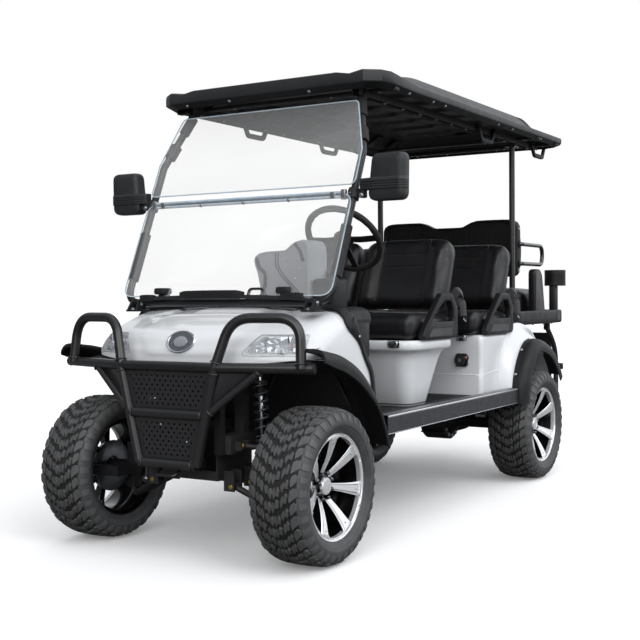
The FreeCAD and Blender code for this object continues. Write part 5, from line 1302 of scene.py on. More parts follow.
def makeGuard():
    r = 0.019
    pieces = []
    line = [at(-0.584, -0.124, 0.731), at(-0.222, -0.228, 0.731), at(0.222, -0.228, 0.731),
            at(0.584, -0.124, 0.731)]
    pieces.append(tube("top", line, r, "satinCoat", 0.12, 24))
    for x in (0.584, -0.584):
        end = facing(at(x, -0.124, 0.731), (0.9613 * (1 if x > 0 else -1), 0.2762, 0))
        cap = unitTurned("cap",
                         [(0.0185, -0.004), (0.0200, 0.0), (0.0195, 0.0035), (0.0150, 0.006), (0, 0.0068)],
                         24)
        cap.data.materials.append(finishes["softRubber"])
        pieces.append(moved(cap, end))
    pieces.append(tube("mid", [at(-0.181, -0.228, 0.553), at(0.181, -0.228, 0.553)], r, "satinCoat", 0, 24))
    pieces.append(tube("low", [at(-0.1355, -0.228, 0.364), at(0.1355, -0.228, 0.364)], r, "satinCoat", 0,
                       24))
    for s in (1, -1):
        pieces.append(tube("leg",
                           [at(s * 0.222, -0.228, 0.731), at(s * 0.181, -0.228, 0.553),
                            at(s * 0.135, -0.228, 0.364)], r, "satinCoat", 0.05, 24))
        pieces.append(tube("brace", [at(s * 0.181, -0.228, 0.553), at(s * 0.400, guardY(0.400), 0.731)],
                           0.0152, "satinCoat", 0, 20))
        hoop = [at(s * 0.222, -0.228, 0.731), at(s * 0.276, -0.196, 0.912), at(s * 0.532, -0.132, 0.912),
                at(s * 0.545, -0.150, 0.731)]
        pieces.append(tube("hoop", hoop, r, "satinCoat", 0.108, 24, 16))
        pieces.append(weldRing("weld", at(s * 0.2280, -0.2245, 0.7500), (s * 0.28, 0.1, 0.9), 0.0200))
        pieces.append(weldRing("weld", at(s * 0.5440, -0.1500, 0.7500), (s * -0.1, 0, 1), 0.0200))
        pieces.append(weldRing("weld", at(s * 0.1640, -0.228, 0.553), (1, 0, 0), 0.0200))
        pieces.append(weldRing("weld", at(s * 0.1170, -0.228, 0.364), (1, 0, 0), 0.0200))
        pieces.append(weldRing("weld", at(s * 0.3850, guardY(0.385), 0.7170), (s * 0.76, 0, 0.62), 0.0162))
        pieces.append(weldRing("weld", at(s * 0.1985, -0.2260, 0.5680), (s * 0.76, 0, 0.62), 0.0162))
        pieces.append(weldRing("weld", at(s * 0.2180, -0.228, 0.7100), (s * 0.2, 0, 1), 0.0200))
    dressed(joined("brush_guard_skin", pieces), chassis, ["brush_guard"])


def holedPlate(name, corners, holes, radius, thick):
    # A sheet with round holes: corners as (x, z), holes as (x, z) centres.
    count = 10
    bm = bmesh.new()
    outer = [bm.verts.new((x, 0, z)) for x, z in corners]
    edges = [bm.edges.new((outer[i], outer[(i + 1) % len(outer)])) for i in range(len(outer))]
    for hx, hz in holes:
        ring = [bm.verts.new((hx + radius * math.cos(2 * math.pi * k / count), 0,
                              hz + radius * math.sin(2 * math.pi * k / count)))
                for k in range(count)]
        edges += [bm.edges.new((ring[k], ring[(k + 1) % count])) for k in range(count)]
    bmesh.ops.triangle_fill(bm, edges=edges, use_beauty=True, use_dissolve=False)
    # faces that landed inside a hole go
    spare = []
    for face in bm.faces:
        c = face.calc_center_median()
        if any(math.hypot(c.x - hx, c.z - hz) < radius * 0.8 for hx, hz in holes):
            spare.append(face)
    bmesh.ops.delete(bm, geom=spare, context="FACES_ONLY")
    data = bpy.data.meshes.new(name)
    bm.to_mesh(data)
    bm.free()
    obj = linkObject(name, data, "satinCoat")
    modified(obj, "SOLIDIFY", thickness=thick, offset=0.0)
    shadeBy(obj.data, 30.0)
    return obj


def staggered(halfTop, zTop, halfLow, zLow, rows, columns, margin):
    # Hole centres in staggered rows of a tapering plate.
    holes = []
    for r in range(rows):
        z = zTop - margin - (zTop - zLow - 2 * margin) * r / (rows - 1)
        share = (zTop - z) / (zTop - zLow)
        half = halfTop + (halfLow - halfTop) * share - margin
        pitch = 2 * (halfTop - margin) / (columns - 0.5)
        shift = 0.25 * pitch * (1 if r % 2 else -1)
        k = -columns
        while k <= columns:
            x = (k + 0.5) * pitch + shift
            if abs(x) < half:
                holes.append((x, z))
            k += 1
    return holes


def makeGuardPlates():
    plates = []
    upper = [(-0.204, 0.711), (0.204, 0.711), (0.168, 0.573), (-0.168, 0.573)]
    lower = [(-0.157, 0.533), (0.157, 0.533), (0.118, 0.384), (-0.118, 0.384)]
    plates.append(holedPlate("upper", upper, staggered(0.204, 0.711, 0.168, 0.573, 7, 15, 0.017), 0.0047,
                             0.003))
    plates.append(holedPlate("lower", lower, staggered(0.157, 0.533, 0.118, 0.384, 8, 11, 0.017), 0.0045,
                             0.003))
    for plate in plates:
        moved(plate, Matrix.Translation(at(0, -0.228, 0)))
    for s in (1, -1):
        outline = [at(s * 0.240, guardY(0.240), 0.712), at(s * 0.362, guardY(0.362), 0.712),
                   at(s * 0.204, guardY(0.204), 0.586)]
        plates.append(extrude("gusset", outline, Vector((0, 0.003, 0)), "satinCoat", 0.0008, 1))
        frame_ = [at(s * 0.2300, -0.2265, 0.713), at(s * 0.2020, -0.2265, 0.590)]
        plates.append(tube("seam", frame_, 0.0035, "satinCoat", 0, 8))
    bolt = domeBolt("bolt", 0.0045, 0.003)
    places = [facing(at(x, -0.2300, z), (0, -1, 0)) for x, z in ((-0.030, 0.512), (0.092, 0.452))]
    plates.append(repeated("plateBolts", bolt, places, "zinc"))
    # dark plate behind the middle of the upper plate: painted shade, so that the holes there read dark
    plates.append(block("backPlate", (-0.062, -0.2215, 0.585), (0.062, -0.2195, 0.705), "satinCoat",
                        0.0008))
    # tow loop under the bottom rail
    hook = roundedLine([at(-0.045, -0.205, 0.345), at(-0.045, -0.245, 0.322), at(0.045, -0.245, 0.322),
                        at(0.045, -0.205, 0.345)], 0.02, 8)
    plates.append(sweep("towLoop", hook, circle(0.006, 12), "satinCoat"))
    dressed(joined("guard_plates_skin", plates), chassis, ["guard_plates"])


makeGuard()
makeGuardPlates()
print("guard made")


# Fender flares
def flarePath(points, count=46):
    return curveThrough([at(0, y, z) for y, z in points], count)


def makeFlare(name, innerX, path, shift, stepped):
    # A moulded arch lip: flat top, rounded shoulder, deep outer face with a returned edge.
    outer = 0.636
    line = flarePath([(y + shift, z) for y, z in path])
    rows = []
    count = len(line)
    for i, point in enumerate(line):
        tangent = (line[min(i + 1, count - 1)] - line[max(i - 1, 0)]).normalized()
        inward = Vector((0, tangent.z, -tangent.y))
        if inward.z > 0 and tangent.y > 0:
            inward = -inward
        share = i / (count - 1)
        depth = 0.062 * (0.55 + 0.45 * math.sin(math.pi * min(share * 1.25 + 0.12,
                                                              1.0))) if not stepped else 0.062
        lift = 0.0
        if stepped:
            # broad flats between the bolts, each ending in a small step
            k = (share * 7.0) % 1.0
            lift = 0.0045 * (smoothstep(k, 0.0, 0.10) - smoothstep(k, 0.90, 1.0))
        else:
            lift = 0.0035 * (1 - smoothstep(share, 0.03, 0.07))
        profile = [(innerX, 0.010), (innerX, 0.0), (innerX + 0.030, -0.001 - lift * 0.5),
                   (outer - 0.050, 0.0 - lift), (outer - 0.026, 0.004 - lift),
                   (outer - 0.010, 0.012), (outer - 0.002, 0.026), (outer, depth * 0.72),
                   (outer - 0.001, depth), (outer - 0.007, depth + 0.002),
                   (outer - 0.008, depth * 0.72), (outer - 0.010, 0.030), (outer - 0.018, 0.019),
                   (outer - 0.034, 0.012), (innerX + 0.02, 0.010)]
        rows.append([Vector((x, point.y + d * inward.y, point.z + d * inward.z)) for x, d in profile])
    n = len(rows[0])
    verts = [p for row in rows for p in row]
    faces = [(r * n + i, r * n + (i + 1) % n, (r + 1) * n + (i + 1) % n,
              (r + 1) * n + i) for r in range(count - 1) for i in range(n)]
    faces += [tuple(range(n)), tuple(range((count - 1) * n, count * n))]
    return makeMesh(name, verts, faces, "blackAbs", 32.0), line


def makeFlares():
    front = [(-0.128, 0.800), (-0.060, 0.792), (0.040, 0.769), (0.140, 0.722), (0.225, 0.655),
             (0.300, 0.570), (0.355, 0.480), (0.384, 0.405)]
    rear = [(-0.337, 0.430), (-0.322, 0.540), (-0.272, 0.640), (-0.200, 0.716), (-0.125, 0.750),
            (-0.030, 0.744),
            (0.070, 0.714), (0.150, 0.668), (0.215, 0.610), (0.262, 0.550)]
    parts = []
    flare, line = makeFlare("frontFlare", 0.5223, front, 0.0, False)
    parts.append(flare)
    bolt = domeBolt("bolt", 0.0075, 0.0045)
    places = [facing(line[k] + Vector((0.588, 0, 0.0035)), (0, 0, 1)) for k in (3,)]
    places += [facing(line[k] + Vector((0.545, 0, 0.0025)), (0, 0.35, 1)) for k in (14, 24)]
    back, line = makeFlare("rearFlare", 0.552, rear, wheelBase, True)
    parts.append(back)
    for k in (7, 14, 21):
        tangent = (line[k + 1] - line[k - 1]).normalized()
        up = Vector((0, -tangent.z, tangent.y))
        places.append(facing(line[k] + Vector((0.570, 0, 0)) + up * 0.003, up))
    parts.append(block("flareLug", (0.576, 2.438, 0.572), (0.628, 2.464, 0.606), "blackAbs", 0.005))
    # the white body swells out to meet the arch
    swell = []
    for i, point in enumerate(line):
        tangent = (line[min(i + 1, len(line) - 1)] - line[max(i - 1, 0)]).normalized()
        up = Vector((0, -tangent.z, tangent.y))
        share = i / (len(line) - 1)
        tall = 0.30 + 0.70 * smoothstep(share, 0.0, 0.25) * (1 - smoothstep(share, 0.68, 1.0))
        swell.append([Vector((x, point.y, point.z)) + up * d * tall for x, d in
                      ((0.47, -0.012), (0.560, -0.012), (0.5575, 0.002), (0.553, 0.014), (0.543, 0.028),
                       (0.531, 0.042), (0.519, 0.055), (0.509, 0.067), (0.5025, 0.078), (0.4990, 0.086),
                       (0.470, 0.088))])
    arch = surface("archSwell", swell, "whiteAbs", 40.0, True)
    for ring in (swell[0], swell[-1]):
        parts.append(makeMesh("swellEnd", ring, [tuple(range(len(ring)))], "whiteAbs"))
    parts.append(arch)
    parts.append(repeated("flareBolts", bolt, places, "zinc"))
    # black liner inside the rear half of the front arch
    liner = lathe("liner", [(0.300, 0.3905), (0.5235, 0.3905), (0.5235, 0.3865), (0.300, 0.3865)],
                  "blackAbs", 64, math.radians(-16), math.radians(112))
    parts.append(moved(liner, Matrix.Translation(at(0, 0, 0.362))))
    flares = joined("fender_flares_skin", parts)
    twin = mirroredCopy(flares, "flaresTwin")
    dressed(joined("fender_flares_skin", [flares, twin]), chassis, ["fender_flares"])


makeFlares()


# Windshield
strutLow, strutKnee, strutTop = (0.503, 0.128, 0.966), (0.505, 0.388, 1.562), (0.431, 0.512, 1.796)


def strutLine(side):
    # Strut centre line from its low corner to the roof.
    return [at(side * x, y, z) for x, y, z in (strutLow, strutKnee, strutTop)]


def onStrut(share, side=1):
    # A point along the strut from its foot to its top, and its direction.
    line = roundedLine(strutLine(side), 0.10, 10)
    lengths = [(b - a).length for a, b in zip(line, line[1:])]
    want = share * sum(lengths)
    for a, b, length in zip(line, line[1:], lengths):
        if want <= length:
            return a.lerp(b, want / length), (b - a).normalized()
        want -= length
    return line[-1], (line[-1] - line[-2]).normalized()


def sleeve(name, low, high, radius, finish, side, squareness=0.0):
    # A clamped sleeve over part of the strut, with a raised spine.
    points = [onStrut(low + (high - low) * k / 8, side)[0] for k in range(9)]
    section = []
    for k in range(24):
        a = 2 * math.pi * k / 24
        r = radius * (1 + squareness * abs(math.sin(2 * a)))
        section.append((r * math.cos(a), r * math.sin(a)))
    return sweep(name, points, section, finish, up=Vector((1, 0, 0)))


def makeStruts():
    pieces = []
    # one hoop of flattened oval tube with a shallow channel, bent in at the foot and joined across
    corners = [at(-x, y, z) for x, y, z in ((0.431, 0.520, 1.834), strutTop, strutKnee, strutLow)]
    corners += [at(x, y, z) for x, y, z in (strutLow, strutKnee, strutTop, (0.431, 0.520, 1.834))]
    section = []
    for k in range(24):
        a = 2 * math.pi * k / 24
        r = 0.0163 - 0.0020 * abs(math.cos(a)) ** 10
        section.append((r * math.cos(a), r * math.sin(a) * 0.94))
    pieces.append(sweep("strut", roundedLine(corners, 0.075, 9), section, "strutGrey"))
    for s in (1, -1):
        pieces.append(sleeve("lowSleeve", 0.113, 0.348, 0.0215, "softRubber", s, 0.10))
        pieces.append(sleeve("highSleeve", 0.757, 0.828, 0.0225, "softRubber", s, 0.16))
        pieces.append(sleeve("hingeSleeve", 0.474, 0.520, 0.0215, "softRubber", s, 0.12))
        pieces.append(sleeve("topSleeve", 0.900, 0.995, 0.0205, "softRubber", s, 0.10))
        # foot clamp: two splayed legs standing on a plate
        y0, z0 = 0.119, 0.9415
        legs = []
        for k, spread in ((-1, 0.012), (1, 0.022)):
            legs.append(extrude("leg",
                                [at(s * (0.432 + k * 0.018) - 0.004, y0 - 0.018, z0 + 0.040),
                                 at(s * (0.432 + k * 0.018) - 0.004, y0 + 0.020, z0 + 0.040),
                                        at(s * (0.432 + k * 0.018) - 0.004, y0 + 0.030, z0 - 0.004),
                                        at(s * (0.432 + k * 0.018) - 0.004, y0 - 0.030 - spread,
                                           z0 - 0.008)],
                                Vector((0.008, 0, 0)), "blackAbs", 0.0015))
        legs.append(block("footPlate", (s * 0.432 - 0.032, y0 - 0.044, z0 - 0.012),
                          (s * 0.432 + 0.032, y0 + 0.038, z0 - 0.003), "blackAbs", 0.003))
        pieces += legs
        bolt = hexBolt("bolt", 0.014, 0.007)
        places = [facing(at(s * 0.432 + 0.022 * k, y0 - 0.002, z0 + 0.022), (k, 0, 0)) for k in (-1, 1)]
        places.append(facing(at(s * 0.432, y0 - 0.036, z0 - 0.003), (0, 0, 1)))
        pieces.append(repeated("footBolts", bolt, places, "zinc"))
    dressed(joined("front_struts_skin", pieces), chassis, ["front_struts"])


def paneSheet(name, outline, corner):
    # A clear flat sheet in the plane of the struts' lower legs: outline as (half width, height up the
    # pane).
    rise = Vector((0, strutKnee[1] - strutLow[1], strutKnee[2] - strutLow[2])).normalized()
    base = at(0, strutLow[1], strutLow[2]) + Vector((0, -rise.z, rise.y)) * 0.0215
    points = roundOutline(outline + [(-half, up) for half, up in reversed(outline)], corner, 6)
    line = [base + rise * up + Vector((half, 0, 0)) for half, up in points]
    sheet = makeMesh(name, line, [tuple(range(len(line)))], "clearPane", 40.0)
    modified(sheet, "SOLIDIFY", thickness=0.0045, offset=0.0)
    # the rim strip's light colour is a painted highlight along the pane's edge
    rim = sweep(name + "Rim", line,
                [(-0.0024, -0.0012), (0.0024, -0.0012), (0.0024, 0.0012), (-0.0024, 0.0012)], "paneEdgeHighlight",
                True, up=Vector((0, -rise.z, rise.y)))
    return [sheet, rim]


def makePanes():
    sheets = paneSheet("lowerPane", [(0.512, 0.019), (0.512, 0.452)], 0.050)
    sheets += paneSheet("upperPane", [(0.512, 0.4935), (0.512, 0.650), (0.446, 0.8805)], 0.026)
    dressed(joined("windshield_panes_skin", sheets), chassis, ["windshield_panes"])


def makeRails():
    pieces = []
    # rail along the bottom edge: thin ends, thicker middle with chamfered shoulders
    y, z = 0.100, 0.980
    def crown(x):
        return 0.012 * (1 - (x / 0.43) ** 2)
    thin = [at(x, y, z + crown(x)) for x in [-0.402 + 0.804 * k / 24 for k in range(25)]]
    pieces.append(sweep("railThin", thin,
                        [(-0.007, -0.006), (0.007, -0.006), (0.008, 0.004), (0.003, 0.009),
                         (-0.005, 0.009)], "softRubber"))
    thick = [at(x, y, z + 0.006 + crown(x)) for x in [-0.190 + 0.310 * k / 12 for k in range(13)]]
    pieces.append(sweep("railThick", thick,
                        [(-0.014, -0.016), (0.010, -0.018), (0.014, -0.010), (0.013, 0.012), (0.008, 0.017),
                         (-0.010, 0.017), (-0.014, 0.010)], "blackAbs",
                        scales=[0.72] + [1.0] * 11 + [0.72]))
    for x0, x1 in ((-0.400, -0.330), (0.300, 0.395)):
        line = [at(x0 + (x1 - x0) * k / 4, y, z + 0.004 + crown(x0)) for k in range(5)]
        pieces.append(sweep("railEnd", line,
                            [(-0.013, -0.014), (0.011, -0.014), (0.013, -0.006), (0.012, 0.011),
                             (-0.010, 0.014)], "blackAbs", scales=[0.8, 1, 1, 1, 0.8]))
    # two block clips stand on the scuttle behind the glass
    for x in (-0.302, 0.302):
        low = block("clipFoot", (x - 0.017, y + 0.010, z - 0.004), (x + 0.017, y + 0.052, z + 0.020),
                    "blackAbs", 0.004)
        top = block("clipTop", (x - 0.028, y - 0.004, z + 0.020), (x + 0.028, y + 0.050, z + 0.047),
                    "blackAbs", 0.007)
        groove = block("clipGroove", (x - 0.0285, y - 0.0045, z + 0.0295),
                       (x + 0.0285, y + 0.0505, z + 0.0325), "softRubber", 0.0008)
        pieces += [low, top, groove]
    # small arched wire bracket near the driver's clip
    arch = roundedLine([at(0.118, y + 0.030, z - 0.006), at(0.132, y + 0.030, z + 0.040),
                        at(0.196, y + 0.030, z + 0.040), at(0.215, y + 0.030, z - 0.006)], 0.020, 6)
    pieces.append(sweep("arch", arch, ribbon(0.018, 0.010), "blackAbs"))
    # hinge between the panes: two channels in the light edge colour, a painted highlight, and a bright rod,
    # with a bracket at each end
    hinge = onStrut(0.496)[0]
    for dz, dy, finish, r in ((0.0085, -0.020, "paneEdgeHighlight", 0.0062), (-0.0085, -0.022, "paneEdgeHighlight", 0.0062),
                              (0.0, -0.024, "zinc", 0.0036)):
        line = [Vector((x, hinge.y + dy, hinge.z + dz)) for x in (-0.484, 0.484)]
        pieces.append(tube("hinge", line, r, finish, 0, 12))
    for s in (1, -1):
        for k in (0, 1):
            x = s * (0.474 - 0.048 * k)
            pieces.append(block("hingeBracket",
                                (x - 0.010, hinge.y - axleY - 0.032, hinge.z - 0.020 + 0.006 * k),
                                (x + 0.010, hinge.y - axleY - 0.017, hinge.z + 0.020 - 0.008 * k), "zinc",
                                0.002))
    catch = hexBolt("catch", 0.010, 0.006)
    places = [facing(Vector((x, hinge.y - 0.030, hinge.z - 0.010)), (0, -1, 0)) for x in (-0.22, 0.0, 0.22)]
    pieces.append(repeated("hingeBolts", catch, places, "zinc"))
    dressed(joined("windshield_rails_skin", pieces), chassis, ["windshield_rails"])


makeStruts()
makePanes()
makeRails()


# Mirrors
def makeMirror():
    # Rounded shell with a ribbed band, on an L-shaped arm clamped to the strut.
    cx, cy, cz = 0.650, 0.322, 1.449
    halfW, halfH = 0.081, 0.092
    rings = []
    outline = roundOutline([(-halfW, -halfH), (halfW * 0.96, -halfH), (halfW, halfH),
                            (-halfW * 0.74, halfH)], 0.030, 7)
    for y, k in ((0.028, 0.975), (0.023, 1.0), (0.002, 1.0), (-0.013, 0.985), (-0.0215, 0.945),
                 (-0.0265, 0.86), (-0.029, 0.66), (-0.030, 0.3)):
        rings.append([at(cx + x * k, cy + y, cz + z * k) for x, z in outline])
    shell = surface("shell", rings, "roofSkin", 30.0, True)
    front = makeMesh("front", rings[-1], [tuple(range(len(rings[-1])))], "roofSkin")
    glassRing = [[at(cx + x * k, cy + y, cz + z * k) for x, z in outline] for y, k in ((0.028, 0.975),
            (0.0285, 0.94), (0.0250, 0.92))]
    lip = surface("lip", glassRing, "roofSkin", 30.0, True)
    glass = makeMesh("glass", glassRing[-1], [tuple(range(len(outline)))], "chrome")
    parts = [shell, front, lip, glass]
    # the arm's ribbed cuff wraps the lower half and reaches in towards the strut
    cuff = []
    for z, k in ((-0.0475, 0.0), (-0.0465, 1.0), (-0.0400, 1.0), (-0.0385, 0.55), (-0.0370, 1.0),
                 (-0.0305, 1.0), (-0.0290, 0.55), (-0.0275, 1.0),
                 (-0.0210, 1.0), (-0.0195, 0.55), (-0.0180, 1.0), (-0.0085, 1.0), (-0.0035, 0.3)):
        out = 0.0055 * k
        side = [(-halfW - 0.034, 0.018), (-halfW - 0.034, -0.020 - out * 0.6),
                (-halfW * 0.7, -0.0300 - out), (halfW * 0.80, -0.0300 - out), (halfW + out * 0.6, -0.016),
                (halfW + out * 0.6, 0.020), (0.0, 0.024)]
        cuff.append([at(cx + x, cy + y, cz + z) for x, y in roundOutline(side, 0.012, 5)])
    parts.append(surface("cuff", cuff, "roofSkin", 25.0, True))
    for ring in (cuff[0], cuff[-1]):
        parts.append(makeMesh("cuffEnd", ring, [tuple(range(len(ring)))], "roofSkin"))
    # swivel under the cuff and its clamp on the strut
    parts.append(block("knuckle", (0.530, cy - 0.020, cz - 0.078), (0.556, cy + 0.010, cz - 0.040),
                       "blackAbs", 0.005))
    parts.append(block("clamp", (0.512, cy - 0.016, cz - 0.072), (0.536, cy + 0.010, cz - 0.048),
                       "blackAbs", 0.004))
    parts.append(block("clampPad", (0.485, cy - 0.026, cz - 0.078), (0.524, cy - 0.002, cz - 0.042),
                       "blackAbs", 0.004))
    bolt = hexBolt("bolt", 0.013, 0.006)
    parts.append(repeated("mirrorBolts", bolt,
                          [facing(at(0.543, cy - 0.020, cz - 0.068), (0, -1, 0)),
                           facing(at(0.498, cy - 0.026, cz - 0.060), (0, -1, 0))], "zinc"))
    return joined("mirror", parts)


mirror = makeMirror()
dressed(bothSides(mirror, "mirrors_skin"), chassis, ["mirrors"])
print("windshield made")


# Seat pod, rear body, floor and sills
seatBase = 0.790


def podRing(z, frontY, rearY, halfWidth, corner, steps=7):
    # A rounded rectangle in plan, from the rear middle on the right round to the left.
    out = []
    for cx, cy, start in ((halfWidth - corner, frontY + corner, -90),
                          (halfWidth - corner, rearY - corner, 0),
                          (-halfWidth + corner, rearY - corner, 90),
                          (-halfWidth + corner, frontY + corner, 180)):
        for k in range(steps + 1):
            a = math.radians(start + 90 * k / steps)
            out.append(at(cx + corner * math.cos(a), cy + corner * math.sin(a), z))
    return out


def makePod():
    # The white tub under the front row: tapered walls, a cove under the thick lip, rounded corners.
    # height, front, rear, half width, corner
    steps = [(0.4903, 0.946, 1.150, 0.424, 0.052), (0.496, 0.9405, 1.1505, 0.429, 0.058),
             (0.560, 0.914, 1.180, 0.438, 0.064),
             (0.640, 0.890, 1.215, 0.449, 0.068), (0.700, 0.876, 1.243, 0.459, 0.072),
             (0.728, 0.868, 1.258, 0.468, 0.074),
             (0.739, 0.858, 1.272, 0.479, 0.076), (0.744, 0.848, 1.286, 0.490, 0.078),
             (0.7475, 0.842, 1.293, 0.496, 0.079),
             (0.754, 0.8385, 1.2975, 0.4995, 0.080), (0.766, 0.838, 1.298, 0.500, 0.080),
             (0.780, 0.8385, 1.2975, 0.4995, 0.080),
             (0.7865, 0.841, 1.295, 0.497, 0.079), (0.790, 0.846, 1.290, 0.492, 0.077),
             (0.790, 0.870, 1.266, 0.468, 0.060)]
    rows = [podRing(z, f, r, w, c) for z, f, r, w, c in steps]
    tub = surface("tub", rows, "whiteAbs", 50.0, True)
    # lid flange the cushion sits on
    lid = makeMesh("lid", rows[-1], [tuple(range(len(rows[-1])))], "blackAbs")
    seam = sweep("seam", podRing(0.5005, 0.9375, 1.1510, 0.4310, 0.058), circle(0.0022, 8), "softRubber",
                 True)
    dressed(joined("front_seat_pod_skin", [tub, lid, seam]), chassis, ["front_seat_pod"])


def bodyOutline(inset=0.0):
    # Side outline of the rear body as (y, z): front wall, level top and the hip's long fall to the tail.
    y0 = 1.600 + inset
    return [(y0, 0.4903 + inset), (y0, 0.560), (y0, 0.588), (y0 + 0.0032, 0.5935), (y0 + 0.0036, 0.640),
            (y0 + 0.0030, 0.720), (y0, 0.765 - inset),
            (y0 + 0.004, 0.780 - inset), (y0 + 0.014, 0.788 - inset), (y0 + 0.030, 0.790 - inset),
            (1.90, 0.790 - inset), (2.10, 0.7895 - inset), (2.215, 0.7885 - inset), (2.290, 0.776 - inset),
            (2.360, 0.748 - inset), (2.425, 0.716 - inset),
            (2.475, 0.699 - inset), (2.540, 0.692 - inset), (2.574 - inset, 0.686 - inset),
            (2.588 - inset, 0.670), (2.590 - inset, 0.640), (2.590 - inset, 0.4903 + inset)]


def makeRearBody():
    # White body over the rear axle: crowned sides, a sharp crease below the socket, an open wheel arch.
    w, r = 0.500, 0.020
    half = [0.0, 0.12, 0.24, 0.36] + [w - r + r * math.sin(math.radians(a)) for a in range(0, 91, 10)]
    stations = [-x for x in reversed(half)] + half[1:]
    rows = []
    for x in stations:
        into = max(abs(x) - (w - r), 0.0)
        fall = r - math.sqrt(max(r * r - into * into, 0.0))
        row = []
        for y, z in bodyOutline():
            # corners turn in towards the middle on the top and front, not at the floor
            dy = fall * (1 if y < 1.64 else -1 if y > 2.57 else 0)
            dz = -fall if z > 0.775 or (y > 2.25 and z > 0.66) else 0.0
            row.append(Vector((x, y + dy + axleY, z + dz)))
        rows.append(row)
    n = len(rows[0])
    verts = [p for row in rows for p in row]
    faces = []
    for k in range(len(rows) - 1):
        for i in range(n - 1):
            faces.append((k * n + i, k * n + i + 1, (k + 1) * n + i + 1, (k + 1) * n + i))
    # one flat wall closes each side
    for row in (0, len(rows) - 1):
        faces.append(tuple(row * n + i for i in range(n)))
    shell = makeMesh("rearBody", verts, faces, "whiteAbs", 30.0)
    modified(shell, "SOLIDIFY", thickness=0.0045, offset=-1.0)
    cutter = lathe("cut", [(-0.56, 0.0), (-0.56, 0.356), (0.56, 0.356), (0.56, 0.0)], None, 96)
    cutter.data.transform(Matrix.Translation(at(0, wheelBase + 0.012, 0.360)))
    cut(shell, cutter)
    shadeBy(shell.data, 28.0)
    parts = [shell]
    # raised character line along front and sides, and the flush lip under the seat
    for s in (1, -1):
        crease = [at(s * 0.470, 1.6005, 0.590), at(s * 0.4995, 1.612, 0.591), at(s * 0.5003, 1.650, 0.5925),
                  at(s * 0.5003, 1.780, 0.600), at(s * 0.5003, 1.842, 0.604)]
        line = roundedLine(crease, 0.03, 6)
        parts.append(sweep("crease", line,
                           [(-0.0016, -0.0045), (0.0016, -0.001), (0.0016, 0.0008), (-0.0016, 0.0025)],
                           "whiteAbs", angle=60.0))
    front = [at(-0.470 + 0.94 * k / 10, 1.6003, 0.590) for k in range(11)]
    parts.append(sweep("creaseFront", front,
                       [(-0.0016, -0.0045), (0.0016, -0.001), (0.0016, 0.0008), (-0.0016, 0.0025)],
                       "whiteAbs", angle=60.0))
    liner = lathe("liner", [(-0.49, 0.352), (-0.30, 0.352), (-0.298, 0.345), (-0.298, 0.34)], "blackAbs",
                  48, math.radians(-75), math.radians(150))
    for s in (1, -1):
        piece = linkObject("linerSide", liner.data.copy())
        moved(piece, Matrix.Translation(at(0, wheelBase + 0.012, 0.360)) @ Matrix.Scale(s, 4, (1, 0, 0)))
        parts.append(piece)
    old = liner.data
    bpy.data.objects.remove(liner)
    bpy.data.meshes.remove(old)
    dressed(joined("rear_body_skin", parts), chassis, ["rear_body"])


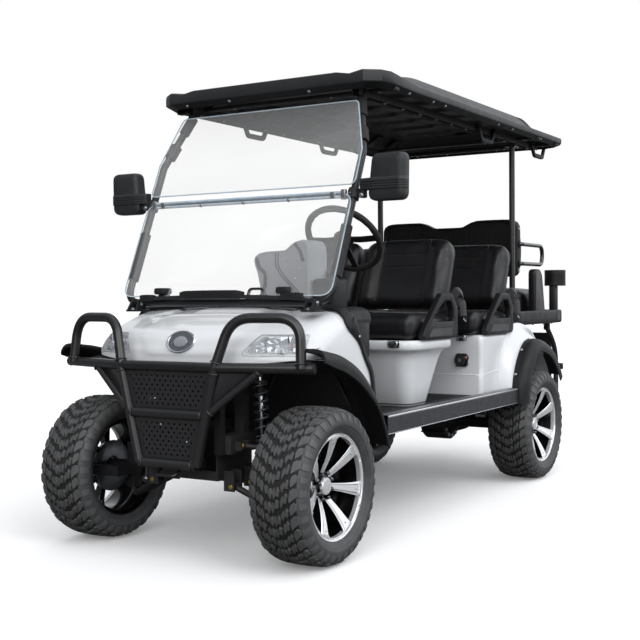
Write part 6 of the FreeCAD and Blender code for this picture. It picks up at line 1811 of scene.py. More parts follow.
def makeLatchesAndSocket():
    # Chromed over-centre latches under the cushions, and the charging socket with its small cap.
    parts = []
    for x, y in ((0.405, 0.8375), (0.395, 1.5995)):
        parts.append(block("latchPlate", (x - 0.030, y - 0.0035, 0.7595), (x + 0.030, y, 0.7897), "chrome",
                           0.0025))
        parts.append(block("latchHook", (x - 0.020, y - 0.0130, 0.7700), (x + 0.020, y - 0.0030, 0.7880),
                           "chrome", 0.003))
        parts.append(block("latchLever", (x - 0.0125, y - 0.0158, 0.7605), (x + 0.0125, y - 0.0030, 0.7775),
                           "softRubber", 0.0025))
        parts.append(tube("latchBail",
                          roundedLine([at(x - 0.015, y - 0.011, 0.766), at(x - 0.015, y - 0.011, 0.7835),
                                       at(x + 0.015, y - 0.011, 0.7835), at(x + 0.015, y - 0.011, 0.766)],
                                      0.004, 4), 0.0016, "chrome", 0, 8))
        parts.append(repeated("latchRivets", domeBolt("rivet", 0.0030, 0.0016),
                              [facing(at(x + k * 0.0255, y - 0.0035, z), (0, -1, 0)) for k in (-1,
                1) for z in (0.7645, 0.7850)], "zinc"))
    y = 1.5990
    plate = roundOutline([(0.362, 0.631), (0.428, 0.631), (0.428, 0.697), (0.362, 0.697)], 0.010)
    parts.append(extrude("socketPlate", [at(x, y, z) for x, z in plate], Vector((0, -0.006, 0)), "blackAbs",
                         0.0015))
    ring = unitTurned("socketRing",
                      [(0.0, 0.020), (0.0205, 0.020), (0.0225, 0.0215), (0.0262, 0.0205), (0.0275, 0.018),
                       (0.0275, 0.0)], 40)
    ring.data.materials.append(finishes["softRubber"])
    parts.append(moved(ring, facing(at(0.391, y - 0.005, 0.664), (0, -1, 0))))
    face = block("socketFace", (0.382, y - 0.0268, 0.6545), (0.400, y - 0.0240, 0.6735), "zinc", 0.002)
    parts.append(face)
    for k in range(2):
        parts.append(block("socketBar", (0.3815, y - 0.0274, 0.6588 + k * 0.0080),
                           (0.4005, y - 0.0240, 0.6605 + k * 0.0080), "softRubber", 0.0004, 1))
    cap = unitTurned("cap", [(0.0, 0.014), (0.010, 0.0135), (0.0125, 0.011), (0.0130, 0.0)], 24)
    cap.data.materials.append(finishes["softRubber"])
    parts.append(moved(cap, facing(at(0.4215, y - 0.008, 0.676), (0.35, -0.9, 0.1))))
    dot = unitTurned("dot", [(0.0, 0.0022), (0.0052, 0.0016), (0.0056, 0.0)], 20)
    dot.data.materials.append(finishes["redLens"])
    parts.append(moved(dot, facing(at(0.4264, y - 0.0208, 0.6775), (0.35, -0.9, 0.1))))
    parts.append(tube("capTether",
                      roundedLine([at(0.400, y - 0.018, 0.683), at(0.410, y - 0.028, 0.690),
                                   at(0.421, y - 0.014, 0.680)], 0.008, 5), 0.0022, "softRubber", 0, 8))
    parts.append(repeated("socketScrews", domeBolt("screw", 0.0034, 0.0018),
                          [facing(at(x, y - 0.006, z), (0, -1, 0)) for x in (0.3665,
            0.4235) for z in (0.6355, 0.6925)], "zinc"))
    dressed(joined("seat_latches_skin", parts), chassis, ["seat_latches"])


def makeFloor():
    # Rubber-matted floor with its upturned toe board, and the pedal pads.
    parts = []
    parts.append(block("plate", (-0.545, 0.400, 0.470), (0.545, 1.838, 0.4885), "rubberMat", 0.002))
    parts.append(block("tail", (-0.350, 1.838, 0.470), (0.350, 1.985, 0.4885), "rubberMat", 0.002))
    toe = [at(-0.470, 0.400, 0.4885), at(-0.470, 0.190, 0.715), at(-0.470, 0.186, 0.711),
           at(-0.470, 0.393, 0.4750)]
    parts.append(extrude("toe", toe, Vector((0.94, 0, 0)), "rubberMat", 0.001))
    # raised ribs of the mat in front of each seat, clear of the pods
    ribs = []
    for y0, y1 in ((0.44, 0.86), (1.20, 1.575)):
        count = int((y1 - y0) / 0.030)
        for k in range(count):
            ribs.append(Matrix.Translation(at(0, y0 + k * 0.030, 0.4885)))
    rib = extrude("rib", [(-0.40, -0.006, 0), (0.40, -0.006, 0), (0.40, 0.006, 0), (-0.40, 0.006, 0)],
                  Vector((0, 0, 0.0022)), None, 0.001, 1)
    parts.append(repeated("matRibs", rib, ribs, "rubberMat"))
    dressed(joined("floor_pan_skin", parts), chassis, ["floor_pan"])
    pads = []
    up = Vector((0, 0.190 - 0.400, 0.715 - 0.490)).normalized()
    normal = Vector((0, -up.z, up.y)) * -1
    if normal.z < 0:
        normal = -normal
    for x, high in ((0.185, 0.130), (0.315, 0.130)):
        foot = at(x, 0.400, 0.490) + up * 0.014
        corners = [foot + Vector((-0.043, 0, 0)), foot + Vector((0.043, 0, 0)),
                   foot + Vector((0.038, 0, 0)) + up * high, foot + Vector((-0.038, 0, 0)) + up * high]
        pads.append(extrude("pad", corners, normal * 0.011, "softRubber", 0.003))
        for k in range(6):
            a = foot + up * (0.018 + k * 0.019) + normal * 0.0115
            pads.append(tube("padRib", [a + Vector((-0.032, 0, 0)), a + Vector((0.032, 0, 0))], 0.0024,
                             "softRubber", 0, 6))
    dressed(joined("pedals_skin", pads), chassis, ["pedals"])


def makeSills():
    # Ribbed extrusions with a bright top lip and end caps.
    section = [(0.545, 0.4355), (0.5465, 0.4350), (0.5940, 0.4350), (0.5968, 0.4380)]
    z = 0.4415
    for k in range(6):
        section += [(0.5968, z), (0.5932, z + 0.0016), (0.5932, z + 0.0058), (0.5968, z + 0.0074)]
        z += 0.0102
    section += [(0.5968, 0.5045), (0.5950, 0.5105), (0.5910, 0.5128), (0.5480, 0.5130), (0.5450, 0.5120)]
    count = len(section)
    parts = []
    for s in (1, -1):
        y0, y1 = 0.4125, 1.8375
        verts = [at(s * x, y, z) for y in (y0, y1) for x, z in section]
        faces = [(i, (i + 1) % count, count + (i + 1) % count, count + i) for i in range(count)]
        faces += [tuple(range(count)), tuple(range(2 * count - 1, count - 1, -1))]
        parts.append(makeMesh("sill", verts, faces, "sillAlloy", 25.0))
        # tread strip on top
        strips = []
        for k in range(5):
            x = s * (0.5535 + k * 0.0082)
            strips.append(sweep("strip", [at(x, y0 + 0.006, 0.5132), at(x, y1 - 0.006, 0.5132)],
                                [(-0.0024, -0.0006), (0.0024, -0.0006), (0.0016, 0.0013),
                                 (-0.0016, 0.0013)], "zinc"))
        parts += strips
        parts.append(block("topLip", (s * 0.5955 if s > 0 else -0.5980, y0 + 0.004, 0.5050),
                           (0.5980 if s > 0 else -0.5955, y1 - 0.004, 0.5118), "machinedAlloy", 0.001))
        parts.append(block("lowLip", (s * 0.5955 if s > 0 else -0.5980, y0 + 0.004, 0.4368),
                           (0.5980 if s > 0 else -0.5955, y1 - 0.004, 0.4392), "machinedAlloy", 0.0008))
        for y in (y0 - 0.0, y1 - 0.004):
            parts.append(block("endCap", (s * 0.5445 if s > 0 else -0.5975, y, 0.4345),
                               (0.5975 if s > 0 else -0.5445, y + 0.004, 0.5135), "softRubber", 0.001))
        screws = [facing(at(s * 0.5970, y, 0.5075), (s, 0, 0)) for y in (0.55, 0.95, 1.35, 1.75)]
        parts.append(repeated("sillScrews", domeBolt("screw", 0.0036, 0.0016), screws, "zinc"))
    dressed(joined("rocker_sills_skin", parts), chassis, ["rocker_sills"])


makePod()
makeRearBody()
makeLatchesAndSocket()
makeFloor()
makeSills()
print("body made")


# Seats
def padForm(name, sizeX, sizeY, sizeZ, crown, roundness, finish="vinyl"):
    # A crowned closed cushion about its middle, with rounded corners.
    bm = bmesh.new()
    bmesh.ops.create_cube(bm, size=2.0)
    bmesh.ops.subdivide_edges(bm, edges=bm.edges[:], cuts=15, use_grid_fill=True)
    for v in bm.verts:
        x, y, z = v.co
        # superellipsoid-like rounding keeps the corners soft and the faces nearly flat
        p = roundness
        scale = 1.0 / max((abs(x) ** p + abs(y) ** p + abs(z) ** p) ** (1.0 / p), 1e-6)
        m = max(abs(x), abs(y), abs(z))
        x, y, z = x * scale * m, y * scale * m, z * scale * m
        bulge = (1 - x * x) * (1 - y * y)
        dz = crown * max(bulge, 0.0) * (1 if z > 0 else 0.0)
        v.co = Vector((x * sizeX / 2, y * sizeY / 2, z * sizeZ / 2 + dz * min(abs(z) * 1.2, 1.0)))
    data = bpy.data.meshes.new(name)
    bm.to_mesh(data)
    bm.free()
    return linkObject(name, data, finish)


def puffed(obj, voxel=0.006, pressure=4.0, cap=0.010, frameCount=14):
    # Padded by a cloth simulation from its own shape; the move of each point is capped.
    modified(obj, "REMESH", mode="VOXEL", voxel_size=voxel)
    before = [v.co.copy() for v in obj.data.vertices]
    mod = obj.modifiers.new("cloth", "CLOTH")
    mod.settings.use_pressure = True
    mod.settings.uniform_pressure_force = pressure
    mod.settings.quality = 5
    mod.settings.tension_stiffness = 22
    mod.settings.compression_stiffness = 22
    mod.settings.effector_weights.gravity = 0.0
    mod.point_cache.frame_start, mod.point_cache.frame_end = 1, frameCount
    for frameNumber in range(1, frameCount + 1):
        scene.frame_set(frameNumber)
    evaluated = obj.evaluated_get(bpy.context.evaluated_depsgraph_get())
    after = [v.co.copy() for v in evaluated.data.vertices]
    obj.modifiers.clear()
    scene.frame_set(1)
    for v, a, b in zip(obj.data.vertices, before, after):
        step = b - a
        if step.length > cap:
            step = step.normalized() * cap
        v.co = a + step
    modified(obj, "SMOOTH", factor=0.5, iterations=4)
    obj.data.shade_smooth()
    return obj


def grooves(obj, lines, depth, width):
    # Presses stitched lines into a cushion: each line is a list of points, with its pull direction.
    bm = bmesh.new()
    bm.from_mesh(obj.data)
    for v in bm.verts:
        pull = Vector((0, 0, 0))
        for points, direction in lines:
            for a, b in zip(points, points[1:]):
                ab = b - a
                t = min(max((v.co - a).dot(ab) / max(ab.length_squared, 1e-9), 0.0), 1.0)
                gap = (v.co - (a + ab * t)) - direction * (v.co - (a + ab * t)).dot(direction)
                reach = (v.co - (a + ab * t)).dot(direction)
                if gap.length < width and abs(reach) < 0.05:
                    k = math.cos(gap.length / width * math.pi / 2) ** 2
                    if k * depth > pull.length:
                        pull = -direction * depth * k
        v.co += pull
    bm.to_mesh(obj.data)
    bm.free()
    return obj


def roundedBox(name, half, radius, finish="vinyl", crown=0.0):
    # A closed upholstered block about its middle, with evenly rounded edges and a crowned top.
    cuts = 19
    def spread(h):
        corner = [-h + radius * (1 - math.cos(math.pi / 2 * k / 5)) for k in range(6)]
        span = 2 * (h - radius)
        return corner + [-h + radius + span * k / 10 for k in range(1, 10)] + [-c for c in reversed(corner)]
    lists = [spread(h) for h in half]
    bm = bmesh.new()
    bmesh.ops.create_cube(bm, size=2.0)
    bmesh.ops.subdivide_edges(bm, edges=bm.edges[:], cuts=cuts, use_grid_fill=True)
    for v in bm.verts:
        p = Vector([lists[axis][int(round((v.co[axis] + 1) / 2 * (cuts + 1)))] for axis in range(3)])
        q = Vector([min(max(p[axis], radius - half[axis]), half[axis] - radius) for axis in range(3)])
        if (p - q).length > 1e-7:
            p = q + (p - q).normalized() * radius
        if p.z > 0:
            p.z += crown * (1 - (p.x / half[0]) ** 2) * (1 - (p.y / half[1]) ** 2)
        v.co = p
    data = bpy.data.meshes.new(name)
    bm.to_mesh(data)
    bm.free()
    obj = linkObject(name, data, finish)
    data.shade_smooth()
    return obj


def finer(obj):
    # One subdivision once the simulation is done, so that the stitched lines read.
    modified(obj, "SUBSURF", levels=1, render_levels=1)
    obj.data.shade_smooth()
    return obj


def piped(name, obj, points, toward, radius, sink=0.0):
    # Piping laid on a cushion along a line, found by looking at it from outside.
    tree = BVHTree.FromObject(obj, bpy.context.evaluated_depsgraph_get())
    line = []
    for p in points:
        hit = tree.ray_cast(p - toward * 0.2, toward)[0]
        if hit is not None:
            line.append(hit + toward * sink)
    return sweep(name, curveThrough(line, len(line) * 2), circle(radius, 6), "vinyl")


def seatCushion(name, frontY):
    # Bench cushion: a thick rounded block, dished for two, with seams and end piping.
    half = (0.4845, 0.2265, 0.0545)
    pad = roundedBox(name, half, 0.036, crown=0.006)
    for v in pad.data.vertices:
        u, w = v.co.x / half[0], v.co.y / half[1]
        if v.co.z > 0.03:
            v.co.z -= 0.010 * math.exp(-((abs(u) - 0.5) / 0.24) ** 2) * math.exp(-((w - 0.15) / 0.5) ** 2)
            v.co.z += 0.004 * math.exp(-((w + 0.72) / 0.2) ** 2)
    pad.data.transform(Matrix.Translation(at(0, frontY + 0.2275, seatBase + 0.0565)))
    puffed(pad, 0.0090, 4.0, 0.005)
    finer(pad)
    top, front = Vector((0, 0, 1)), Vector((0, 1, 0))
    lines = [([at(x, frontY + 0.02, 0.9), at(x, frontY + 0.44, 0.9)], top) for x in (-0.225, 0.0, 0.225)]
    grooves(pad, [([at(x, frontY, 0.80), at(x, frontY, 0.893)], front) for x in (-0.225, 0.0, 0.225)],
            0.0035, 0.008)
    grooves(pad, lines, 0.0035, 0.008)
    pad.data.shade_smooth()
    seams = []
    for x in (-0.452, -0.430, -0.225, 0.0, 0.225, 0.430, 0.452):
        seams.append(piped("seam", pad,
                           [at(x, frontY + 0.2, seatBase + 0.020 + 0.007 * k) for k in range(11)], front,
                           0.0015))
        seams.append(piped("seam", pad, [at(x, frontY + 0.020 + 0.040 * k, 0.9) for k in range(11)], -top,
                           0.0015))
    return pad, joined(name + "_seams", seams)


def seatBack(name, frontY, side):
    # One back: side bolsters round a flat stitched middle panel, padded by its own simulation.
    half = (0.2325, 0.0440, 0.1775)
    pad = roundedBox(name, half, 0.032)
    for v in pad.data.vertices:
        u, w = abs(v.co.x) / half[0], v.co.z / half[2]
        if v.co.y < 0:
            v.co.y -= (0.018 * smoothstep(u, 0.50,
                                          0.72) * (1 - 0.6 * smoothstep(u, 0.86,
                                                                        1.0)) + 0.006 * math.exp(-((w
                    + 0.45) / 0.4) ** 2)) * (1 - smoothstep(w, 0.6, 1.0))
        v.co.x *= 1 - 0.050 * smoothstep(w, 0.55, 1.0) ** 2
        v.co.z -= 0.020 * (u ** 6) * smoothstep(w, 0.0, 1.0)
    lean = Vector((0, 0.118, 0.338)).normalized()
    front = Vector((0, -lean.z, lean.y))
    foot = at(side * 0.2450, frontY + 0.435, 0.906) + lean * half[2] + front * (half[1] + 0.002)
    place = Matrix.Translation(foot) @ Matrix((Vector((1, 0, 0)), -front, lean)).transposed().to_4x4()
    pad.data.transform(place)
    puffed(pad, 0.0080, 4.0, 0.005)
    finer(pad)
    turn = place.to_3x3()
    out = turn @ Vector((0, 1, 0))
    def spot(x, z):
        return place @ Vector((x, 0, z))
    upright = [([spot(s * 0.130, -0.150), spot(s * 0.122, 0.165)], out) for s in (1, -1)]
    grooves(pad, upright, 0.0040, 0.008)
    across = [([spot(-0.124, z), spot(0.124, z)], out) for z in (-0.100, -0.040, 0.022, 0.086)]
    grooves(pad, across, 0.0016, 0.006)
    pad.data.shade_smooth()
    seams = []
    for s in (1, -1):
        seams.append(piped("seam", pad,
                           [spot(s * (0.130 - 0.008 * k / 20), -0.150 + 0.0165 * k) for k in range(20)],
                           out, 0.0014))
    rim = [place @ Vector((s * (half[0] + 0.1), 0.006, z)) for s in (side,
                                                                     ) for z in [-0.15 + 0.0158 * k
            for k in range(19)]]
    seams.append(piped("seam", pad, [p + turn @ Vector((-side * 0.1, 0, 0)) for p in rim],
                       turn @ Vector((-side, 0, 0)), 0.0016))
    return pad, joined(name + "_seams", seams)


def makeSeats():
    for row, frontY in enumerate((0.848, 1.560)):
        pad, seams = seatCushion("seat_cushion_row%d" % (row + 1), frontY)
        dressed(pad, chassis, ["seat_cushions"] if row == 0 else [])
        dressed(seams, chassis)
        for side in (1, -1):
            back, seams = seatBack("seat_back_row%d_%s" % (row + 1, "left" if side > 0 else "right"),
                                   frontY, side)
            dressed(back, chassis, ["seat_backs"] if row == 0 and side > 0 else [])
            dressed(seams, chassis)


makeSeats()
print("seats made")


# Roof
def roofRing(inset, z):
    # Plan outline of the roof, its corners softened: swept front corners, straight sides, clipped rear
    # corners.
    w, c = 0.572 - inset, 0.090
    front, corner, rear = 0.415 + inset, 0.512 + inset, 2.690 - inset
    nose = 0.492 - inset
    bulge = (w - nose) * 0.25
    clip = c * 0.3
    half = [(nose, front), (w - bulge, (front + corner) / 2), (w, corner), (w, rear - c),
            (w - clip, rear - clip), (w - c, rear)]
    # straight runs carry extra points, so that crown and ribs can bend them
    loop = []
    full = half + [(-x, y) for x, y in reversed(half)]
    for (xa, ya), (xb, yb) in zip(full, full[1:] + full[:1]):
        length = math.hypot(xb - xa, yb - ya)
        cuts = max(int(length / 0.06), 1)
        for k in range(cuts):
            t = k / cuts
            loop.append(at(xa + (xb - xa) * t, ya + (yb - ya) * t, z))
    return loop


def roofLevels():
    # (inset, height) of the outer skin from the lower edge to the plateau's edge.
    return [(0.0300, 1.8262), (0.0045, 1.8400), (0.0010, 1.8425), (0.0, 1.8450), (0.0, 1.8640),
            (0.0020, 1.8695), (0.0070, 1.8725),
            (0.0160, 1.8735), (0.0500, 1.8760), (0.0900, 1.8900), (0.1250, 1.9180), (0.1600, 1.9560),
            (0.1800, 1.9760), (0.1950, 1.9850)]


def roofRise(y, z):
    # The front lip stands a little higher, and the crown only rises behind it.
    shelf = 1.8735
    front = 0.0185 * (1 - smoothstep(y, 0.46, 0.80))
    if z > shelf:
        return shelf + (z - shelf) * smoothstep(y, 0.42, 1.15) + front
    return z + front * smoothstep(z, 1.858, 1.870) + 0.006 * (front / 0.0185) * smoothstep(z, 1.838, 1.840)


def notchCut(p):
    # The two small drain notches at the roof's front edge.
    if p.y - axleY < 0.50:
        d = abs(abs(p.x) - 0.404)
        if p.z > 1.872:
            return -0.0105 * (1 - smoothstep(d, 0.026, 0.034)) * (1 - smoothstep(p.y - axleY, 0.440, 0.475))
    return 0.0


def liningRise(y, z):
    return roofRise(y, z) - 0.007 if z > 1.87 else z


def makeRoof():
    # matching rings: every level uses the same count of points by sampling one outline and moving it in
    base = roofRing(0.0, 0.0)
    count = len(base)
    rows = []
    for inset, z in roofLevels():
        ring = []
        for p in base:
            x, y = p.x, p.y - axleY
            sx = 1 if x > 0 else -1
            k = min(inset, 0.30)
            if y < 0.60:
                ny = y + k
            elif y > 2.50:
                ny = y - k
            else:
                ny = y
            nx = x - sx * k * smoothstep(abs(x), 0.0, 0.50)
            q = at(nx, ny, roofRise(ny, z))
            q.z += notchCut(q)
            ring.append(q)
        rows.append(ring)
    skin = surface("roofSkinTop", rows, "roofSkin", 28.0, True)
    # the lip's downward face takes the lining's black as painted shade, since it faces away from the light
    skin.data.materials.append(finishes["blackAbs"])
    for face in skin.data.polygons[:count]:
        face.material_index = 1
    # crown: a grid over the plateau, domed, with long pressed ribs
    n, m = 26, 60
    inset = 0.1950
    x0, y0, y1 = 0.572 - inset, 0.415 + inset, 2.690 - inset
    crownRows = []
    for j in range(m + 1):
        y = y0 + (y1 - y0) * j / m
        row = []
        for i in range(n + 1):
            x = -x0 + 2 * x0 * i / n
            # pull the corners in so that the grid fills the clipped outline
            limit = x0
            if y < y0 + 0.097:
                limit = (0.492 - inset) + (x0 - (0.492 - inset)) * min((y - y0) / 0.097, 1.0)
            if y > y1 - 0.090:
                limit = x0 - 0.090 * smoothstep(y, y1 - 0.090, y1) * 0.9
            x = x * limit / x0
            edge = min((x0 - abs(x)) / 0.04, (y - y0) / 0.04, (y1 - y) / 0.04, 1.0)
            rib = 0.0
            for cx in (-0.20, 0.0, 0.20):
                rib += 0.006 * (1 - smoothstep(abs(x - cx), 0.030, 0.045)) * smoothstep(y, 0.80,
                        0.84) * (1 - smoothstep(y, 2.30, 2.34))
            # high rear hump falls away towards the front
            row.append(at(x, y, roofRise(y, 1.9850 + 0.0030 * max(edge, 0) - rib * 0.8)))
        crownRows.append(row)
    crown = surface("crown", crownRows, "roofSkin", 28.0)
    # lining: the underside follows the skin a little lower, with cross ribs pressed into it
    under = []
    for inset, z in ((0.0300, 1.8262), (0.0310, 1.8300), (0.0330, 1.8580), (0.0600, 1.8640),
                     (0.0900, 1.8740), (0.1250, 1.9010), (0.1600, 1.9260), (0.185, 1.9360)):
        ring = []
        for p in base:
            x, y = p.x, p.y - axleY
            sx = 1 if x > 0 else -1
            ny = y + inset if y < 0.60 else y - inset if y > 2.50 else y
            ring.append(at(x - sx * inset * smoothstep(abs(x), 0.0, 0.50), ny, liningRise(ny, z)))
        under.append(ring)
    lining = surface("lining", under, "blackAbs", 28.0, True)
    ceiling = []
    n, m = 40, 130
    x0, y0, y1 = 0.572 - 0.185, 0.415 + 0.185, 2.690 - 0.185
    for j in range(m + 1):
        y = y0 - 0.004 + (y1 - y0 + 0.008) * j / m
        row = []
        for i in range(n + 1):
            x = (-x0 + 2 * x0 * i / n) * 1.01
            wave = 0.0
            # raised cross channels, wider in the middle, and one lengthwise spine
            phase = ((y - 0.62) / 0.235) % 1.0
            wave = 0.014 * (smoothstep(phase, 0.0, 0.14) - smoothstep(phase, 0.52,
                                                                      0.66)) * (1 - smoothstep(abs(x), 0.26,
                    0.31))
            wave += 0.010 * (1 - smoothstep(abs(x), 0.030, 0.045))
            row.append(at(x, y, liningRise(y, 1.9360 + min(wave, 0.018))))
        ceiling.append(row)
    top = surface("ceiling", ceiling, "blackAbs", 35.0)
    parts = [skin, crown, lining, top]
    # side channels and cross ribs pressed along the lining's slope
    for s in (1, -1):
        for k in range(9):
            y = 0.72 + 0.22 * k
            rib = [at(s * 0.530, y, 1.8560), at(s * 0.500, y, 1.8610),
                   at(s * 0.447, y, liningRise(y, 1.8990)), at(s * 0.400, y, liningRise(y, 1.9250))]
            parts.append(sweep("slopeRib", rib,
                               [(-0.034, -0.004), (0.034, -0.004), (0.026, 0.007), (-0.026, 0.007)],
                               "blackAbs", up=Vector((0, 0, -1))))
    bolt = domeBolt("bolt", 0.0085, 0.004)
    places = []
    for s in (1, -1):
        for y in (0.62, 0.80, 0.98, 1.30, 1.52, 1.96, 2.18, 2.30, 2.38, 2.58):
            places.append(facing(at(s * 0.5405, y, 1.8440), (-s, 0, 0)))
    for x in (-0.36, -0.16, 0.16, 0.36):
        places.append(facing(at(x, 0.4465, 1.8440), (0, 1, 0)))
        places.append(facing(at(x, 2.6585, 1.8440), (0, -1, 0)))
    parts.append(repeated("roofBolts", bolt, places, "zinc"))
    # front bolts show on the underside lip in the photograph
    low = domeBolt("bolt", 0.0075, 0.0040)
    parts.append(repeated("lipBolts", low,
                          [facing(at(x, 0.4310, 1.8340), (0, -0.5, -0.87)) for x in (-0.405, -0.176, 0.229)]
                          + [facing(at(s * 0.5560, y, 1.8330), (s * 0.5, 0, -0.87)) for s in (1,
                                  -1) for y in (0.70, 0.935, 1.06, 1.69, 1.88, 2.30)], "zinc"))
    dressed(joined("roof_skin", parts), chassis, ["roof"])


def makeRoofRails():
    # Rolled channels under the roof, cross bars, screw heads and five hanging grab handles.
    parts = []
    for s in (1, -1):
        section = [(-0.018, -0.0165), (0.018, -0.0165), (0.018, 0.0165), (0.0145, 0.0165),
                   (0.0145, -0.0125), (-0.0145, -0.0125), (-0.0145, 0.0165), (-0.018, 0.0165)]
        parts.append(sweep("rail", [at(s * 0.424, y, 1.8260) for y in (0.4765, 1.0, 1.6, 2.2, 2.563)],
                           section, "framePaint", angle=20.0))
    for y in (0.576, 2.256, 2.546):
        parts.append(block("crossBar", (-0.5650, y - 0.018, 1.8275), (0.5650, y + 0.018, 1.8425),
                           "framePaint", 0.003))
    for s, middles in ((1, (1.785, 2.545)), (-1, (1.035, 1.745, 2.455))):
        for y in middles:
            outer = roundedLine([at(s * 0.4535, y - 0.1050, 1.8410), at(s * 0.4535, y - 0.0660, 1.7730),
                                 at(s * 0.4535, y + 0.0660, 1.7730), at(s * 0.4535, y + 0.1050, 1.8410)],
                                0.024, 8)
            parts.append(sweep("handle", outer,
                               [(-0.0115, -0.0060), (-0.006, -0.0085), (0.006, -0.0085), (0.0115, -0.0060),
                                (0.0115, 0.0060), (0.006, 0.0085), (-0.006, 0.0085), (-0.0115, 0.0060)],
                               "blackAbs", up=Vector((s, 0, 0))))
            for side in (-1, 1):
                parts.append(block("handleFoot", (s * 0.4535 - 0.0125, y + side * 0.104 - 0.020, 1.8330),
                                   (s * 0.4535 + 0.0125, y + side * 0.104 + 0.020, 1.8440), "blackAbs",
                                   0.003))
                parts.append(tube("handleHinge",
                                  [at(s * 0.4535 - 0.0125, y + side * 0.100, 1.8320),
                                   at(s * 0.4535 + 0.0125, y + side * 0.100, 1.8320)], 0.0085, "blackAbs",
                                  0, 14))
    screw = domeBolt("screw", 0.0065, 0.0032)
    places = []
    for s in (1, -1):
        for k in range(12):
            places.append(facing(at(s * 0.424, 0.56 + 0.172 * k, 1.8095), (0, 0, -1)))
    for y in (0.576, 2.256, 2.546):
        for x in (-0.48, -0.25, 0.25, 0.48):
            places.append(facing(at(x, y, 1.8275), (0, 0, -1)))
    parts.append(repeated("railScrews", screw, places, "zinc"))
    dressed(joined("roof_rails_skin", parts), chassis, ["roof_rails"])


def makePosts():
    parts = []
    for s in (1, -1):
        parts.append(tube("post", [at(s * 0.408, 2.256, 0.8625), at(s * 0.408, 2.256, 1.8080)], 0.0158,
                          "satinCoat", 0, 24))
        for z, h in ((0.8625, 0.010), (1.7960, 0.012)):
            parts.append(block("flange", (s * 0.408 - 0.032, 2.256 - 0.030, z),
                               (s * 0.408 + 0.032, 2.256 + 0.030, z + h * 0.6), "satinCoat", 0.003))
            parts.append(repeated("flangeBolts", hexBolt("bolt", 0.011, 0.005),
                                  [facing(at(s * 0.408 + dx, 2.256 + dy, z + h * 0.6 if z < 1 else z),
                                          (0, 0, 1 if z < 1 else -1)) for dx in (-0.022,
                    0.022) for dy in (-0.020, 0.020)], "zinc"))
        parts.append(weldRing("weld", at(s * 0.408, 2.256, 0.8700), (0, 0, 1), 0.0165))
    dressed(joined("rear_posts_skin", parts), chassis, ["rear_posts"])


makeRoof()
makeRoofRails()
makePosts()
print("roof made")


# Armrests and belts
def makeArmrest(name, frontY, s):
    # Moulded A-frame: a rounded band with its inset panel below.
    z, x0, width = seatBase + 0.0012, 0.4875, 0.0315
    outer = [(frontY, z), (frontY + 0.230, z + 0.206), (frontY + 0.343, z + 0.206),
             (frontY + 0.401, z + 0.140), (frontY + 0.401, z)]
    hole = [(frontY + 0.104, z + 0.078), (frontY + 0.256, z + 0.170), (frontY + 0.326, z + 0.170),
            (frontY + 0.352, z + 0.128), (frontY + 0.358, z + 0.078)]
    outerLine = roundOutline(outer, 0.030, 6)
    holeLine = roundOutline(hole, 0.016, 6)
    # a flat ring of faces between outline and hole, made solid with rounded edges
    bm = bmesh.new()
    edges = []
    for loop in (outerLine, holeLine):
        ring = [bm.verts.new(at(0, y, zz)) for y, zz in loop]
        edges += [bm.edges.new((ring[k], ring[(k + 1) % len(ring)])) for k in range(len(ring))]
    bmesh.ops.triangle_fill(bm, edges=edges, use_beauty=True)
    data = bpy.data.meshes.new(name)
    bm.to_mesh(data)
    bm.free()
    frame_ = linkObject("armFrame", data, "blackAbs")
    modified(frame_, "SOLIDIFY", thickness=width, offset=0.0)
    bm = bmesh.new()
    bm.from_mesh(frame_.data)
    bmesh.ops.recalc_face_normals(bm, faces=bm.faces)
    bmesh.ops.dissolve_limit(bm, angle_limit=0.01, verts=bm.verts, edges=bm.edges)
    bm.to_mesh(frame_.data)
    bm.free()
    bevelled(frame_, 0.0065, 3, 50.0)
    moved(frame_, Matrix.Translation((s * (x0 + width / 2), 0, 0)))
    # inset panel with a raised border
    panel = roundOutline([(frontY + 0.080, z + 0.012), (frontY + 0.124, z + 0.050),
                          (frontY + 0.340, z + 0.050), (frontY + 0.340, z + 0.012)], 0.007, 4)
    face = s * (x0 + width)
    border = sweep("border", [at(face - s * 0.0005, y, zz) for y, zz in panel], circle(0.0022, 6),
                   "blackAbs", True, up=Vector((1, 0, 0)))
    plate = extrude("plate", [at(face - s * 0.004, y, zz) for y, zz in panel], Vector((s * 0.0048, 0, 0)),
                    "greyPanel")
    return [frame_, border, plate]


def makeArmrests():
    parts = []
    for frontY in (0.8735, 1.5855):
        for s in (1, -1):
            parts += makeArmrest("armrest", frontY, s)
    dressed(joined("armrests_skin", parts), chassis, ["armrests"])


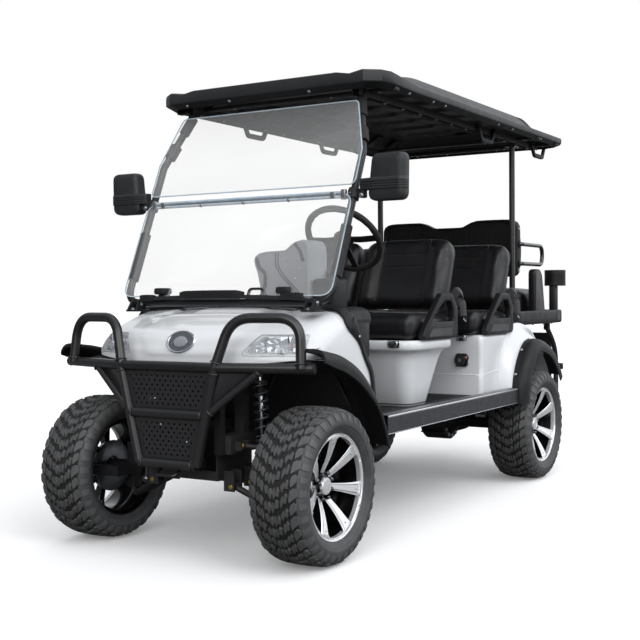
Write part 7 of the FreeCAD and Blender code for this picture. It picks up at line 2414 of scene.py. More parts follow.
def makeBelts():
    # Lap belts: webbing loops out between cushion and back, with a buckle or tongue at the end.
    parts = []
    for frontY in (0.848, 1.560):
        for s in (1, -1):
            strap = roundedLine([at(s * 0.440, frontY + 0.462, 0.900), at(s * 0.470, frontY + 0.478, 0.985),
                                 at(s * 0.492, frontY + 0.500, 1.018),
                                 at(s * 0.502, frontY + 0.522, 0.990),
                                 at(s * 0.502, frontY + 0.530, 0.945)], 0.034, 8)
            parts.append(sweep("strap", strap, ribbon(0.046, 0.0018), "webbing", up=Vector((0, 1, 0))))
            strap = roundedLine([at(s * 0.455, frontY + 0.470, 0.905), at(s * 0.490, frontY + 0.486, 0.960),
                                 at(s * 0.510, frontY + 0.500, 0.955),
                                 at(s * 0.512, frontY + 0.505, 0.890)], 0.028, 7)
            parts.append(sweep("strap", strap, ribbon(0.042, 0.0018), "webbing", up=Vector((0, 1, 0))))
            parts.append(block("buckle", (s * 0.502 - 0.012, frontY + 0.514, 0.896),
                               (s * 0.502 + 0.012, frontY + 0.536, 0.948), "blackAbs", 0.006))
            tongue = [at(s * 0.506, frontY + 0.524, 0.902), at(s * 0.506, frontY + 0.524, 0.872),
                      at(s * 0.506, frontY + 0.550, 0.862), at(s * 0.506, frontY + 0.556, 0.892)]
            parts.append(sweep("tongue", tongue, ribbon(0.004, 0.0014), "chrome", True,
                               up=Vector((1, 0, 0))))
        for x in (-0.06, 0.06):
            strap = roundedLine([at(x, frontY + 0.430, 0.885), at(x, frontY + 0.370, 0.918),
                                 at(x * 1.4, frontY + 0.330, 0.912)], 0.03, 6)
            parts.append(sweep("strap", strap, ribbon(0.044, 0.0016), "webbing", up=Vector((0, 0, 1))))
            parts.append(block("buckle", (x * 1.4 - 0.016, frontY + 0.268, 0.9050),
                               (x * 1.4 + 0.016, frontY + 0.332, 0.9220), "blackAbs", 0.005))
            parts.append(block("button", (x * 1.4 - 0.009, frontY + 0.2665, 0.9080),
                               (x * 1.4 + 0.009, frontY + 0.276, 0.9190), "redLens", 0.002))
        # hinge rail behind the cushions
        parts.append(block("hingeRail", (-0.40, frontY + 0.436, 0.8985), (0.40, frontY + 0.4545, 0.9085),
                           "zinc", 0.002))
    dressed(joined("seat_belts", parts), chassis)


wornMaterial("greyPanel", "#2F3133", "#3A3C3E", 0.42, 0.55, 1.2, 0.0004)
makeArmrests()
makeBelts()


# Rear-facing seat
def makeRearSeat():
    # Moulded tray, its cushion and back pad, the ribbed shell, side pads and cup holders.
    parts = []
    rows = []
    w, y0, y1, c = 0.500, 2.062, 2.892, 0.090
    def ring(inset, z):
        out = []
        for cx, cy, start in ((w - c, y0 + c, -90), (w - c, y1 - c, 0), (-w + c, y1 - c, 90),
                              (-w + c, y0 + c, 180)):
            for k in range(9):
                a = math.radians(start + 90 * k / 8)
                out.append(at(cx + (c - inset) * math.cos(a), cy + (c - inset) * math.sin(a), z))
        return out
    for inset, z in ((0.070, 0.8225), (0.014, 0.8222), (0.004, 0.8260), (0.0005, 0.8320), (0.0, 0.850),
                     (0.0005, 0.885), (0.0025, 0.8930), (0.0065, 0.8975),
                     (0.0105, 0.8960), (0.0135, 0.8900), (0.0140, 0.8640), (0.0180, 0.8624),
                     (0.070, 0.8622)):
        rows.append(ring(inset, z))
    parts.append(surface("tray", rows, "blackAbs", 30.0, True))
    inner = rows[-1]
    parts.append(makeMesh("trayFloor", inner, [tuple(range(len(inner)))], "blackAbs"))
    parts.append(makeMesh("trayBase", rows[0], [tuple(range(len(rows[0])))], "blackAbs"))
    # stiffening ribs and bolts under the tray, and a small bare plate at its side
    for k in range(7):
        y = 2.30 + 0.08 * k
        parts.append(block("trayRib", (-0.40, y, 0.8150), (0.40, y + 0.006, 0.8225), "blackAbs", 0.001))
    for s in (1, -1):
        for y in (2.52, 2.70, 2.84):
            parts.append(repeated("trayBolts", hexBolt("bolt", 0.012, 0.008),
                                  [facing(at(s * 0.440, y - 0.03, 0.8222), (0, 0, -1))], "zinc"))
        parts.append(block("barePlate", (s * 0.5003 if s > 0 else -0.5015, 2.735, 0.838),
                           (s * 0.5015 if s > 0 else -0.5003, 2.785, 0.880), "greyPanel", 0.0005, 1))
    dressed(joined("rear_seat_tray_skin", parts), chassis, ["rear_seat_tray"])

    # cushion and back pad, as crowned rounded forms
    pad = padForm("rear_cushion", 0.786, 0.372, 0.150, 0.014, 7.0)
    moved(pad, Matrix.Translation(at(0, (2.452 + 2.828) / 2, 0.8625 + 0.0765)))
    puffed(pad, 0.0065, 3.0, 0.006)
    lines = []
    for x in (-0.24, 0.0, 0.24):
        lines.append(([at(x, 2.45, 1.016), at(x, 2.83, 1.016)], Vector((0, 0, 1))))
    grooves(pad, lines, 0.006, 0.012)
    dressed(pad, chassis, ["rear_seat_pads"])
    back = padForm("rear_back_pad", 0.806, 0.078, 0.252, 0.0, 6.0)
    bm = bmesh.new()
    bm.from_mesh(back.data)
    for v in bm.verts:
        if v.co.y > 0:
            v.co.y += 0.006 * (1 - (v.co.x / 0.403) ** 2) * (1 - (v.co.z / 0.126) ** 2)
    bm.to_mesh(back.data)
    bm.free()
    moved(back, Matrix.Translation(at(0, 2.3585 + 0.0410, 1.230)))
    puffed(back, 0.0065, 3.0, 0.006)
    lines = [([at(x, 2.44, 1.11), at(x, 2.44, 1.35)], Vector((0, 1, 0))) for x in (-0.22, 0.0, 0.22)]
    grooves(back, lines, 0.006, 0.012)
    dressed(back, chassis)

    # shell: double-humped moulded back with a rolled edge and shallow square pockets
    half = [(0.0, 1.372), (0.070, 1.372), (0.100, 1.3755), (0.128, 1.388), (0.155, 1.4010), (0.180, 1.4070),
            (0.250, 1.4080), (0.330, 1.4075),
            (0.362, 1.4060), (0.388, 1.4010), (0.408, 1.3890), (0.4185, 1.3680), (0.420, 1.33),
            (0.420, 1.24), (0.4195, 1.15), (0.4165, 1.118), (0.406, 1.0985), (0.388, 1.0890),
            (0.360, 1.0880), (0.2, 1.088), (0.0, 1.088)]
    loop = half + [(-x, z) for x, z in reversed(half[1:-1])]
    cz = 1.245
    yb = 2.3060
    rows = []
    for y, k in ((0.051, 0.955), (0.050, 0.985), (0.044, 1.0), (0.012, 1.0), (0.004, 0.992), (0.0, 0.972),
                 (0.0, 0.945), (0.004, 0.932), (0.006, 0.90)):
        rows.append([at(x - math.copysign(1, x) * (1 - k) * 0.40 * (abs(x) > 0.05), yb + y,
                        cz + (z - cz) - math.copysign(1, z - cz) * (1 - k) * 0.16) for x, z in loop])
    shell = surface("shell", rows, "blackAbs", 28.0, True)
    inner = rows[-1]
    face = makeMesh("shellFace", inner, [tuple(range(len(inner)))], "blackAbs")
    rear = makeMesh("shellRear", rows[0], [tuple(range(len(rows[0])))], "blackAbs")
    parts = [shell, face, rear]
    for k in range(6):
        x = -0.320 + 0.128 * k
        outline = roundOutline([(x - 0.050, 1.240), (x + 0.050, 1.240), (x + 0.050, 1.352),
                                (x - 0.050, 1.352)], 0.016, 4)
        parts.append(sweep("pocket", [at(a, yb + 0.0055, b) for a, b in outline],
                           [(-0.003, -0.0015), (0.003, -0.0015), (0.0015, 0.0022), (-0.0015, 0.0022)],
                           "blackAbs", True, up=Vector((0, -1, 0))))
    for s in (1, -1):
        parts.append(block("stanchion", (s * 0.250 - 0.015, yb + 0.002, 0.8625),
                           (s * 0.250 + 0.015, yb + 0.026, 1.150), "framePaint", 0.003))
    parts.append(block("crossTie", (-0.250, yb + 0.004, 1.000), (0.250, yb + 0.022, 1.022), "framePaint",
                       0.003))
    bolts = [facing(at(s_ * 0.4195, yb + 0.026, z), (s_, 0, 0)) for s_ in (1, -1) for z in (1.352, 1.118)]
    bolts += [facing(at(s * 0.4195, yb + 0.028, z), (s, 0, 0)) for s in (1, -1) for z in (1.352, 1.128)]
    parts.append(repeated("shellBolts", domeBolt("bolt", 0.0070, 0.0035), bolts, "zinc"))
    dressed(joined("rear_back_shell_skin", parts), chassis, ["rear_back_shell"])

    parts = []
    for s in (1, -1):
        x = s * 0.4325
        line = roundedLine([at(x - s * 0.014, 2.332, 1.268), at(x, 2.345, 1.268), at(x, 2.668, 1.268),
                            at(x, 2.668, 1.160), at(x, 2.345, 1.160), at(x - s * 0.014, 2.332, 1.160)],
                           0.066, 12)
        parts.append(sweep("loop", line, circle(0.0118, 20), "glossBlack"))
        for z in (1.268, 1.160):
            parts.append(moved(unitPlain("collar",
                                         [(0.0195, 0.0), (0.0195, 0.003), (0.0140, 0.006), (0.0, 0.006)],
                                         "blackAbs"), facing(at(x - s * 0.012, 2.336, z), (s, 0.2, 0))))
    dressed(joined("grab_loops_skin", parts), chassis, ["grab_loops"])

    # upholstered side pads and the cup holders on their posts
    parts = []
    for s in (1, -1):
        y0 = boxOf("rear_armrests")[0][1] + 0.002
        outline = roundOutline([(y0, 0.8627), (y0 - 0.002, 1.132), (y0 + 0.070, 1.132), (y0 + 0.108, 1.100),
                                (y0 + 0.160, 0.8627)], 0.034, 6)
        parts.append(extrude("sidePad", [at(s * 0.448 - 0.0215, y, z) for y, z in outline],
                             Vector((0.043, 0, 0)), "vinyl", 0.011, 4))
        for side in (-1, 1):
            line = [at(s * 0.448 + side * 0.0200, y,
                       z) for y, z in roundOutline([(y0 + 0.005, 0.866), (y0 + 0.003, 1.127),
                                                    (y0 + 0.069, 1.127), (y0 + 0.104, 1.097),
                                                    (y0 + 0.154, 0.866)], 0.032, 6)]
            parts.append(sweep("padPiping", line, circle(0.0022, 6), "vinyl", True, up=Vector((1, 0, 0))))
        # post and the wide open cup band
        parts.append(block("cupPost", (s * 0.448 - 0.0195, 2.7925, 0.8627),
                           (s * 0.448 + 0.0195, 2.8475, 1.0400), "blackAbs", 0.006))
        parts.append(block("cupPostRib", (s * 0.448 - 0.0215, 2.808, 0.8627),
                           (s * 0.448 + 0.0215, 2.832, 1.034), "blackAbs", 0.002))
        band = [(1.0440, 0.0565), (1.1280, 0.0565), (1.1318, 0.0580), (1.1318, 0.0605), (1.1280, 0.0620),
                (1.1000, 0.0612), (1.0700, 0.0612), (1.0420, 0.0620), (1.0385, 0.0600), (1.0382, 0.0)]
        ring = lathe("cupBand", band, "blackAbs", 52, angle=30.0)
        moved(ring, Matrix.Translation(at(s * 0.448, 2.848, 0)) @ Matrix.Rotation(-math.pi / 2, 4, "Y"))
        floor = lathe("cupFloor", [(1.0440, 0.0565), (1.0440, 0.0)], "softRubber", 52)
        moved(floor, Matrix.Translation(at(s * 0.448, 2.848, 0)) @ Matrix.Rotation(-math.pi / 2, 4, "Y"))
        parts += [ring, floor]
    dressed(joined("rear_armrests_skin", parts), chassis, ["rear_armrests"])


def unitPlain(name, profile, finish):
    obj = unitTurned(name, profile)
    obj.data.materials.append(finishes[finish])
    return obj


makeRearSeat()
print("rear seat made")


# Dashboard, column and steering wheel
def makeDash():
    # Grained dashboard with its raised binnacle, switches, gauge, glove-box lids and cup rings.
    parts = []
    # wide body: rounded section along X
    section = [(0.2835, 0.7365), (0.2835, 0.930), (0.290, 0.9405), (0.300, 0.9450), (0.400, 0.9452),
               (0.418, 0.9420), (0.4275, 0.9300), (0.4290, 0.905), (0.405, 0.860), (0.400, 0.760),
               (0.391, 0.7365)]
    w = 0.5155
    rows = []
    for x, drop in [(-w, 0.050), (-w + 0.004, 0.032), (-w + 0.014, 0.015), (-w + 0.030, 0.004),
                    (-w + 0.055, 0.0)] + [(-0.42 + 0.84 * k / 20, 0.0) for k in range(21)] + [(w - 0.055,
            0.0), (w - 0.030, 0.004), (w - 0.014, 0.015), (w - 0.004, 0.032), (w, 0.050)]:
        rows.append([at(x, y, min(z, 0.9452 - drop) if z > 0.85 else z) for y, z in section])
    middle = [row for row in rows if row[0].x < 0.30]
    parts.append(surface("dashBody", middle, "greyAbs", 35.0, True))
    parts.append(surface("dashSide", [middle[-1]] + [row for row in rows if row[0].x >= 0.30], "blackAbs",
                         35.0, True))
    parts.append(makeMesh("dashEnd", rows[0], [tuple(range(len(rows[0])))], "greyAbs"))
    parts.append(makeMesh("dashEnd", rows[-1], [tuple(range(len(rows[-1])))], "blackAbs"))
    # black shroud round the column beside the binnacle
    parts.append(block("shroud", (0.304, 0.318, 0.930), (0.400, 0.448, 1.060), "blackAbs", 0.016, 3))
    # binnacle: a lower hump towards the middle and a taller hood round the column
    outline = [(0.062, 0.910), (0.060, 1.030), (0.046, 1.090), (0.034, 1.120), (0.030, 1.140),
               (0.036, 1.156), (0.056, 1.169), (0.085, 1.174), (0.180, 1.1775), (0.197, 1.185),
               (0.215, 1.201), (0.236, 1.212), (0.262, 1.218), (0.284, 1.214), (0.296, 1.198),
               (0.300, 1.170), (0.300, 1.030), (0.300, 0.910)]
    rows = []
    cx, cz = 0.18, 1.04
    for y, k in ((0.3045, 0.90), (0.3025, 0.955), (0.3070, 0.985), (0.3200, 1.0), (0.4300, 1.0),
                 (0.4440, 0.992), (0.4510, 0.972), (0.4505, 0.935), (0.4380, 0.915), (0.4360, 0.90)):
        rows.append([at(cx + (x - cx) * k, y, cz + (z - cz) * k if z > 0.93 else z) for x, z in outline])
    parts.append(surface("binnacle", rows, "greyAbs", 40.0))
    for row in (rows[0], rows[-1]):
        parts.append(makeMesh("binnacleFace", row, [tuple(range(len(row)))], "greyAbs"))
    # moulded seam lines, wide black bands painted as the shade of the side recesses, and screws on its
    # front, seen through the glass
    for x in (0.143, 0.156):
        line = roundedLine([at(x, 0.3015, 1.168), at(x - 0.002, 0.3005, 1.115),
                            at(x + 0.030, 0.3005, 1.070), at(x + 0.105, 0.3005, 1.000)], 0.05, 8)
        parts.append(sweep("seamLine", line,
                           [(-0.0022, -0.0006), (0.0022, -0.0006), (0.0012, 0.0009), (-0.0012, 0.0009)],
                           "softRubber", up=Vector((0, -1, 0))))
    # the two wide black bands that follow are painted shade of the binnacle's side recesses
    line = roundedLine([at(0.048, 0.3010, 1.150), at(0.060, 0.3005, 1.110), at(0.092, 0.3005, 1.085),
                        at(0.090, 0.3005, 1.030), at(0.070, 0.3005, 0.990)], 0.03, 8)
    parts.append(sweep("seamLine", line,
                       [(-0.008, -0.0006), (0.008, -0.0006), (0.005, 0.0009), (-0.005, 0.0009)], "blackAbs",
                       up=Vector((0, -1, 0))))
    line = roundedLine([at(0.235, 0.3010, 1.205), at(0.262, 0.3005, 1.170), at(0.275, 0.3005, 1.130)], 0.03,
                       8)
    parts.append(sweep("seamLine", line,
                       [(-0.007, -0.0006), (0.007, -0.0006), (0.004, 0.0009), (-0.004, 0.0009)], "blackAbs",
                       up=Vector((0, -1, 0))))
    screws = [facing(at(x, 0.3005, z), (0, -1, 0)) for x, z in ((0.095, 1.145), (0.190, 1.140),
                                                                (0.235, 1.060), (0.255, 1.100))]
    parts.append(repeated("dashScrews", domeBolt("screw", 0.0050, 0.0024), screws, "zinc"))
    # black side pads close the dashboard's ends
    for s in (1, -1):
        parts.append(block("endPad", (s * 0.5155 - 0.010, 0.300, 0.745),
                           (s * 0.5155 + 0.0005, 0.415, 0.885), "blackAbs", 0.0045))
    # driver's side: round gauge, switch rows, glove-box lids
    gauge = lathe("gauge",
                  [(0.0, 0.052), (0.010, 0.052), (0.0125, 0.049), (0.0125, 0.045), (0.004, 0.043),
                   (0.003, 0.0)], "softRubber", 40, angle=25.0)
    moved(gauge, Matrix.Translation(at(0.270, 0.4360, 1.050)) @ Matrix.Rotation(math.pi / 2, 4, "Z"))
    glass = lathe("gaugeGlass", [(0.0075, 0.0440), (0.0090, 0.020), (0.0095, 0.0)], "clearLens", 40,
                  angle=25.0)
    moved(glass, Matrix.Translation(at(0.270, 0.4360, 1.050)) @ Matrix.Rotation(math.pi / 2, 4, "Z"))
    parts += [gauge, glass]
    ticks = []
    for k in range(21):
        a = math.radians(220 - 260 * k / 20)
        ticks.append(Matrix.Translation(at(0.270 + 0.036 * math.cos(a), 0.4402,
                                           1.050 + 0.036 * math.sin(a))) @ Matrix.Rotation(-a + math.pi / 2,
                4, "Y"))
    tick = extrude("tick",
                   [(-0.0006, 0, -0.0035), (0.0006, 0, -0.0035), (0.0006, 0, 0.0035), (-0.0006, 0, 0.0035)],
                   Vector((0, 0.0004, 0)), None)
    parts.append(repeated("gaugeTicks", tick, ticks, "lampBezel"))
    needle = extrude("needle",
                     [at(0.268, 0.4412, 1.046), at(0.272, 0.4412, 1.046), at(0.2925, 0.4412, 1.0755)],
                     Vector((0, 0.0006, 0)), "amberLens")
    parts.append(needle)
    for k in range(4):
        x = 0.120 + k * 0.028
        parts.append(block("switchFrame", (x - 0.011, 0.4350, 0.962), (x + 0.011, 0.4395, 0.998),
                           "softRubber", 0.002))
        parts.append(block("switchKey", (x - 0.0085, 0.4380, 0.966), (x + 0.0085, 0.4440, 0.981),
                           "blackAbs", 0.002))
    for x0, x1 in ((-0.480, -0.260), (-0.230, -0.100)):
        outline = roundOutline([(x0, 0.782), (x1, 0.782), (x1, 0.905), (x0, 0.905)], 0.014)
        parts.append(sweep("lidLine", [at(x, 0.4085 + max(z - 0.86, 0) * 0.42, z) for x, z in outline],
                           circle(0.0018, 6), "softRubber", True, up=Vector((0, 1, 0))))
        parts.append(block("lidCatch", ((x0 + x1) / 2 - 0.018, 0.4090, 0.868),
                           ((x0 + x1) / 2 + 0.018, 0.4200, 0.880), "blackAbs", 0.003))
    for x in (-0.165, 0.010):
        ring = lathe("cupRing",
                     [(0.9455, 0.037), (0.9480, 0.0385), (0.9490, 0.0405), (0.9480, 0.0430),
                      (0.9455, 0.0440)], "blackAbs", 36, angle=30.0)
        moved(ring, Matrix.Translation(at(x, 0.356, 0)) @ Matrix.Rotation(-math.pi / 2, 4, "Y"))
        well = lathe("cupWell", [(0.9456, 0.037), (0.9456, 0.0)], "softRubber", 36)
        moved(well, Matrix.Translation(at(x, 0.356, 0)) @ Matrix.Rotation(-math.pi / 2, 4, "Y"))
        parts += [ring, well]
    dressed(joined("dashboard_skin", parts), chassis, ["dashboard"])


wheelCentre = at(0.270, 0.640, 1.232)
columnAxis = Vector((0, math.sin(math.radians(48)), math.cos(math.radians(48)))).normalized()


def wheelFrame():
    # Turns the steering wheel's own X axis onto the column's axis.
    turn = columnAxis.to_track_quat("X", "Z").to_matrix().to_4x4()
    return Matrix.Translation(wheelCentre) @ turn


def makeSteering():
    place = wheelFrame()
    ring = []
    for k in range(96):
        a = 2 * math.pi * k / 96
        ring.append(Vector((0, 0.166 * math.sin(a), 0.166 * math.cos(a))))
    sections = 16
    verts, faces = [], []
    for k, p in enumerate(ring):
        a = 2 * math.pi * k / 96
        out = p.normalized()
        # finger swells on the inside of the rim
        grip = 0.0136 + 0.0009 * math.cos(a * 4) ** 2
        for m in range(sections):
            b = 2 * math.pi * m / sections
            inner = 0.0011 * math.cos(a * 24) if math.cos(b) < -0.3 else 0.0
            verts.append(p + out * (grip + inner) * math.cos(b) + Vector((1, 0, 0)) * grip * math.sin(b))
    for k in range(96):
        for m in range(sections):
            faces.append((k * sections + m, k * sections + (m + 1) % sections,
                          ((k + 1) % 96) * sections + (m + 1) % sections, ((k + 1) % 96) * sections + m))
    parts = [makeMesh("rim", verts, faces, "softRubber", 60.0)]
    hub = lathe("hub",
                [(-0.034, 0.0), (-0.034, 0.030), (-0.020, 0.040), (-0.004, 0.0455), (0.002, 0.044),
                 (0.006, 0.038), (0.0075, 0.020), (0.008, 0.0)], "blackAbs", 40, angle=30.0)
    ringTrim = lathe("hubTrim", [(0.0058, 0.0385), (0.0078, 0.0365), (0.0074, 0.0345)], "zinc", 40)
    parts += [hub, ringTrim]
    for angle in (0, 180, 270):
        a = math.radians(angle)
        out = Vector((0, math.cos(a), math.sin(a)))
        line = [out * 0.036 + Vector((-0.004, 0, 0)), out * 0.090 + Vector((-0.006, 0, 0)),
                out * 0.140 + Vector((-0.002, 0, 0)), out * 0.156]
        parts.append(sweep("spoke", roundedLine(line, 0.05, 5),
                           [(-0.014, -0.0040), (-0.010, -0.005), (0.010, -0.005), (0.014, -0.0040),
                            (0.014, 0.003), (0.011, 0.0045), (-0.011, 0.0045), (-0.014, 0.003)],
                           "blackAbs", up=Vector((1, 0, 0))))
        for r in (0.066, 0.088, 0.110):
            parts.append(repeated("spokeHoles", domeBolt("stud", 0.0042, 0.0016),
                                  [facing(out * r + Vector((-0.0014, 0, 0)), (1, 0, 0))], "zinc"))
    wheel = joined("steering_wheel_skin", parts)
    moved(wheel, place)
    dressed(wheel, "steering_wheel", ["steering_wheel"])


makeDash()
makeSteering()
print("dash made")


# Suspension, axle and frame details
def helix(name, low, high, radius, wire, turns, finish, sides=8, steps=18):
    # A coil spring between two points, with closed end turns.
    low, high = Vector(low), Vector(high)
    axis = high - low
    length = axis.length
    turn = axis.normalized().to_track_quat("Z", "Y").to_matrix()
    points = []
    total = int(turns * steps)
    for k in range(total + 1):
        t = k / total
        a = 2 * math.pi * turns * t
        ends = 0.7 / turns
        if t < ends:
            h = wire * t / ends
        elif t > 1 - ends:
            h = length - wire * (1 - t) / ends
        else:
            h = wire + (length - 2 * wire) * (t - ends) / (1 - 2 * ends)
        points.append(low + turn @ Vector((radius * math.cos(a), radius * math.sin(a), h)))
    return sweep(name, points, circle(wire, sides), finish, angle=60.0, up=axis.normalized())


# Suspension, axle and chassis details below the body
under = {
    "lowPivot": (0.190, 0.066, 0.271), "lowBall": (0.352, 0.0, 0.190), "highPivot": (0.240, 0.075, 0.430),
    "highBall": (0.352, 0.0, 0.413),
    "springFoot": (0.292, 0.0, 0.253), "springTop": (0.262, 0.0, 0.702), "track": 0.160, "railLow": 0.400,
    "railHigh": 0.470,
}


def part(name, profile, place, normal, finish):
    # A turned piece standing on a place along a normal.
    obj = unitPlain(name, profile, finish)
    return moved(obj, facing(place, normal))


def makeRails():
    # Box rails with end caps and rubber bungs along their sides.
    parts = []
    for s in (1, -1):
        section = [(-0.0295, -0.0345), (-0.0275, -0.0348), (0.0275, -0.0348), (0.0295, -0.0345),
                   (0.0298, 0.0345), (0.0275, 0.0348), (-0.0275, 0.0348), (-0.0298, 0.0345)]
        parts.append(sweep("rail", [at(s * 0.190, y, 0.435) for y in (-0.129, 0.6, 1.3, 2.0, 2.759)],
                           section, "framePaint", angle=20.0))
        for y in (-0.1293, 2.7593):
            parts.append(block("railCap", (s * 0.190 - 0.028, y - 0.0008, 0.402),
                               (s * 0.190 + 0.028, y + 0.0008, 0.468), "framePaint", 0.0005, 1))
        holes = [facing(at(s * 0.2198, 0.30 + 0.24 * k, 0.435), (s, 0, 0)) for k in range(8)]
        parts.append(repeated("railBungs", domeBolt("bung", 0.009, 0.0008), holes, "softRubber"))
    dressed(joined("frame_rails_skin", parts), chassis, ["frame_rails"])


def makeArms():
    # Double wishbones: welded tubes, bushes with bright bolts, ball joints and gaiters.
    parts, ends, balls = [], [], []
    lx, ly, lz = under["lowPivot"]
    bx, by, bz = under["lowBall"]
    ux, uy, uz = under["highPivot"]
    for s in (1, -1):
        for side in (1, -1):
            parts.append(tube("lowLeg",
                              [at(s * lx, side * ly, lz), at(s * (bx - 0.030), side * 0.020, bz + 0.010),
                               at(s * (bx - 0.006), side * 0.008, bz)], 0.0122, "framePaint", 0.03, 18))
            parts.append(tube("lowBush",
                              [at(s * lx, side * ly - 0.0195, lz), at(s * lx, side * ly + 0.0195, lz)],
                              0.0170, "framePaint", 0, 22))
            ends += [facing(at(s * lx, side * ly + e * 0.0195, lz), (0, e, 0)) for e in (1, -1)]
            parts.append(tube("highLeg",
                              [at(s * ux, side * uy, uz), at(s * 0.300, side * 0.048, 0.424),
                               at(s * 0.348, side * 0.008, 0.414)], 0.0100, "framePaint", 0.03, 16))
            parts.append(tube("highBush",
                              [at(s * ux, side * uy - 0.014, uz), at(s * ux, side * uy + 0.014, uz)],
                              0.0140, "framePaint", 0, 20))
            ends += [facing(at(s * ux, side * uy + e * 0.0140, uz), (0, e, 0), 0.0, 0.8) for e in (1, -1)]
        # gusset plate between the lower legs carrying the spring eye
        outline = [at(s * 0.250, -0.040, 0.238), at(s * 0.250, 0.040, 0.238), at(s * 0.318, 0.022, 0.206),
                   at(s * 0.318, -0.022, 0.206)]
        parts.append(extrude("gusset", outline, Vector((s * 0.0015, 0, 0.004)), "framePaint", 0.001, 1))
        for z, r in ((bz, 0.0168), (0.413, 0.0150)):
            balls.append(part("gaiter",
                              [(-0.013, r * 0.7), (-0.010, r), (-0.006, r * 0.88), (-0.002, r),
                               (0.003, r * 0.86), (0.008, r), (0.012, r * 0.6)], at(s * bx, 0, z),
                              (0, 0, 1), "softRubber"))
    parts.append(repeated("armBolts", hexBolt("bolt", 0.020, 0.009), ends, "yellowZinc"))
    dressed(joined("front_arms_skin", parts + balls), chassis, ["front_arms"])


def makeLeaves():
    # Three-leaf springs with their clamps and U-bolts.
    parts = []
    for s in (1, -1):
        for k, half in enumerate((0.326, 0.250, 0.170)):
            rows = []
            for m in range(25):
                v = -half + 2 * half * m / 24
                z = 0.3415 + (0.445 - 0.3415) * (v / 0.330) ** 2 - 0.0072 * k
                rows.append([at(s * 0.300 - 0.027, 2.190 + v, z - 0.0032),
                             at(s * 0.300 + 0.027, 2.190 + v, z - 0.0032),
                             at(s * 0.300 + 0.027, 2.190 + v, z + 0.0032),
                             at(s * 0.300 - 0.027, 2.190 + v, z + 0.0032)])
            parts.append(surface("leaf", rows, "framePaint", 30.0, True))
            for row in (rows[0], rows[-1]):
                parts.append(makeMesh("leafEnd", row, [(0, 1, 2, 3)], "framePaint"))
        for e in (1, -1):
            parts.append(block("clamp", (s * 0.300 - 0.0275, 2.190 + e * 0.13 - 0.008, 0.328),
                               (s * 0.300 + 0.0275, 2.190 + e * 0.13 + 0.008, 0.362), "zinc", 0.002))
            loop = roundedLine([at(s * 0.300 - 0.024, 2.190 + e * 0.046, 0.330),
                                at(s * 0.300 - 0.024, 2.190 + e * 0.046, 0.3515),
                                at(s * 0.300 + 0.024, 2.190 + e * 0.046, 0.3515),
                                at(s * 0.300 + 0.024, 2.190 + e * 0.046, 0.330)], 0.008, 5)
            parts.append(sweep("uBolt", loop, circle(0.0048, 10), "zinc"))
    return parts


def makeSprings():
    # Coil-over units with exposed helical springs, perches, damper body and rod.
    parts = []
    for s in (1, -1):
        fx, fy, fz = under["springFoot"]
        tx, ty, tz = under["springTop"]
        foot, top = at(s * fx, fy, fz), at(s * tx, ty, tz)
        axis = (top - foot)
        parts.append(helix("coil", foot + axis * 0.435, foot + axis * 0.915, 0.0258, 0.0042, 8.0,
                           "springSteel", 10, 22))
        parts.append(tube("damper", [foot + axis * 0.04, foot + axis * 0.60], 0.0196, "smokedChrome", 0,
                          26))
        parts.append(tube("rod", [foot + axis * 0.58, foot + axis * 0.96], 0.0088, "chrome", 0, 18))
        for share in (0.425, 0.920):
            parts.append(tube("perch", [foot + axis * (share - 0.010), foot + axis * (share + 0.010)],
                              0.0298, "framePaint", 0, 30))
        parts.append(tube("lockRing", [foot + axis * 0.392, foot + axis * 0.412], 0.0235, "zinc", 0, 26))
        parts.append(tube("bumpStop", [foot + axis * 0.80, foot + axis * 0.905], 0.0140, "softRubber", 0,
                          20))
        for place in (foot, top):
            parts.append(tube("eye", [place + Vector((0, -0.0150, 0)), place + Vector((0, 0.0150, 0))],
                              0.0150, "framePaint", 0, 22))
            for e in (1, -1):
                parts.append(moved(dressBolt(hexBolt("eyeBolt", 0.018, 0.008)),
                                   facing(place + Vector((0, e * 0.0150, 0)), (0, e, 0))))
    dressed(joined("suspension_springs_skin", parts + makeLeaves()), chassis, ["suspension_springs"])


def dressBolt(obj):
    obj.data.materials.clear()
    obj.data.materials.append(finishes["zinc"])
    return obj


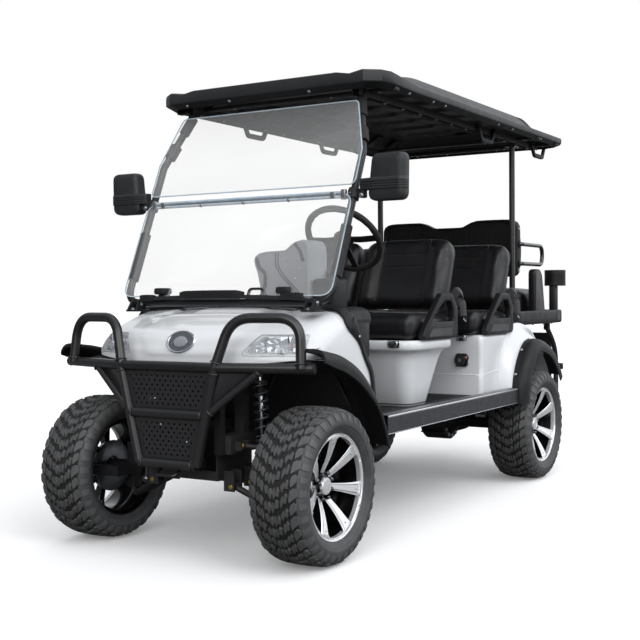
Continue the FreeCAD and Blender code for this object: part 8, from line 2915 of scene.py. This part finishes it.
def makeAxle():
    # Rear axle tubes, ribbed gearcase with its bolted cover, and the finned drive motor.
    parts = [lathe("axleTube",
                   [(-0.472, 0.0), (-0.472, 0.036), (-0.465, 0.0378), (-0.12, 0.0378), (-0.10, 0.060),
                    (-0.074, 0.085), (-0.074, 0.104), (-0.066, 0.111), (0.066, 0.111), (0.074, 0.104),
                                (0.074, 0.085), (0.10, 0.060), (0.12, 0.0378), (0.465, 0.0378),
                                (0.472, 0.036), (0.472, 0.0)], "castIron", 48, angle=30.0)]
    moved(parts[0], Matrix.Translation(at(0, 2.190, 0.292)))
    bolts = []
    for k in range(12):
        a = 2 * math.pi * k / 12
        bolts.append(facing(at(0.0745, 2.190 + 0.0945 * math.sin(a), 0.292 + 0.0945 * math.cos(a)),
                            (1, 0, 0)))
    parts.append(repeated("caseBolts", hexBolt("bolt", 0.013, 0.006), bolts, "zinc"))
    for k in range(5):
        z = 0.225 + 0.034 * k
        parts.append(block("caseRib", (-0.070, 2.0835, z - 0.0035), (0.070, 2.12, z + 0.0035), "castIron",
                           0.0015))
    motor = lathe("motor",
                  [(0.0, 0.0), (0.0, 0.070), (0.012, 0.090),
                   (0.030, 0.0935)] + [(0.036 + 0.0085 * k,
                                        0.0935 if k % 2 else 0.0870) for k in range(22)] + [(0.226, 0.0935),
            (0.240, 0.084), (0.248, 0.060), (0.249, 0.0)], "castIron", 44, angle=25.0)
    moved(motor, Matrix.Translation(at(0.0, 2.2465, 0.292)) @ Matrix.Rotation(math.pi / 2, 4, "Z"))
    parts.append(motor)
    parts.append(block("terminalBox", (-0.050, 2.330, 0.370), (0.050, 2.420, 0.3865), "blackAbs", 0.004))
    for s in (1, -1):
        for k in range(3):
            a = math.radians(60 + 60 * k)
            start = at(s * 0.030 * (k - 1), 2.350, 0.382)
            parts.append(sweep("cable",
                               roundedLine([start, at(s * 0.034 * (k - 1), 2.320, 0.386),
                                            at(s * 0.040, 2.250, 0.386)], 0.02, 5), circle(0.005, 10),
                               "softRubber"))
    dressed(joined("rear_axle_skin", parts), chassis, ["rear_axle"])


def makeBattery():
    # Battery case: ribbed box, lid with its seam, and handles.
    parts = [block("case", (-0.328, 1.642, 0.4915), (0.328, 1.958, 0.700), "blackAbs", 0.010, 3),
             block("lid", (-0.3295, 1.6405, 0.700), (0.3295, 1.9595, 0.739), "blackAbs", 0.008, 3)]
    for k in range(9):
        x = -0.28 + 0.07 * k
        for y in (1.6405, 1.9560):
            parts.append(block("caseRib", (x - 0.004, y, 0.510), (x + 0.004, y + 0.0035, 0.690), "blackAbs",
                               0.0012))
    for s in (1, -1):
        handle = roundedLine([at(s * 0.3285, 1.74, 0.640), at(s * 0.3295, 1.76, 0.655),
                              at(s * 0.3295, 1.84, 0.655), at(s * 0.3285, 1.86, 0.640)], 0.01, 4)
        parts.append(sweep("handle", handle, circle(0.004, 8), "softRubber"))
    dressed(joined("battery_pack_skin", parts), chassis, ["battery_pack"])


def makeTailLights():
    # Red tail lamps: a ribbed lens in a black bezel.
    parts = []
    for s in (1, -1):
        x = s * 0.430
        low, high = (x - 0.0425, 2.5775, 0.5945), (x + 0.0425, 2.6025, 0.6455)
        parts.append(block("lampBody", low, high, "blackAbs", 0.005, 3))
        parts.append(block("lens", (low[0] + 0.004, 2.5990, low[2] + 0.004),
                           (high[0] - 0.004, 2.6028, high[2] - 0.004), "redLens", 0.0025, 3))
        for k in range(9):
            fx = low[0] + 0.010 + 0.008 * k
            parts.append(block("lensRib", (fx, 2.6020, low[2] + 0.008),
                               (fx + 0.0025, 2.60295, high[2] - 0.008), "redLens", 0.0008, 1))
    dressed(joined("taillights_skin", parts), chassis, ["taillights"])


def makePlatform():
    # Folding foot platform: pressed plate with raised tread bars, rolled edge, stiffeners and hinge pin.
    parts = [block("plate", (-0.3715, 2.9915, 0.4265), (0.3715, 3.0075, 0.7545), "blackAbs", 0.005, 3)]
    treads = []
    piece = extrude("tread",
                    [(-0.010, 0, -0.0016), (0.010, 0, -0.0016), (0.013, 0, 0.0), (0.010, 0, 0.0016),
                     (-0.010, 0, 0.0016), (-0.013, 0, 0.0)], Vector((0, -0.0012, 0)), None)
    for k in range(20):
        for m in range(9):
            x, z = -0.342 + 0.036 * k, 0.455 + 0.034 * m
            treads.append(Matrix.Translation(at(x, 2.9918,
                                                z)) @ Matrix.Rotation(math.radians(45 if (k + m) % 2
                    else -45), 4, "Y"))
    parts.append(repeated("treads", piece, treads, "blackAbs"))
    outline = roundOutline([(-0.366, 0.434), (0.366, 0.434), (0.366, 0.749), (-0.366, 0.749)], 0.012, 5)
    parts.append(sweep("rolledEdge", [at(x, 3.0035, z) for x, z in outline], circle(0.0050, 8), "blackAbs",
                       True, up=Vector((0, 1, 0))))
    for k in range(3):
        x = -0.24 + 0.24 * k
        parts.append(block("stiffener", (x - 0.012, 3.0060, 0.450), (x + 0.012, 3.0088, 0.735), "blackAbs",
                           0.002))
    parts.append(tube("pin", [at(-0.3715, 3.0, 0.425), at(0.3715, 3.0, 0.425)], 0.0085, "zinc", 0, 16))
    obj = joined("foot_platform_skin", parts)
    dressed(obj, "foot_platform", ["foot_platform"])


makeRails()
makeArms()
makeSprings()
makeAxle()
makeBattery()
makeTailLights()
makePlatform()
print("undercarriage made")


# Finishes of the CAD nodes that stay
nodeFinish = {
    "frame_rails": "framePaint", "frame_crossmembers": "framePaint", "front_subframe": "framePaint",
    "guard_brackets": "satinCoat", "rear_supports": "framePaint", "tail_struts": "framePaint",
}
for node, obj in frame["nodes"].items():
    paintNode(node, nodeFinish.get(node, "blackAbs"))
